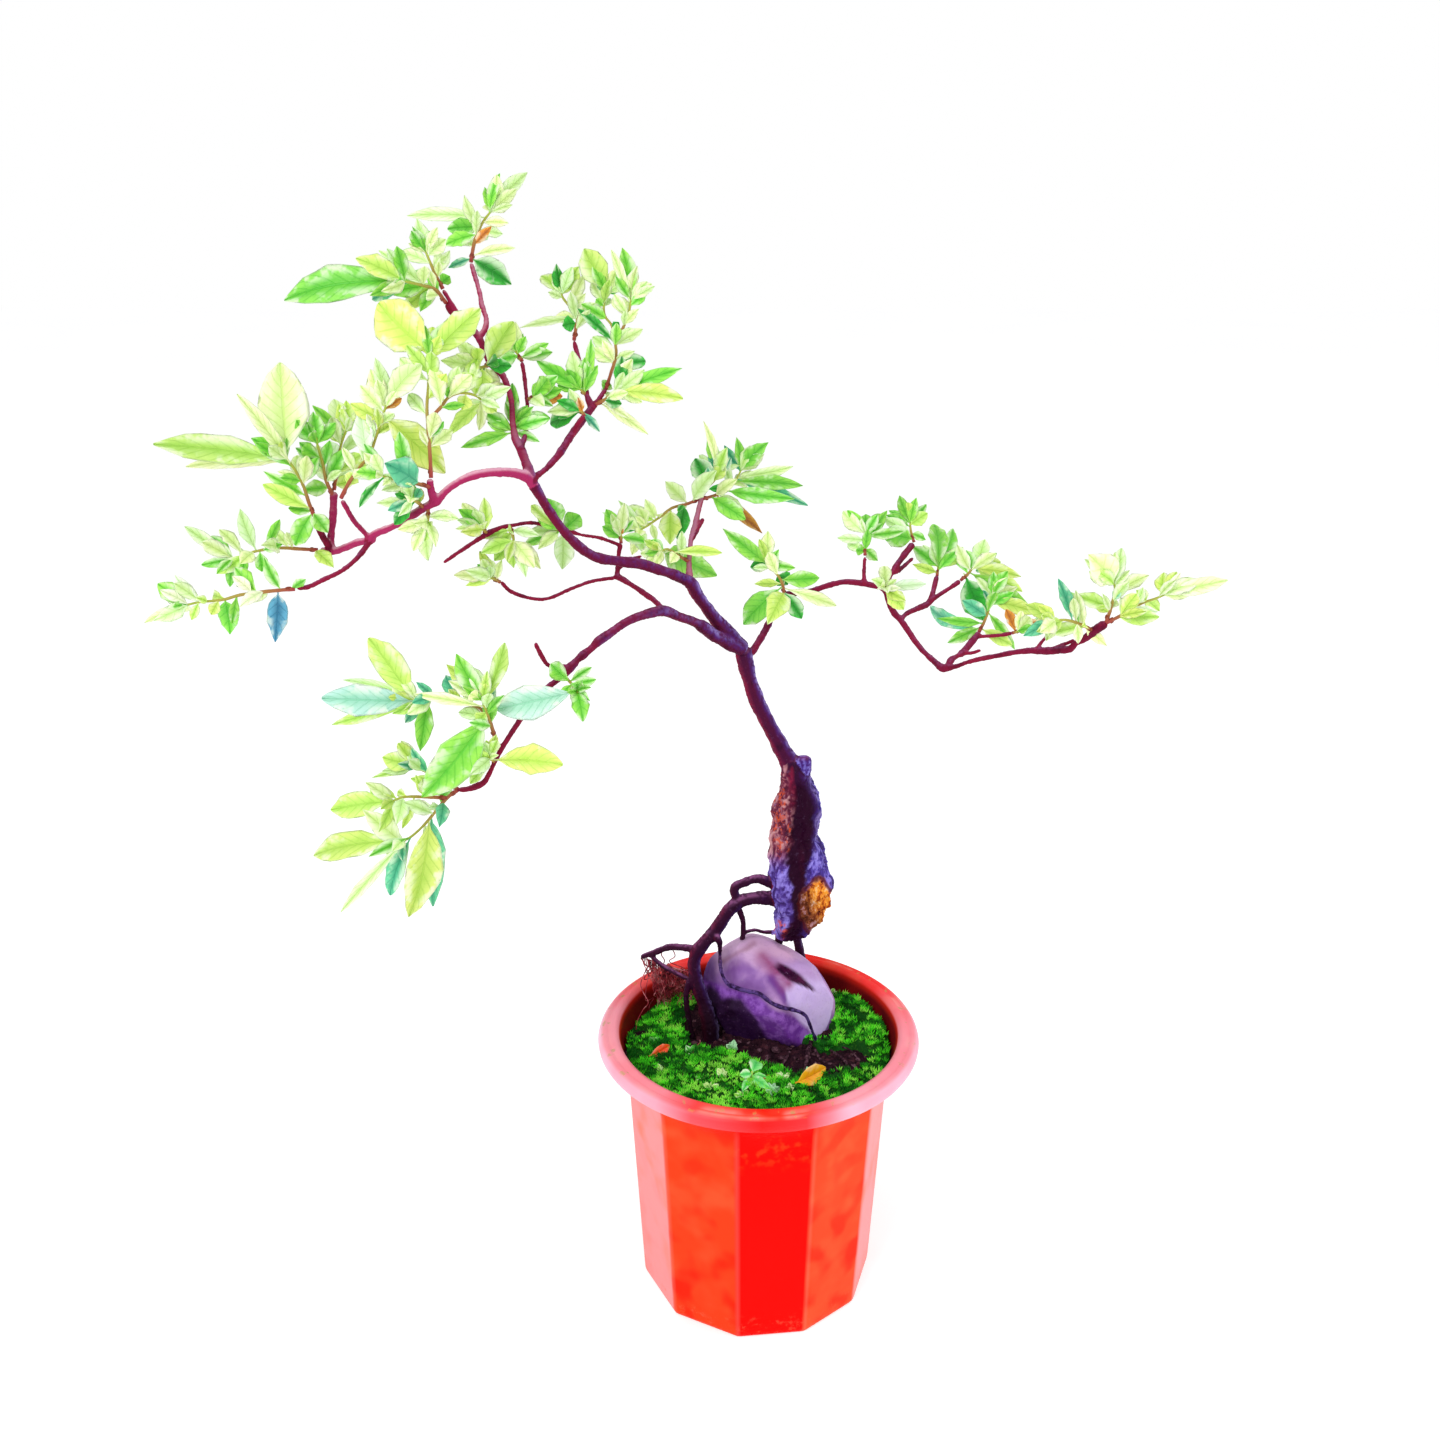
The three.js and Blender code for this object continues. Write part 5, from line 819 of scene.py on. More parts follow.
class Finish:
    """A material and the nodes that make it."""

    def __init__(self, name, roughness=0.5, **settings):
        self.material = bpy.data.materials.new(name)
        self.material.use_nodes = True
        self.tree = self.material.node_tree
        self.surface = self.tree.nodes["Principled BSDF"]
        self.set(Roughness=roughness, **settings)

    def put(self, socket, value):
        if isinstance(value, Value):
            self.tree.links.new(value.socket, socket)
        elif isinstance(value, str):
            socket.default_value = solid_colour(value)
        else:
            socket.default_value = value

    def set(self, **sockets):
        """Values or links of the surface's sockets, with underscores for spaces."""
        for socket, value in sockets.items():
            self.put(self.surface.inputs[socket.replace("_", " ")], value)

    def node(self, kind, settings=None, values=None, out=0):
        """A new node with its settings made first, then its sockets' values or links."""
        made = self.tree.nodes.new(kind)
        for key, value in (settings or {}).items():
            if key == "stops":
                self.set_stops(made.color_ramp, value)
            else:
                setattr(made, key, value)
        for key, value in (values or {}).items():
            self.put(made.inputs[key], value)
        return Value(self, made.outputs[out])

    def set_stops(self, ramp, stops):
        while len(ramp.elements) > 1:
            ramp.elements.remove(ramp.elements[-1])
        for i, (place, colour) in enumerate(stops):
            stop = ramp.elements[0] if i == 0 else ramp.elements.new(place)
            stop.position = place
            stop.color = solid_colour(colour)

    def mix(self, factor, first, second):
        """From the first colour to the second as the factor goes from 0 to 1."""
        return self.node("ShaderNodeMix", {"data_type": "RGBA"},
                         {0: factor, 6: first, 7: second}, out=2)

    def coats(self, base, *coats):
        """A colour under coats of others, each with how much it covers."""
        for cover, colour in coats:
            base = self.mix(cover, base, colour)
        return base

    def ramp(self, value, *stops):
        return self.node("ShaderNodeValToRGB", {"stops": stops}, {0: value})

    def place(self):
        """The spot on the piece, in metres."""
        return self.node("ShaderNodeTexCoord", out="Object")

    def noise(self, size_mm, detail=3.0, roughness=0.55, stretch=(1, 1, 1), move=(0, 0, 0)):
        """Cloudy noise whose patches are about so many millimetres across."""
        spot = self.node("ShaderNodeMapping", None,
                         {"Vector": self.place(), "Location": move, "Scale": stretch})
        return self.node("ShaderNodeTexNoise", None, {
            "Vector": spot, "Scale": 1 / (size_mm * MM), "Detail": detail, "Roughness": roughness})

    def cells(self, size_mm, out="Distance"):
        return self.node("ShaderNodeTexVoronoi", None,
                         {"Vector": self.place(), "Scale": 1 / (size_mm * MM)}, out=out)

    def mark(self, name, out="Fac"):
        """A number or colour kept on the mesh's corners."""
        return self.node("ShaderNodeAttribute", {"attribute_name": name}, out=out)

    def marks(self, names):
        return [self.mark(name) for name in names.split()]

    def split(self, vector, axis):
        return self.node("ShaderNodeSeparateXYZ", None, {0: vector}, out=axis)

    def bump(self, height, depth_mm, strength=1.0):
        self.set(Normal=self.node("ShaderNodeBump", None, {
            "Height": height, "Distance": depth_mm * MM, "Strength": strength}, out="Normal"))


def leaf_finish(settings):
    """A thin soft blade: pale field, deeper heart, fine veins, painted highlights, and a painted glow that
    stands in for light coming through.
    """
    finish = Finish("leaf_skin", roughness=0.42, Specular_IOR_Level=0.35)
    spot = finish.mark("spot", out="Vector")
    along = finish.split(spot, 0)
    aside = abs(finish.split(spot, 1))
    veined, vein_count = finish.marks("veined vein_count")
    ripple = abs(((along - aside * 0.22) * vein_count).part() - 0.5)
    side_veins = (1 - ripple.rise(0.02, 0.13)) * aside.rise(0.0, 0.06) * (1 - aside.rise(0.72, 0.98))
    rib = 1 - aside.rise(0.02, 0.09)
    net = 1 - finish.cells(1.7).rise(0.02, 0.5)
    cloud = finish.noise(7.0)
    veins = (side_veins * 0.75 + rib).held() * veined
    heart = (1 - aside.rise(0.1, 0.8)) * along.rise(0.02, 0.3) * 0.6 * veined
    shade = (heart + (cloud - 0.45) * 0.9 + net * 0.1).held()
    patches = finish.noise(11.0, 3.0, 0.6, move=(0.3, 0.1, 0.2)).rise(0.47, 0.6)
    # Pale patches towards the edges and a pale edge band: painted highlights
    glare = (patches * aside.rise(0.15, 0.8) * 0.55 + aside.rise(0.86, 1.0) * 0.3) * veined
    deep = finish.mark("heart", out="Color")
    colour = finish.coats(finish.mark("tone", out="Color"), (shade, deep),
                          (veins * settings.vein_strength, deep), (glare, "#f2f8e2"))
    # The emission is a painted glow that stands in for light coming through the blade
    finish.set(Base_Color=colour, Emission_Color=colour, Emission_Strength=settings.glow,
               Roughness=0.36 + cloud * 0.16)
    finish.bump(side_veins * -0.6 + rib * -1.0 + net * 0.12 + cloud * 0.3, 0.35, 0.7)
    return finish.material


def bark_finish():
    """Bark: plum on the trunk, redder on thin wood, and a rotten wound. Painted highlights in crimson and
    violet fall on the flanks and pale ones on upper sides, and painted shade darkens the roots low down.
    """
    finish = Finish("bark", roughness=0.6, Specular_IOR_Level=0.08)
    girth, ridge, wound, rust = finish.marks("girth ridge wound rust")
    left, right, low, upper, flush, side, root = finish.marks("left right low upper flush side root")
    cloud = finish.noise(8.0)
    speck = finish.noise(1.8, 2.0)
    streak = finish.noise(3.0, 3.0, 0.6, (1, 1, 0.3))
    patch = (ridge * 0.45 + streak * 0.55 + cloud * 0.3).rise(0.48, 0.8)
    fleece = finish.noise(7.0, 3.0, 0.55, (1, 1, 0.35)) * 0.8 + patch * 0.2
    flank_sheen = fleece.rise(0.3, 0.6) * 0.55
    flecks = finish.noise(2.6, 4.0, 0.7, (1, 1, 0.6)).rise(0.5, 0.6)
    broad = girth.rise(1.5, 3.2) * (1 - left) * (1 - right) * (1 - root * 0.5)
    # Painted shade: where the roots darken low down by the soil
    low_shade = 1 - finish.split(finish.place(), 2).rise(0.152, 0.19)
    grain = finish.noise(4.2, 5.0, 0.75, (1, 1, 0.5))
    rot = finish.ramp(grain, (0.34, "#3c0a10"), (0.43, "#9c3c18"), (0.49, "#e8842a"),
                      (0.56, "#f6aa3a"), (0.63, "#f2d0a0"), (0.72, "#7c2c1c"))
    spent = finish.ramp(grain, (0.32, "#1c0a10"), (0.45, "#5c2a1c"), (0.54, "#8c4a2c"),
                        (0.62, "#c0909a"), (0.7, "#6a3050"), (0.78, "#2a1018"))
    colour = finish.coats(
        finish.ramp(girth / 17.0, (0.0, "#a01c3a"), (0.09, "#7c1234"), (0.17, "#560a2e"),
                    (0.34, "#380a34"), (0.6, "#26001e")),
        (root * (0.85 + cloud * 0.2), "#2a0526"),
        (cloud.rise(0.5, 0.72) * 0.5, "#1a0014"),
        # Painted highlights by which way a face turns: crimson on left-facing flanks, violet on
        # right-facing ones
        ((0 - side).rise(0.15, 0.9) * broad * (0.25 + patch * 0.5), "#9a1c40"),
        (side.rise(0.2, 0.9) * broad * (0.25 + patch * 0.5), "#4a2a8c"),
        # Painted shade on the roots low down
        (root * low_shade * 0.85, "#16030f"),
        (flush * 0.85, "#ac2c60"),
        # Painted highlight on the upper side of the blushing boughs
        (flush * upper * 0.8, "#f0bccc"),
        # Painted highlights on the trunk's left and right flanks
        (left * (flank_sheen + 0.25), finish.mix(low, "#8c3450", "#6248b4")),
        (left * fleece.rise(0.44, 0.68) * 0.8, finish.mix(low, "#d8a0a4", "#a494ee")),
        (right * (flank_sheen + 0.2), finish.mix(low, "#42309a", "#5c48bc")),
        (right * fleece.rise(0.48, 0.7) * 0.75, "#a092ec"),
        # Painted highlight on upward faces
        (upper * upper * (0.15 + patch * 0.55) * (0.5 + root * 0.5), "#a8649c"),
        # Painted lavender highlight on right-facing flanks
        (side.rise(0.6, 1.0) * broad * patch * 0.6, "#b4a0e2"),
        (finish.mark("inky") * 0.85, finish.mix(patch, "#180834", "#5a4288")),
        (rust * flecks * 0.85, "#d0502c"),
        (speck.rise(0.62, 0.72) * (left + right + 0.2) * 0.25, "#b48cc4"),
        (wound, finish.mix(finish.mark("decay"), rot, spent)),
        (wound.rise(0.02, 0.3) * (1 - wound.rise(0.4, 0.9)) * 0.8, "#4c0a18"),
    )
    finish.set(Base_Color=colour, Roughness=0.45 + streak * 0.35 + wound * 0.3)
    finish.bump(streak * 0.6 + speck * 0.25 + ridge * 0.3, 0.5, 0.7)
    return finish.material


def pot_finish(settings):
    """Moulded plastic, orange-red, mottled, and dusty near its foot. A painted sheen of the lights makes
    the side panels pale and the rim's sides rosy. Painted highlights run along the corners and the rim's
    ridge, and painted shade darkens the inside low down.
    """
    finish = Finish("pot_plastic", roughness=0.34, Specular_IOR_Level=0.03, Coat_Roughness=0.2)
    height = finish.split(finish.place(), 2)
    red, pale, rim, rose = finish.marks("red pale rim rose")
    edge, bead, gleam, inside = finish.marks("edge bead gleam inside")
    low = 1 - height.rise(0.02, 0.115)
    top = height.rise(0.112, 0.128)
    cloud = finish.noise(24.0, 2.0, 0.5)
    blot = finish.noise(15.0, 1.0, 0.3)
    fine = finish.noise(2.0, 2.0)
    mottle = finish.noise(7.0, 2.0, 0.5).rise(0.48, 0.66)
    dust = (1 - height.rise(0.0, 0.022)) * finish.noise(5.0, 4.0, 0.75).rise(0.52, 0.72)
    # The pale colour is a painted sheen of the lights on the side panels
    chosen = (settings.front_colour, settings.side_colour, settings.panel_sheen_colour)
    front, beside, far = [(*colour, 1) for colour in chosen]
    # The rim turns pink at its sides with a painted sheen of the lights
    face = finish.coats("#fa1c08", (cloud.rise(0.4, 0.6), "#fb4426"),
                        (rose * (0.75 + cloud * 0.5), "#fb9cac"))
    lip = finish.mix(rose * (0.8 + blot * 0.4), "#fd1c1c", "#f8bcd2")
    colour = finish.coats(
        finish.mix(pale, beside, far),
        (cloud.rise(0.42, 0.72) * (0.6 - low * 0.3), "#fd6a3c"),
        (blot.rise(0.48, 0.72) * (1 - pale) * (0.5 + low * 0.4), "#fb1c00"),
        (red, front),
        (red * top * (1 - height.rise(0.136, 0.142)) * mottle * 0.5, "#fd4a18"),
        (top * (1 - pale) * (1 - red) * rose.rise(0.9, 0.2) * height.rise(0.13, 0.144),
         "#fc1804"),
        # Painted highlight along the panel corners
        (edge * (1 - rim) * 0.16, "#ff9a88"),
        (rim, face),
        (bead * (0.8 + cloud * 0.35), lip),
        # Painted highlight streaks along the rim's ridge
        (gleam * cloud.rise(0.48, 0.6) * (1 - rose * 0.6) * 0.4, "#fdb4b0"),
        (inside, "#e8281c"),
        # Painted shade on the inner wall, darker deeper in the pot
        (inside * (1 - height.rise(0.1555, 0.162)) * (0.7 + blot * 0.4), "#5c0a14"),
        (dust * 0.7, "#a8664a"),
        # A green stain on the same ridge row
        (gleam * finish.noise(7.0).rise(0.6, 0.68) * 0.6, "#a8a45a"),
    )
    finish.set(Base_Color=colour, Roughness=0.32 + fine * 0.1 + dust * 0.3,
               Coat_Weight=rim * 0.14)
    finish.bump(fine * 0.5 + cloud, 0.12, 0.5)
    return finish.material


def stone_finish():
    """Smooth mauve stone with a rosy crown and a dark plum streak. It has painted light on its lilac cheek
    and top, painted shade on its dark left, violet underside and crease, and a painted shadow at its foot.
    """
    finish = Finish("stone", roughness=0.55, Specular_IOR_Level=0.08)
    cloud = finish.noise(20.0, 3.0, 0.5)
    fine = finish.noise(1.6, 3.0, 0.6)
    broken = finish.noise(6.0, 4.0, 0.65)
    cheek, top, high, left, under = finish.marks("cheek top high left under")
    fold, crown, seam, halo, foot, streak = finish.marks("fold crown seam halo foot streak")
    colour = finish.coats(
        finish.ramp(cloud, (0.32, "#7a4698"), (0.5, "#9468b0"), (0.66, "#c296ce")),
        # Painted highlight on the stone's top, then painted light on its right cheek
        (top, finish.mix(broken, "#cc9ccc", "#f2cdf0")),
        (cheek, finish.mix(high, finish.mix(broken, "#ccaef4", "#e6d0ff"), "#bc98d0")),
        # Painted shade on the dark left side, the violet underside and the crease along the cheek's edge
        (left * 0.9, "#3e1660"),
        (under * 0.92, finish.mix(broken.rise(0.4, 0.66), "#6c2c9c", "#9c60cc")),
        (fold * 0.85, "#642c8c"),
        (crown * (0.1 + broken * 0.4), "#a86480"),
        (seam * (0.2 + broken * 0.6), "#84404c"),
        (halo * (0.5 + broken * 0.8), "#90386a"),
        # Painted shadow at the stone's foot, where it meets the soil
        (foot, finish.ramp(cloud, (0.35, "#120008"), (0.65, "#2a0a38"))),
        (streak, finish.ramp(broken, (0.4, "#2a0024"), (0.62, "#4c0c3c"))),
        (fine.rise(0.5, 0.75) * 0.16, "#7c4c8a"),
        (fine.rise(0.66, 0.8) * 0.2, "#efe2f7"),
    )
    finish.set(Base_Color=colour, Roughness=0.45 + cloud * 0.25)
    finish.bump(fine * 0.5 + cloud, 0.4, 0.5)
    return finish.material


def soil_finish():
    """Damp dark crumbs with paler bits of bark and grit."""
    finish = Finish("soil", roughness=0.9, Specular_IOR_Level=0.05)
    cloud = finish.noise(6.0, 4.0, 0.7)
    pick = finish.split(finish.cells(2.4, out="Color"), 0)
    colour = finish.coats(
        finish.ramp(cloud, (0.3, "#150a10"), (0.5, "#2c1520"), (0.7, "#43222a")),
        (pick.rise(0.84, 0.9) * 0.5, "#5a3038"),
        (pick.rise(0.96, 0.99) * 0.5, "#80606c"),
    )
    finish.set(Base_Color=colour, Roughness=0.75 + cloud * 0.2)
    finish.bump(finish.cells(1.6) + cloud, 0.9)
    return finish.material


def clod_finish():
    """Pinkish brown lumps, paler than the soil."""
    finish = Finish("clods", roughness=0.9, Specular_IOR_Level=0.05)
    cloud = finish.noise(2.4, 3.0, 0.7)
    finish.set(Base_Color=finish.ramp(cloud, (0.3, "#180a12"), (0.5, "#38202a"), (0.66, "#6c4c58")))
    finish.bump(cloud, 0.5)
    return finish.material


def moss_finish():
    """Moss: fresh green tips over a dark mat, brightened by a painted glow."""
    finish = Finish("moss", roughness=0.7, Specular_IOR_Level=0.1)
    cloud = finish.noise(8.0, 3.0, 0.6)
    fine = finish.noise(1.2, 3.0, 0.7)
    colour = finish.coats(finish.mark("tone", out="Color"), (cloud.rise(0.4, 0.7) * 0.45, "#0c5a10"),
                          (fine.rise(0.55, 0.8) * 0.35, "#9be03c"))
    # The emission is a painted glow that brightens the moss
    finish.set(Base_Color=colour, Emission_Color=colour, Emission_Strength=0.14)
    finish.bump(fine, 0.5, 0.8)
    return finish.material


def thread_finish():
    """Fine hanging roots, pinkish red."""
    finish = Finish("root_hair", roughness=0.6)
    finish.set(Base_Color=finish.ramp(finish.noise(5.0), (0.35, "#5c0c24"), (0.5, "#b0283c"),
                                      (0.68, "#dc8f96")))
    finish.bump(finish.noise(0.8, 2.0), 0.1, 0.5)
    return finish.material


def pot_turns():
    """Angles round the pot, the panel at each, and the wall's reach as a share of a corner's."""
    corners = np.radians(POT_CORNERS)
    widths = np.diff(np.append(corners, corners[0] + TURN))[:, None]
    share = np.arange(POT_PANEL_STEPS) / POT_PANEL_STEPS
    flat = np.cos(widths / 2) / np.cos(widths * (share - 0.5))
    softened = np.minimum(flat, POT_CORNER_REACH + (flat - POT_CORNER_REACH) * POT_CORNER_SOFTNESS)
    turns = corners[:, None] + widths * share
    return turns.ravel(), np.repeat(np.arange(len(corners)), POT_PANEL_STEPS), softened.ravel()


def pot_profile(size):
    """Reach, height, roundness and rim share up the outside, over the rim and down the inside."""
    reaches = (size.base_radius, size.neck_radius, size.rim_radius, size.mouth_radius)
    foot, neck, rim, mouth = [reach / MM for reach in reaches]
    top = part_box("pot")[1].z / MM
    body = ", ".join(f"{(neck - foot) * part} {POT_NECK_HEIGHT * part} 0 0"
                     for part in np.linspace(*POT_BODY))
    runs = (
        (foot, 0, POT_FOOT), (foot, 0, body), (neck, 0, POT_UNDER_RIM), (rim, 0, POT_LIP),
        (rim, top, POT_CREST), (mouth, top, POT_MOUTH), (mouth, 0, POT_THROAT),
        (neck, 0, POT_SHOULDER), (foot - POT_WALL, 0, POT_FLOOR),
    )
    return [(radius + out, level + up, roundness, share)
            for radius, level, text in runs for out, up, roundness, share in rows(text)]


def pot_shell(size):
    """The pot's closed wall, marked with its panels, its rim and its inside."""
    profile = pot_profile(size)
    turns, panel, flat = pot_turns()
    by_turn = {
        "red": np.array(POT_PANEL_RED)[panel],
        # pale: a painted sheen of the lights on the side panels
        "pale": np.array(POT_PANEL_SHEEN)[panel],
        # rose: how far the painted sheen of the lights turns the rim pink
        "rose": np.interp((np.degrees(turns) + 180) % 360 - 180, *columns(RIM_SHEEN)),
    }
    corner = np.arange(len(turns)) % POT_PANEL_STEPS == 0
    rings = []
    marks = {}
    for row, (reach, height, roundness, rim) in enumerate(profile):
        outside = row < len(profile) - POT_INSIDE_ROWS
        rings.append(ring(reach * (flat + (1 - flat) * roundness), turns - math.pi / 2, height))
        by_ring = {
            # edge: where a painted highlight runs down each panel corner
            "edge": corner * (1 - roundness) * outside,
            "rim": rim,
            "bead": rim == 1 and height < POT_BEAD_TOP,
            # The rim's ridge row, which takes a painted highlight and a green stain
            "gleam": rim == 1 and POT_BEAD_TOP < height < POT_RIDGE_TOP,
            "inside": not outside,
        }
        for name, value in {**by_turn, **by_ring}.items():
            marks.setdefault(name, []).extend(np.ones(len(turns)) * value)
    return Skin().loft(rings, **{name: values + [0, 0] for name, values in marks.items()})


def stone_reach(angles):
    """How far the stone's outline stands from its middle at each angle."""
    across, down, _ = STONE_MIDDLE
    step = step_size(seen_at_depth(*STONE_MIDDLE))
    right, low = (columns(STONE_OUTLINE) - [[across], [down]]) * step
    turns = np.arctan2(-low, right) % TURN
    order = np.argsort(turns)
    reach = np.hypot(right, low)[order]
    turns = turns[order]
    turns = np.concatenate([turns - TURN, turns, turns + TURN])
    smooth = np.zeros(len(angles))
    for shift in (-0.05, 0, 0.05):
        smooth += np.interp(angles % TURN + shift, turns, np.tile(reach, 3)) / 3
    return smooth


def stone_point(p):
    """Spots of a unit ball as spots of the stone."""
    flat = np.maximum(np.hypot(p[:, 0], p[:, 1]), 1e-6)
    reach = stone_reach(np.arctan2(p[:, 1], p[:, 0])) * flat ** 0.75 / flat
    lump = 1 + 0.05 * np.sin(5 * p[:, 0] + 2 * p[:, 1]) + 0.04 * np.cos(4 * p[:, 1] - 3 * p[:, 0])
    back = (p[:, 2] * lump + p[:, 1] * 0.35 * (1 - np.abs(p[:, 2]))) * STONE_HALF_DEPTH
    seen = (seen_at_depth(*STONE_MIDDLE) + EYE_RIGHT * (p[:, 0] * reach)[:, None]
            + EYE_UP * (p[:, 1] * reach)[:, None])
    sight = seen - EYE
    return seen + sight / np.linalg.norm(sight, axis=1)[:, None] * back[:, None]


def ball(levels):
    made = bmesh.new()
    bmesh.ops.create_icosphere(made, subdivisions=levels, radius=1)
    corners = np.array([v.co[:] for v in made.verts])
    faces = [tuple(v.index for v in face.verts) for face in made.faces]
    made.free()
    return corners, faces


def near_line(across, down, start, end):
    """How far spots lie from a seen line, and how far along it they are."""
    line = np.subtract(end, start)
    offset = np.column_stack([across, down]) - start
    along = np.clip(offset @ line / (line @ line), 0, 1)
    return np.linalg.norm(offset - along[:, None] * line, axis=1), along


def below_line(across, down, text):
    """How far spots lie below a line of readings."""
    return down - np.interp(across, *columns(text))


def stone_skin():
    """The stone with its flat cheeks, marked with what is seen where."""
    corners, faces = ball(STONE_LEVELS)
    points = stone_point(corners)
    outward = corners / np.linalg.norm(corners, axis=1)[:, None]
    lumps = crumbs(points * 0.05, 1.0, 2.2, 4)
    facets = bumps(points * 0.03 + 7)
    for right, up, near_eye, reach in rows(STONE_FACETS):
        plane = unit(EYE_RIGHT * right + EYE_UP * up - EYE_FORWARD * near_eye)
        over = np.maximum((points - seen_at_depth(*STONE_MIDDLE)) @ plane - reach, 0)
        points = points - over[:, None] * plane * STONE_FACET_PRESS
    across, down = as_seen(points)
    front = corners[:, 2] < 0.1
    off, along = near_line(across, down, *STONE_STREAK)
    wide = STONE_STREAK_WIDTH * np.sin(math.pi * np.clip(along, 0.14, 0.96) ** 0.75)
    streak = smooth_step(1.4, 0.7, (off + lumps * 1.2) / wide) * front * smooth_step(0.0, 0.16, along)
    near = {}
    for name, (start, end, wide, core) in STONE_LINES.items():
        away, _ = near_line(across, down, start, end)
        near[name] = smooth_step(wide, core, away + lumps * wide * 0.4) * front
    # The right cheek beside this edge takes painted light, and the fold along the edge takes painted shade
    beside = across - np.interp(down, *columns(STONE_EDGE)) + lumps * 5
    cheek = smooth_step(-3, 4, beside) * smooth_step(*STONE_CHEEK_TOP, down) * front
    fold = smooth_step(9, 1, np.abs(beside + 3)) * smooth_step(*STONE_FOLD_TOP, down)
    fold = fold * smooth_step(*STONE_FOLD_FOOT, down) * front
    to_world = outward @ np.array([EYE_RIGHT, EYE_UP, EYE_FORWARD])
    relief = lumps * 0.6 + facets * 0.5 - streak * 0.7 - near["seam"] * 0.4
    points = points + to_world * relief[:, None]
    # foot is a painted shadow, under and left are painted shade, and high and top are painted light on the
    # cheek and the top
    return Skin().add(
        points, faces, streak=streak, cheek=cheek, fold=fold,
        foot=smooth_step(-6, 5, below_line(across, down, STONE_FOOT) + lumps * 8) * 0.95,
        under=smooth_step(-2, 4, below_line(across, down, STONE_UNDER) + lumps * 3) * (1 - cheek),
        left=smooth_step(*STONE_LEFT, across + lumps * 6),
        high=smooth_step(*STONE_HIGH, down + lumps * 6),
        top=smooth_step(*STONE_TOP, down + lumps * 10), **near)


class Wood:
    """Runs of wood as overlapping tubes, and stations down them with their girth, run and kind."""

    def __init__(self):
        self.skin = Skin()
        self.middles = []
        self.girths = []
        self.runs = []
        self.kinds = []

    def station(self, points, girths, kind, run, keep=None):
        """Stations of a run; those inside the wood of an earlier trunk aren't kept."""
        for point, girth in zip(points, girths):
            if keep is None or keep(point):
                self.middles.append(point)
                self.girths.append(girth)
                self.runs.append(run)
                self.kinds.append(kind)

    def trunk(self):
        """The massive lower trunk with its slow flutes."""
        points, radii = read_route(TRUNK_BASE)
        fine, radii, turn = smooth_route(points, TRUNK_STEP, radii, np.arange(len(radii)))
        angles = np.arange(TRUNK_SIDES) * TURN / TRUNK_SIDES
        radii = np.maximum(radii, 1.0)
        turn = turn[:, None]
        flutes = 1 + 0.09 * np.sin(3 * angles + turn * 0.35) + 0.05 * np.sin(5 * angles - turn * 0.5)
        self.skin.tube(fine, radii[:, None] * flutes, TRUNK_SIDES)
        self.station(fine, radii, "bole", 0)
        middles = np.array(self.middles)
        self.outside = lambda point: (np.linalg.norm(middles - point, axis=1) - radii).min() > 0.5

    def limb(self, points, radii, kind, run, keep=None, knobby=1.0):
        """One run of wood as a fine tube, with its swellings and bud scars."""
        fine, girth = smooth_route(points, WOOD_STEP, radii)
        girth = np.maximum(girth, 0.4)
        length = np.concatenate([[0], np.cumsum(step_lengths(fine))])
        swell = bumps([(along * 0.22, run * 7.1, 3.3) for along in length])
        scars = np.zeros(len(girth))
        if girth.max() < THIN_GIRTH:
            place = 5.0 + 3 * draw(run)
            while place < length[-1] - 3:
                scars += np.exp(-((length - place) / 0.8) ** 2)
                place += 6.5 + 6 * draw(run + place)
        girth = girth * (1 + LIMB_SWELLING * knobby * swell + LIMB_SCAR * knobby * scars)
        girth[-1] *= LIMB_END
        self.skin.tube(fine, girth + REMESH_GROW, 12 if girth.max() < 3 else 20)
        self.station(fine, girth, kind, run, keep)

    def nearest(self, corners):
        """The station whose bark each corner lies on; wide ones are weighed by their own girth."""
        middles = np.array(self.middles)
        girths = np.array(self.girths)
        thin = np.flatnonzero(girths <= WIDE_GIRTH)
        spots = kdtree.KDTree(len(thin))
        for i, at in enumerate(thin):
            spots.insert(middles[at], i)
        spots.balance()
        near = thin[[spots.find(p)[1] for p in corners]]
        gap = np.linalg.norm(corners - middles[near], axis=1) - girths[near] + WIDE_LEAD
        best = np.full(len(corners), np.inf)
        which = near.copy()
        for at in np.flatnonzero(girths > WIDE_GIRTH):
            away = np.linalg.norm(corners - middles[at], axis=1) - girths[at]
            closer = away < best
            best[closer] = away[closer]
            which[closer] = at
        return np.where(best < gap, which, near)

    def directions(self):
        """The way each station's run goes."""
        along = np.gradient(np.array(self.middles), axis=0)
        ends = np.diff(self.runs) != 0
        along[:-1][ends] = along[1:][ends]
        return along / (np.linalg.norm(along, axis=1)[:, None] + 1e-9)


def face_root_route():
    """The root that hugs the stone: where each sight line first meets the stone."""
    corners, faces = ball(5)
    stone = BVHTree.FromPolygons(stone_point(corners).tolist(), faces)
    line = list(zip(*read_route(FACE_ROOT_START)))
    for across, down, radius in rows(FACE_ROOT):
        ray = unit(sight_ray(across, down))
        spot = stone.ray_cast(Vector(EYE), Vector(ray))[0]
        if spot:
            line.append((np.array(spot) - ray * 0.2, radius * FACE_ROOT_SHARE))
    line += zip(*read_route(FACE_ROOT_END))
    return [np.array(values) for values in zip(*line)]


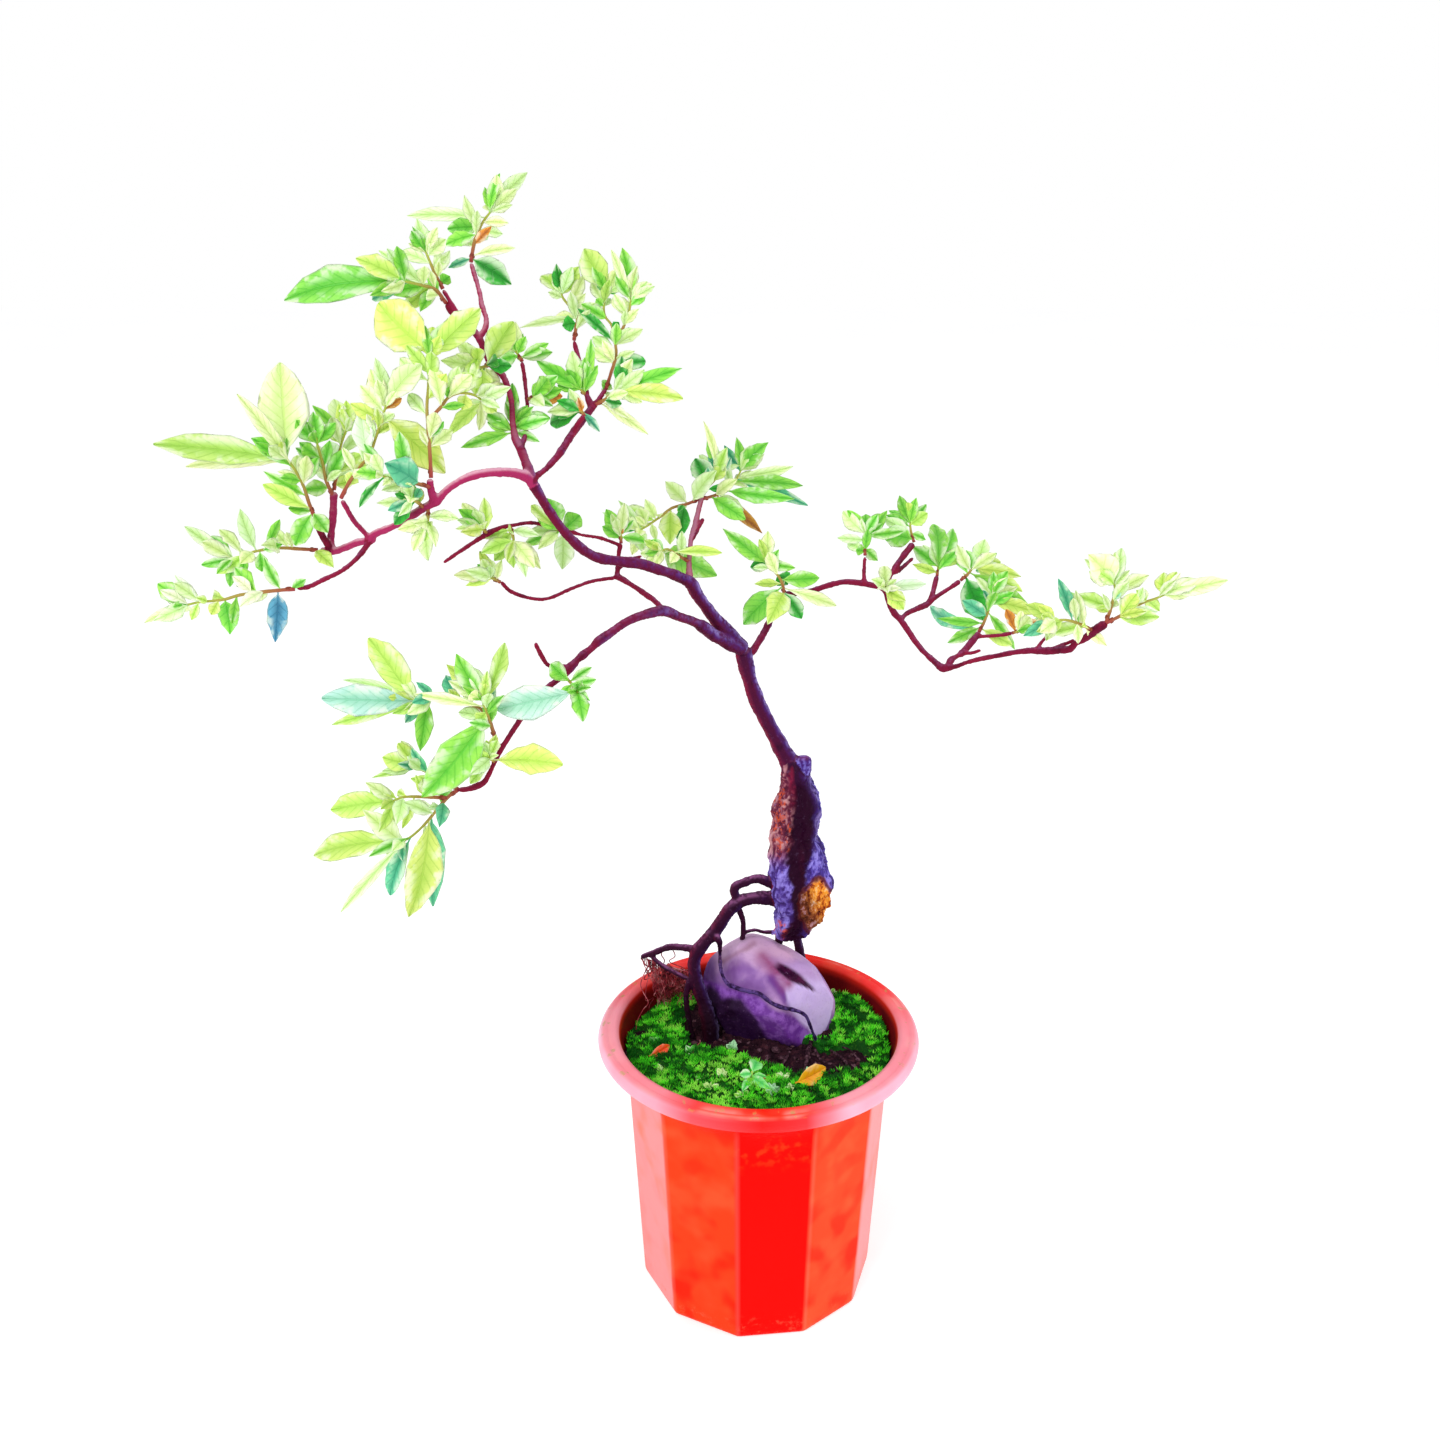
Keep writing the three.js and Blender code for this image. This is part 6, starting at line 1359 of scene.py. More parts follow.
def fused(skin, voxel_mm):
    """Overlapping tubes as one smooth closed skin: corners, faces and outward directions."""
    rough = skin.mesh("wood_draft")
    draft = bpy.data.objects.new("wood_draft", rough)
    bpy.context.scene.collection.objects.link(draft)
    remesh = draft.modifiers.new("fuse", "REMESH")
    remesh.mode = "VOXEL"
    remesh.voxel_size = voxel_mm * MM
    smooth = draft.modifiers.new("soften", "SMOOTH")
    smooth.iterations = WOOD_SOFTENING
    smooth.factor = 0.5
    bpy.context.view_layer.update()
    graph = bpy.context.evaluated_depsgraph_get()
    made = bpy.data.meshes.new_from_object(draft.evaluated_get(graph))
    corners = np.zeros((len(made.vertices), 3))
    normals = np.zeros((len(made.vertices), 3))
    made.vertices.foreach_get("co", corners.ravel())
    made.vertex_normals.foreach_get("vector", normals.ravel())
    faces = [tuple(face.vertices) for face in made.polygons]
    bpy.data.objects.remove(draft)
    bpy.data.meshes.remove(rough)
    bpy.data.meshes.remove(made)
    return corners / MM, faces, normals


def blended(corners, faces, amount, rounds):
    """Corners moved towards their neighbours, by each corner's own amount."""
    edges = [(a, b) for face in faces for a, b in zip(face, face[1:] + face[:1])]
    first, second = np.array(edges).T
    count = np.bincount(first, minlength=len(corners))
    for _ in range(rounds):
        sums = [np.bincount(first, values, len(corners)) for values in corners[second].T]
        middle = np.column_stack(sums)
        corners = corners + (middle / count[:, None] - corners) * amount[:, None]
    return corners


def wood_piece(name, wood, voxel_mm, material):
    """The fused wood with its bark pushed out of it, and the marks that its finish reads."""
    corners, faces, normals = fused(wood.skin, voxel_mm)
    girths = np.array(wood.girths)
    middles = np.array(wood.middles)
    thick = girths[wood.nearest(corners)]
    corners = blended(corners, faces, smooth_step(2.5, 8.0, thick) * 0.6, BLEND_ROUNDS)
    near = wood.nearest(corners)
    girth = girths[near]
    along = wood.directions()[near]
    squeezed = corners - along * (corners * along).sum(1)[:, None] * BARK_STRETCH
    ridge = bumps(squeezed * 0.55) + 0.55 * bumps(squeezed * 1.2 + 9)
    size = np.clip(girth / 14.0, 0.05, 1.0)
    depth = ridge * (0.1 + 0.75 * size) + bumps(corners * 0.13) * size * 2.4
    off = np.abs((corners - middles[near]) @ EYE_RIGHT) / girth
    facing = smooth_step(0.3, 0.8, -normals[:, 1])
    hollow = smooth_step(0.42, 0.12, off) * facing * smooth_step(7, 11, girth)
    points = corners + normals * (depth - hollow * TRUNK_HOLLOW)[:, None]
    across, down = as_seen(points)
    rough = crumbs(points * 0.16, 1.0, 2.0, 3)
    wound = np.clip(seen_patch(across, down, WOUND) * 1.6 + rough * 0.5 - 0.25, 0, 1)
    wound = wound * (seen_patch(across, down, WOUND) > 0) * (girth > 6)
    points = points - normals * (wound * (1.2 + 1.4 * np.abs(rough)))[:, None]
    core_down, core_middle, core_half = columns(TRUNK_CORE)
    aside = across - np.interp(down, core_down, core_middle)
    aside = aside / np.interp(down, core_down, core_half) + rough * 0.45
    bole = girth > 5.5
    kinds = np.array(wood.kinds)[wood.nearest(points)]
    flush = np.array([FLUSH.get(kind, 0.0) for kind in wood.kinds])[near]
    face_root = kinds == "face_root"
    # left and right carry painted highlights on the trunk's flanks beside its dark hollow; side paints
    # highlights by which way a face turns, and upper is where painted highlights fall on upward faces
    skin = Skin().add(
        points, faces, girth=girth, ridge=np.clip(0.5 + ridge * 0.6, 0, 1), flush=flush, wound=wound,
        rust=seen_patches(across, down, RUST_PATCHES) * (girth > 5),
        left=smooth_step(0.6, 1.35, -aside) * bole,
        right=np.maximum(smooth_step(0.6, 1.35, aside) * bole, np.isin(kinds, list(KNOBS)) * 0.9),
        side=normals @ EYE_RIGHT, upper=smooth_step(0.2, 0.9, normals[:, 2]),
        decay=smooth_step(-12, 12, (down - WOUND_HEART[1]) * 0.5 - (across - WOUND_HEART[0])),
        low=smooth_step(*TRUNK_LOW, down), root=np.isin(kinds, list(ROOTS)) | face_root,
        inky=face_root * smooth_step(*FACE_ROOT_INKY, down))
    make_piece(name, skin, material, "bark", "trunk_and_roots")


def leaf_outline(t, belly, tip_draw):
    """Half width up a blade as a share of its widest, after a short stalk."""
    open_share = np.clip((t - STALK_SHARE) / (1 - STALK_SHARE), 0, 1)
    low = 0.8 + 0.35 * belly
    high = 0.86 + 0.36 * tip_draw
    peak = low / (low + high)
    return open_share ** low * (1 - open_share) ** high / (peak ** low * (1 - peak) ** high)


def leaf_frame(base, tip, seed):
    """A blade's directions along, aside and out of its face, and its length."""
    length = float(np.linalg.norm(tip - base))
    along = (tip - base) / length
    side = unit(np.cross(along, unit(base - EYE)))
    roll = (draw(seed) - 0.5) * BLADE_ROLL
    side = side * math.cos(roll) + np.cross(along, side) * math.sin(roll)
    normal = unit(np.cross(side, along))
    if normal[2] < 0:
        return along, -side, -normal, length
    return along, side, normal, length


def add_blade(skin, base, tip, width, seed, tones, thickness, grid=LEAF_GRID, veined=1.0):
    """One leaf: arched, folded on its rib, a little waved at its edges, thin and closed."""
    along, side, normal, length = leaf_frame(base, tip, seed)
    t = grid[0][:, None]
    spots = grid[1]
    away = np.abs(spots)
    wobble = 1 + 0.05 * np.sin(t * 17 + seed) + 0.03 * np.sin(t * 31 + 2 * seed)
    half = np.maximum(width / 2 * leaf_outline(t, draw(seed + 0.1), draw(seed + 0.2)), 0.0) * wobble
    offset = np.maximum(half, np.where(t < 0.5, 0.42, 0.08)) * spots
    arch = BLADE_ARCH * length * (0.4 + draw(seed + 0.5))
    rib = base + along * (length * t) + normal * (arch * 4 * t * (1 - t))
    flat = rib[:, None, :] + offset[..., None] * side
    phase = TURN * ((2.5 + 3 * draw(seed + 0.3)) * t + draw(seed + 0.4) + 0.18 * np.sign(spots))
    wave = BLADE_WAVE * width * np.sin(phase) * away ** 2 * np.clip(half / (width / 2 + 1e-6), 0, 1)
    veins = max(4.0, min(9.0, length / 4.5))
    quilt = BLADE_QUILT * width * np.cos(TURN * (t - away * 0.22) * veins) * away * (1 - away) * 4
    lift = np.abs(offset) * BLADE_FOLD + (wave + quilt) * veined
    swell = 0.55 + 0.45 * np.sin(np.clip(t, 0, 1) * math.pi) ** 0.5
    thick = thickness / 2 * np.sqrt(np.clip(1 - spots ** 2, 0, 1)) * swell
    groove = BLADE_GROOVE * thickness * np.exp(-(spots / 0.12) ** 2)
    keel = BLADE_KEEL * thickness * np.exp(-(spots / 0.14) ** 2) * (1.1 - t)
    top = flat + (lift + thick - groove)[..., None] * normal
    under = flat + (lift - thick - keel)[..., None] * normal
    rings = np.concatenate([top, under[:, -2:0:-1]], axis=1)
    both_sides = np.concatenate([spots, spots[-2:0:-1]])
    spot = [(place, aside, 0) for place in grid[0] for aside in both_sides]
    skin.loft(rings, spot=spot + [(0, 0, 0), (1, 0, 0)], tone=tones[0], heart=tones[1],
              veined=veined, vein_count=veins)


def leaf_colours(letter, seed):
    """A blade's tone and heart, each a little different from its neighbours'."""
    warm = 1 + 0.25 * (draw(seed + 0.6) - 0.5)
    light = 1 + 0.28 * (draw(seed + 0.7) - 0.5)
    pair = []
    for text in LEAF_TONES[letter]:
        red, green, blue = linear(text)
        pair.append([min(1, red * light * warm), min(1, green * light), blue * light, 1.0])
    return pair


def add_stem(skin, points, radii, tones):
    """A stem that thins and changes colour from its base to its end."""
    (fine,) = smooth_route(points, STEM_STEP)
    part = np.linspace(0, 1, len(fine))
    bulges = 1 + 0.1 * np.sin(part * 40) * np.sin(part * 17)
    girth = (radii[0] + (radii[1] - radii[0]) * part) * bulges
    tone, heart = np.array([solid_colour(text) for text in tones])
    colour = np.repeat(tone + (heart - tone) * part[:, None], STEM_SIDES, axis=0)
    colour = np.concatenate([colour, colour[:1], colour[-1:]])
    skin.tube(fine, girth, STEM_SIDES, spot=(0, 0.5, 0), tone=colour, heart=colour, veined=0.0,
              vein_count=4.0)


def around(along, level, turn):
    """The direction at a turn round a line; level only sets where the turns begin."""
    across = unit(np.cross(along, level))
    return across * math.cos(turn) + np.cross(along, across) * math.sin(turn)


def add_bud(skin, point, along, seed, which):
    """Small pointed scales round the base of a shoot, which is 0, or round its end, which is 1."""
    tones = [solid_colour(BUD_TONES[which]), solid_colour(BUD_HEART)]
    seed += BUD_SEEDS[which]
    size = BUD_SIZES[which]
    for k in range(BUD_SCALES):
        out = around(along, [0.3, 0.8, 0.52], TURN * (k / BUD_SCALES + draw(seed + k)))
        base = point + out * 0.25
        tip = point + along * size * (0.7 + 0.5 * draw(seed + k + 0.3)) + out * size * 0.4
        add_blade(skin, base, tip, size * 0.55, seed + k, tones, SCALE_THICKNESS, SCALE_GRID, 0.0)


def spaced_leaves(points, leaves):
    """Leaves in order down a stem, none nearer along it than their spacing."""
    length = step_lengths(points).sum()
    spacing = min(BLADE_SPACING / length, 0.7 / len(leaves))
    room = 1.0
    for leaf in sorted(leaves, key=lambda one: -one[0]):
        place = max(min(leaf[0], room), min(FIRST_LEAF / length, 0.6))
        room = place - spacing
        yield (place, *leaf[1:])


def leaf_tip(point, base, across, down, seed, solid):
    """Where the model's own leaf ends, or else where a leaf that it leaves out would end."""
    seen = float(np.linalg.norm(seen_at_depth(across, down, point[1]) - point))
    slant = -seen if draw(seed + 0.25) < 0.5 else seen
    nearest = TIP_GAP
    found = (seen_at_depth(across, down, point[1] + TIP_DEPTHS[0] * slant), 1.0)
    for shrink in TIP_SHRINKS:
        for slope in TIP_DEPTHS:
            tip = seen_at_depth(across, down, point[1] + slope * slant)
            tip = tip + (base - tip) * (1 - shrink)
            gap = float(np.linalg.norm(solid - tip, axis=1).min())
            if gap < nearest:
                nearest = gap
                found = (tip, shrink)
    return found


def add_young_leaves(skin, stem, letters, seed, thickness):
    """Small leaves between the main ones: a rosette at the stem's end and a few down its length."""
    for k in range(ROSETTE_LEAVES + int(step_lengths(stem).sum() / YOUNG_SPACING)):
        pick = seed * 0.37 + k * 1.9
        if k < ROSETTE_LEAVES:
            share = 0.97
            spread = 0.45 + 0.75 * draw(pick)
        else:
            share = 0.2 + 0.7 * draw(pick + 0.15)
            spread = 0.9 + 0.4 * draw(pick)
        point, along = point_along(stem, share)
        out = around(along, [0.25, 0.9, 0.35], k * GOLDEN_TURN + seed)
        way = unit(along * math.cos(spread) + out * math.sin(spread) + np.array([0, 0, 0.25]))
        reach = YOUNG_LENGTH * (0.6 + 0.75 * draw(pick + 0.45))
        letter = letters[int(draw(pick + 0.9) * len(letters)) % len(letters)]
        if letter in "obm":
            letter = "g"
        if draw(pick + 0.33) < YOUNG_PALE_SHARE:
            letter = "p"
        width = reach * (0.36 + 0.16 * draw(pick + 0.7))
        add_blade(skin, point - along * BLADE_SINK, point + way * reach, width, pick + YOUNG_SEED,
                  leaf_colours(letter, pick), thickness, YOUNG_GRID)


def shoot_skin(name, text, seed, thickness):
    """One leafy shoot: its stems, bud scales and leaves. Gives back the next leaf's seed."""
    solid = np.array([v.co[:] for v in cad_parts["shoot_" + name].data.vertices]) / MM
    skin = Skin()
    for spray in text.split(";"):
        text_stem, text_leaves = spray.split("/")
        stem = np.array([seen_at_depth(*row) for row in rows(text_stem)])
        leaves = lettered_rows(text_leaves)
        start = unit(stem[1] - stem[0])
        end = unit(stem[-1] - stem[-2])
        add_stem(skin, stem, STEM_RADII, STEM_TONES)
        add_bud(skin, stem[0] + start * 1.2, start, seed, 0)
        for place, across, down, width, letter in spaced_leaves(stem, leaves):
            seed += 1
            point, along = point_along(stem, place)
            base = point - along * BLADE_SINK
            tip, shrink = leaf_tip(point, base, across, down, seed, solid)
            gain = SMALL_GAIN if width < SMALL_WIDTH else WIDE_GAIN
            wide = max(width * step_size(point) * shrink, 2.0) * gain
            add_blade(skin, base, tip, wide, seed, leaf_colours(letter, seed), thickness)
        add_bud(skin, stem[-1] - end * 0.6, end, seed, 1)
        add_young_leaves(skin, stem, [leaf[4] for leaf in leaves], seed, thickness)
    return skin, seed


def ground_spots(reach, rings, turns):
    """Rings of spots over the ground, from the wall to the middle."""
    shares = np.linspace(1, 0.012, rings)[:, None]
    angles = np.arange(turns) * TURN / turns
    radius = reach * shares * np.ones(turns)
    return radius * np.cos(angles), radius * np.sin(angles), shares


def stacked(x, y, height):
    """Rings of points from their parts."""
    return np.stack([x, y, height], axis=-1)


def soil_skin():
    """The soil down to the pot's floor, with a crumbly top."""
    x, y, shares = ground_spots(SOIL_REACH, *SOIL_GRID)
    angles = np.arange(SOIL_GRID[1]) * TURN / SOIL_GRID[1]
    wall = [ring(reach, angles, height) for reach, height in rows(SOIL_WALL)]
    spots = stacked(x * 0.35, y * 0.35, x * 0).reshape(-1, 3)
    grit = crumbs(spots, 0.7, 2.1, 4).reshape(x.shape)
    grit = grit + 0.5 * ground_bumps(x, y, 1.1, 5)
    height = soil_height(x, y) + grit * 1.5 * np.minimum(1, (1 - shares) * 12 + 0.1) - 0.6
    return Skin().loft(wall + list(stacked(x, y, height)))


def moss_height(x, y, depth):
    """Where moss grows, one on a full cushion and none on bare soil, and how high its mat stands."""
    across, down = as_seen(stacked(x, y, soil_height(x, y)))
    cloud = ground_bumps(x, y, 0.09, 1.7) + 0.5 * ground_bumps(x, y, 0.25, 4.1)
    cover = smooth_step(0.1, 0.5, 0.7 - seen_patches(across, down, BARE_PATCHES) * 1.15 + cloud * 0.75)
    lumps = ground_bumps(x, y, 0.3, 8) + 0.5 * ground_bumps(x, y, 0.8, 2)
    swell = seen_patch(across, down, SWELL_PATCH) * SWELL_HEIGHT
    return cover, soil_height(x, y) - 2.5 + cover * (3.3 + swell + depth * (0.6 + 0.5 * lumps))


def moss_mat(depth):
    """The mat under the moss's tips: it rises out of the soil where moss grows."""
    x, y, shares = ground_spots(SOIL_REACH - 1.2, *MOSS_GRID)
    height = np.minimum(moss_height(x, y, depth)[1], MOSS_CEILING + 32 * (1 - shares))
    floor = np.full(MOSS_GRID[1], SOIL_LEVEL - GROUND_CLEARANCE)
    rings = [stacked(x[0] * 0.9, y[0] * 0.9, floor), stacked(x[0], y[0], floor), *stacked(x, y, height)]
    return Skin().loft(rings, tone=solid_colour(MAT_TONE))


def add_spike(skin, foot, way, rise, thick, colour):
    """One leaf of a moss plant: a closed spike of three sides."""
    corners = []
    for base, wide in ((foot, thick * 0.7), (foot + way * rise * 0.45, thick)):
        corners += [base + around(way, [0.2, 0.3, 0.93], side * TURN / 3) * wide for side in range(3)]
    # Darker at the foot, a painted shade low in the moss, and paler at the point
    tone = np.clip(np.outer(SPIKE_SHADES, colour), 0, 1)
    skin.add(corners + [foot + way * rise], SPIKE_FACES, tone=tone)


def moss_colour(foot, pick):
    """A moss plant's colour: deep, fresh or lime, by its patch of ground."""
    deep, fresh, lime = np.array([solid_colour(text) for text in MOSS_TONES])
    seen = as_seen(foot)
    patch = noise.noise(Vector((foot[0] * 0.12, foot[1] * 0.12, 3)))
    light = 0.42 + patch * 1.5 + 0.7 * (pick - 0.5)
    light = light + 0.45 * seen_patch(*seen, LIME_PATCH) - 0.35 * seen_patch(*seen, DIM_PATCH)
    light = min(max(light, 0), 1)
    return deep + (fresh - deep) * min(light * 1.5, 1) + (lime - fresh) * max(light - 0.62, 0)


def moss_tips(count, length, depth):
    """Small leafy moss plants, each a star of closed spikes."""
    skin = Skin()
    made = 0
    tries = 0
    while made < count and tries < count * 3:
        tries += 1
        turn = TURN * draw(tries + 0.11)
        reach = (SOIL_REACH - 2.0) * math.sqrt(draw(tries + 0.37))
        x = reach * math.cos(turn)
        y = reach * math.sin(turn)
        cover, height = moss_height(x, y, depth)
        if cover < PLANT_COVER or draw(tries + 0.53) > cover:
            continue
        foot = np.array([x, y, height - 0.4])
        colour = moss_colour(foot, draw(tries + 0.71))
        rise = length * (0.65 + 0.7 * draw(tries + 0.83))
        for k in range(SPIKE_COUNT):
            spin = turn * 3 + k * TURN / SPIKE_COUNT + draw(tries + k)
            lean = 0.25 + 0.65 * draw(tries * 1.7 + k)
            way = unit(np.array([math.cos(spin) * lean, math.sin(spin) * lean, 1.0]))
            add_spike(skin, foot, way, rise, 0.24 + 0.12 * draw(tries + k * 0.3), colour)
        made += 1
    return skin


def weed_skin(thickness):
    """Small rosettes of leaves among the moss."""
    skin = Skin()
    for n, (across, down, reach, count, letter) in enumerate(lettered_rows(WEEDS)):
        foot = held_in(on_soil(across, down, 1.5))
        tone = np.array(solid_colour(WEED_TONES[letter]))
        for k in range(int(count)):
            turn = k * GOLDEN_TURN + n
            way = unit(np.array([math.cos(turn), math.sin(turn), 0.35 + 0.9 * draw(n + k * 0.7)]))
            long = reach * (0.7 + 0.5 * draw(n * 1.3 + k))
            lit = tone * (0.75 + 0.5 * draw(n + k * 1.9))
            tones = (np.minimum(lit, 1), lit * 0.6)
            add_blade(skin, foot, foot + way * long, long * 0.55, n * 9 + k, tones, thickness,
                      YOUNG_GRID)
    return skin


def clod_skin():
    """Broken lumps of soil and bark, and dead roots, lying on the bare ground."""
    skin = Skin()
    corners, faces = ball(2)
    lumps = [(on_soil(across, down, 0.2), half) for across, down, half in rows(CLODS)]
    patches = rows(BARE_PATCHES)
    for n in range(CLOD_SCATTER):
        middle_across, middle_down, half_across, half_down = patches[n % len(patches)]
        across = middle_across + half_across * 1.4 * (draw(n + 0.2) - 0.5)
        down = middle_down + half_down * 1.4 * (draw(n + 0.6) - 0.5)
        spot = on_soil(across, down, 0.1)
        if math.hypot(spot[0], spot[1]) < SOIL_REACH - GROUND_CLEARANCE:
            lumps.append((spot, 0.4 + 0.9 * draw(n + 0.8) ** 2))
    for n, (spot, half) in enumerate(lumps):
        squash = np.array([1, 0.6 + 0.5 * draw(n + 0.1), 0.45 + 0.3 * draw(n + 0.9)])
        rough = 1 + CLOD_ROUGHNESS * bumps(corners * 1.3 + n)
        skin.add(spot + corners * squash * half * rough[:, None], faces)
    for route in GROUND_ROOTS:
        across, down, half = columns(route)
        points = np.array([held_in(on_soil(*seen, 0.5)) for seen in zip(across, down)])
        fine, radii = smooth_route(points, 0.8, half)
        skin.tube(fine, radii * (1 + 0.35 * bumps(fine * 0.5)), 8)
    return skin


def hanging_threads():
    """The starts and ends of the read root hairs, then of the fringe between two spots."""
    for across, down, depth, end_across, end_down in rows(THREADS):
        yield seen_at_depth(across, down, depth), held_in(on_soil(end_across, end_down, 1.0))
    for n in range(THREAD_FRINGE):
        across, down, depth = FRINGE_START + (FRINGE_END - FRINGE_START) * draw(n + 60.5)
        end_across = across + FRINGE_LANDING[0] + FRINGE_SPREAD[0] * draw(n + 71.3)
        end_down = FRINGE_LANDING[1] + FRINGE_SPREAD[1] * draw(n + 83.1)
        yield seen_at_depth(across, down, depth), held_in(on_soil(end_across, end_down, 1.0))


def thread_skin(radius):
    """Fine wandering roots."""
    skin = Skin()
    share = np.linspace(0, 1, THREAD_SPOTS)[:, None]
    for n, (start, end) in enumerate(hanging_threads()):
        wander = np.array([bumps([(n * 3.7, k * 0.9, axis * 5.1) for axis in range(3)])
                           for k in range(THREAD_SPOTS)])
        reach = np.linalg.norm(end - start) * THREAD_WANDER
        wander = wander * reach * np.sin(share * math.pi) ** 0.6
        points = start + (end - start) * share + wander
        points = np.array([held_in(p) if p[2] < RIM_TOP else p for p in points])
        (fine,) = smooth_route(points, THREAD_STEP)
        radii = radius * (1.15 - 0.6 * np.linspace(0, 1, len(fine))) * (0.7 + 0.6 * draw(n + 0.4))
        skin.tube(fine, radii, 6)
    return skin


def length_property(name, description, millimetres):
    return FloatProperty(name=name, description=description, default=millimetres * MM,
                         unit="LENGTH")


def colour_property(name, description, text):
    return FloatVectorProperty(name=name, description=description, default=linear(text),
                               subtype="COLOR")


def share_property(name, description, part):
    return FloatProperty(name=name, description=description, default=part, min=0, max=1,
                         subtype="FACTOR")


class BonsaiPotSize(PropertyGroup):
    base_radius: length_property("Foot reach", "Reach of the body's corners at the foot", 66.8)
    neck_radius: length_property("Neck reach", "Reach of the body under the rim", 74.5)
    rim_radius: length_property("Rim reach", "Outside reach of the rolled rim", 90)
    mouth_radius: length_property("Mouth reach", "Reach of the opening inside the rim", 78)
    front_colour: colour_property("Front panel", "Deep red of the panel in front", "#fb0400")
    side_colour: colour_property("Side panels", "Orange of the panels beside it", "#fa4204")
    # The pale panels' pink is a painted sheen of the lights
    panel_sheen_colour: colour_property("Pale panels", "Pink of the panels at the sides", "#fb9496")


class BonsaiGroundSize(PropertyGroup):
    moss_depth: length_property("Moss depth", "How far a moss cushion stands over the soil", 2.2)
    moss_length: length_property("Moss length", "Length of one moss plant", 3.0)
    moss_count: IntProperty(name="Moss plants", description="How many moss plants stand on the mat",
                            default=3700, min=0)
    thread_radius: length_property("Root hair", "Radius of the finest hanging roots", 0.26)


class BonsaiWoodSize(PropertyGroup):
    trunk_grain: length_property("Trunk grain", "Size of the smallest fold kept on the trunk", 0.72)
    twig_grain: length_property("Twig grain", "Size of the smallest fold kept on the twigs", 0.66)


class BonsaiLeafSize(PropertyGroup):
    thickness: length_property("Blade thickness", "Thickness of a leaf beside its rib", 0.34)
    vein_strength: share_property("Veins", "How clearly the veins show", 0.6)
    # A painted glow, by emission, standing in for light through a thin blade
    glow: share_property("Light through", "Light that comes through a thin blade", 0.1)


class BonsaiStageLight(PropertyGroup):
    key_power: FloatProperty(name="Key light", description="Power of the large light at the front left",
                             default=17, unit="POWER")
    side_power: FloatProperty(name="Side light", description="Power of the long light at the right",
                              default=5, unit="POWER")
    sky_strength: FloatProperty(name="Surround", description="Light from the white surround",
                                default=0.66)
    backdrop_strength: FloatProperty(name="Backdrop", description="Whiteness of the surround as seen",
                                     default=1.0)


class BONSAI_OT_camera(Operator):
    """Set the camera where the tree was seen from"""

    bl_idname = "bonsai.camera"
    bl_label = "Camera"

    def execute(self, context):
        lens = bpy.data.cameras.new("view")
        lens.sensor_width = 36
        lens.lens = lens.sensor_width * EYE_FOCAL / (2 * EYE_CENTRE)
        lens.clip_start = 0.01
        camera = bpy.data.objects.new("view", lens)
        camera.location = EYE * MM
        camera.rotation_euler = (math.pi / 2 - EYE_PITCH, 0, 0)
        context.scene.collection.objects.link(camera)
        context.scene.camera = camera
        return {"FINISHED"}


class BONSAI_OT_pot(Operator):
    """Make the twelve-sided plastic pot with its rolled rim"""

    bl_idname = "bonsai.pot"
    bl_label = "Pot"

    def execute(self, context):
        size = context.scene.bonsai_pot
        make_piece("pot_shell", pot_shell(size), pot_finish(size), "pot_plastic", "pot")
        return {"FINISHED"}


class BONSAI_OT_stone(Operator):
    """Make the mauve stone under the roots"""

    bl_idname = "bonsai.stone"
    bl_label = "Stone"

    def execute(self, context):
        make_piece("mauve_stone", stone_skin(), stone_finish(), "stone", "stone")
        return {"FINISHED"}


class BONSAI_OT_ground(Operator):
    """Make the soil, the clods, the moss mat and the moss plants on it"""

    bl_idname = "bonsai.ground"
    bl_label = "Soil and moss"

    def execute(self, context):
        size = context.scene.bonsai_ground
        depth = size.moss_depth / MM
        make_piece("soil_ground", soil_skin(), soil_finish(), "soil", "soil")
        make_piece("soil_clods", clod_skin(), clod_finish(), "soil")
        green = moss_finish()
        make_piece("moss_mat", moss_mat(depth), green, "leaf_dark")
        plants = moss_tips(size.moss_count, size.moss_length / MM, depth)
        make_piece("moss_plants", plants, green, "leaf_dark")
        return {"FINISHED"}


class BONSAI_OT_wood(Operator):
    """Make the trunk and roots, the boughs and twigs, and the hanging root hairs"""

    bl_idname = "bonsai.wood"
    bl_label = "Wood"

    def execute(self, context):
        size = context.scene.bonsai_wood
        bark = bark_finish()
        low = Wood()
        low.trunk()
        run = 0
        for name, text in ROOTS.items():
            run += 1
            low.limb(*read_route(text), name, run, low.outside)
        low.limb(*face_root_route(), "face_root", run + 1, knobby=1.6)
        run += 1
        for name, text in KNOBS.items():
            run += 1
            low.limb(*read_route(text), name, run)
        low.limb(*read_route(LIMBS["trunk"]), "bole", run + 1, low.outside)
        wood_piece("trunk_and_root_bark", low, size.trunk_grain / MM, bark)
        high = Wood()
        for name, text in LIMBS.items():
            if name != "trunk":
                run += 1
                high.limb(*read_route(text), name, run)
        wood_piece("bough_bark", high, size.twig_grain / MM, bark)
        radius = context.scene.bonsai_ground.thread_radius / MM
        make_piece("root_hairs", thread_skin(radius), thread_finish(), "bark")
        return {"FINISHED"}


class BONSAI_OT_shoots(Operator):
    """Make every leafy shoot"""

    bl_idname = "bonsai.shoots"
    bl_label = "Leafy shoots"

    def execute(self, context):
        size = context.scene.bonsai_leaves
        blade = leaf_finish(size)
        seed = 0
        for name, text in SHOOTS.items():
            skin, seed = shoot_skin(name, text, seed, size.thickness / MM)
            make_piece("leaves_" + name, skin, blade, SHOOT_SLOTS.get(name, "leaf"), "shoot_" + name)
        return {"FINISHED"}


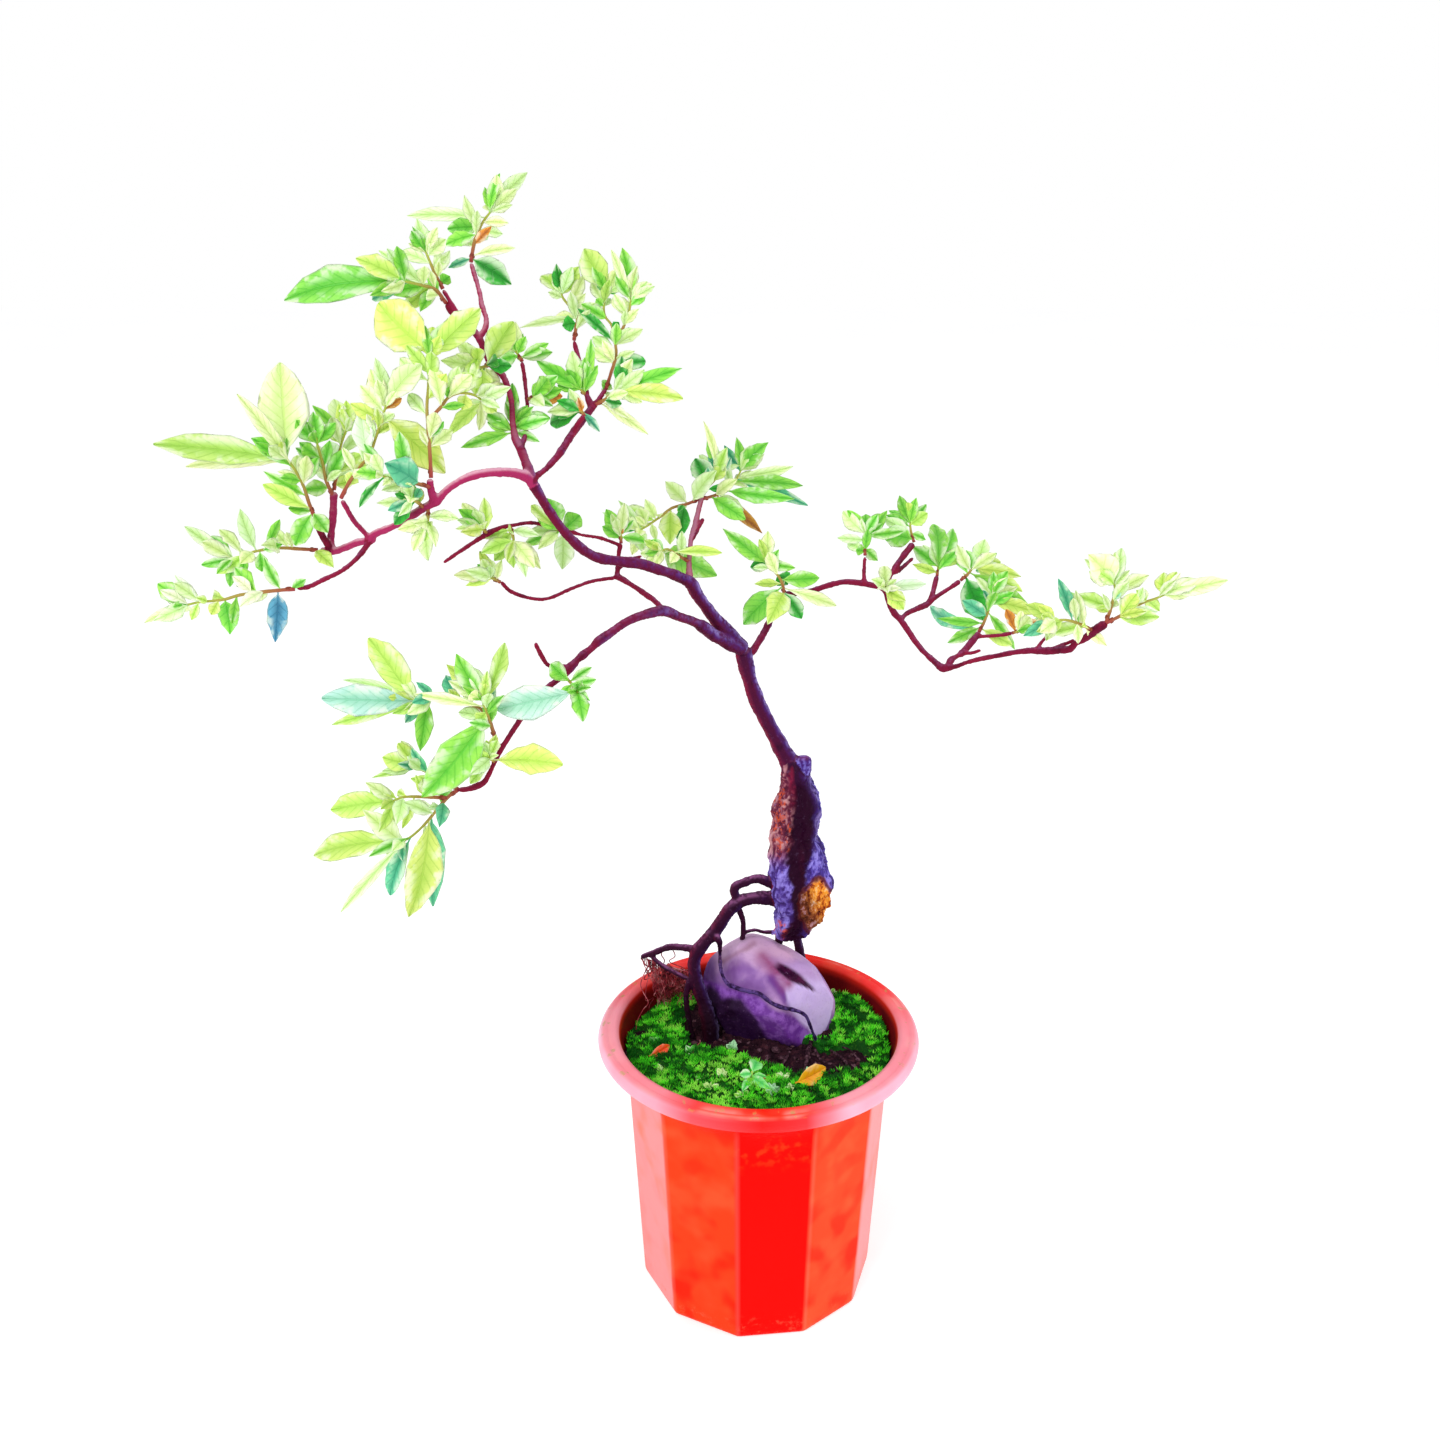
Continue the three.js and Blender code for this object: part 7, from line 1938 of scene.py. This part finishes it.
class BONSAI_OT_litter(Operator):
    """Make the seedling, the weeds and the two fallen leaves on the moss"""

    bl_idname = "bonsai.litter"
    bl_label = "Seedling, weeds and fallen leaves"

    def execute(self, context):
        blade = bpy.data.materials["leaf_skin"]
        thickness = context.scene.bonsai_leaves.thickness / MM
        for name, (across, down, tip_across, tip_down, width, *tones) in FALLEN_LEAVES.items():
            skin = Skin()
            base = on_soil(across, down, FALLEN_LIFT)
            tip = on_soil(tip_across, tip_down, FALLEN_LIFT)
            pair = [solid_colour(tone) for tone in tones]
            add_blade(skin, base, tip, width * step_size(base), 3, pair,
                      thickness + FALLEN_EXTRA_THICKNESS, veined=FALLEN_VEINED)
            make_piece(name + "_blade", skin, blade, "leaf_dead", name)
        make_piece("ground_weeds", weed_skin(thickness), blade, "leaf")
        skin = Skin()
        foot = on_soil(*SEEDLING_FOOT, -4)
        top = foot + np.array([0, -1, SEEDLING_HEIGHT])
        line = np.array([foot, (foot + top) / 2, top])
        add_stem(skin, line, SEEDLING_STEM_RADII, SEEDLING_STEM_TONES)
        tones = [solid_colour(tone) for tone in SEEDLING_TONES]
        for i, (place, across, down, width) in enumerate(rows(SEEDLING_LEAVES)):
            point, along = point_along(line, place)
            tip = on_soil(across, down, SEEDLING_LEAF_LIFT)
            wide = width * step_size(point) * SEEDLING_GAIN
            add_blade(skin, point - along * BLADE_SINK, tip, wide, SEEDLING_SEED + i, tones,
                      thickness)
        make_piece("seedling_plant", skin, blade, "leaf", "seedling")
        return {"FINISHED"}


class BONSAI_OT_stage(Operator):
    """Make the pale floor, the soft lights and the white surround"""

    bl_idname = "bonsai.stage"
    bl_label = "Stage"

    def execute(self, context):
        light = context.scene.bonsai_stage
        skin = bpy.data.meshes.new("floor")
        corners = [(-FLOOR_REACH, -FLOOR_REACH, 0), (FLOOR_REACH, -FLOOR_REACH, 0),
                   (FLOOR_REACH, FLOOR_REACH, 0), (-FLOOR_REACH, FLOOR_REACH, 0)]
        skin.from_pydata(corners, [], [(0, 1, 2, 3)])
        floor = bpy.data.objects.new("floor", skin)
        pale = Finish("floor_pale", roughness=0.9, Specular_IOR_Level=0.1)
        pale.set(Base_Color=pale.mix(pale.noise(400.0), "#f1f1f3", "#f6f6f6"), Emission_Color="#ffffff",
                 Emission_Strength=0.4)
        skin.materials.append(pale.material)
        context.scene.collection.objects.link(floor)
        world = bpy.data.worlds.new("surround")
        world.use_nodes = True
        sky = world.node_tree.nodes["Background"]
        sky.inputs["Color"].default_value = (1, 1, 1, 1)
        straight = world.node_tree.nodes.new("ShaderNodeLightPath")
        strength = world.node_tree.nodes.new("ShaderNodeMapRange")
        strength.inputs["To Min"].default_value = light.sky_strength
        strength.inputs["To Max"].default_value = light.backdrop_strength
        world.node_tree.links.new(straight.outputs["Is Camera Ray"], strength.inputs["Value"])
        world.node_tree.links.new(strength.outputs[0], sky.inputs["Strength"])
        context.scene.world = world
        context.scene.view_settings.view_transform = "Standard"
        for name, spot, reach, power in (("key", (-0.9, -1.1, 1.5), 1.1, light.key_power),
                                         ("side", (1.1, -0.2, 0.9), 0.8, light.side_power)):
            lamp = bpy.data.lights.new(name, "AREA")
            lamp.size = reach
            lamp.energy = power
            holder = bpy.data.objects.new(name, lamp)
            holder.location = spot
            way = Vector(LIGHT_AIM) - Vector(spot)
            holder.rotation_euler = way.to_track_quat("-Z", "Y").to_euler()
            context.scene.collection.objects.link(holder)
        return {"FINISHED"}


class BONSAI_PT_panel(Panel):
    """Lists the pieces and their sizes"""

    bl_idname = "BONSAI_PT_panel"
    bl_label = "Azalea bonsai"
    bl_space_type = "VIEW_3D"
    bl_region_type = "UI"
    bl_category = "Bonsai"

    def draw(self, context):
        for operator in OPERATORS:
            self.layout.operator(operator.bl_idname)
        for name in GROUPS:
            group = getattr(context.scene, name)
            box = self.layout.box()
            for key in group.__annotations__:
                box.prop(group, key)


GROUPS = {
    "bonsai_pot": BonsaiPotSize,
    "bonsai_ground": BonsaiGroundSize,
    "bonsai_wood": BonsaiWoodSize,
    "bonsai_leaves": BonsaiLeafSize,
    "bonsai_stage": BonsaiStageLight,
}
OPERATORS = (BONSAI_OT_camera, BONSAI_OT_pot, BONSAI_OT_stone, BONSAI_OT_ground, BONSAI_OT_wood,
             BONSAI_OT_shoots, BONSAI_OT_litter, BONSAI_OT_stage)


def register():
    for made in (*GROUPS.values(), *OPERATORS, BONSAI_PT_panel):
        bpy.utils.register_class(made)
    for name, group in GROUPS.items():
        setattr(bpy.types.Scene, name, PointerProperty(type=group))


def unregister():
    for name in GROUPS:
        delattr(bpy.types.Scene, name)
    for made in (BONSAI_PT_panel, *reversed(OPERATORS), *GROUPS.values()):
        bpy.utils.unregister_class(made)


def main():
    register()
    bpy.ops.bonsai.camera()
    bpy.ops.bonsai.pot()
    bpy.ops.bonsai.stone()
    bpy.ops.bonsai.ground()
    bpy.ops.bonsai.wood()
    bpy.ops.bonsai.shoots()
    bpy.ops.bonsai.litter()
    bpy.ops.bonsai.stage()


if __name__ == "__main__":
    main()
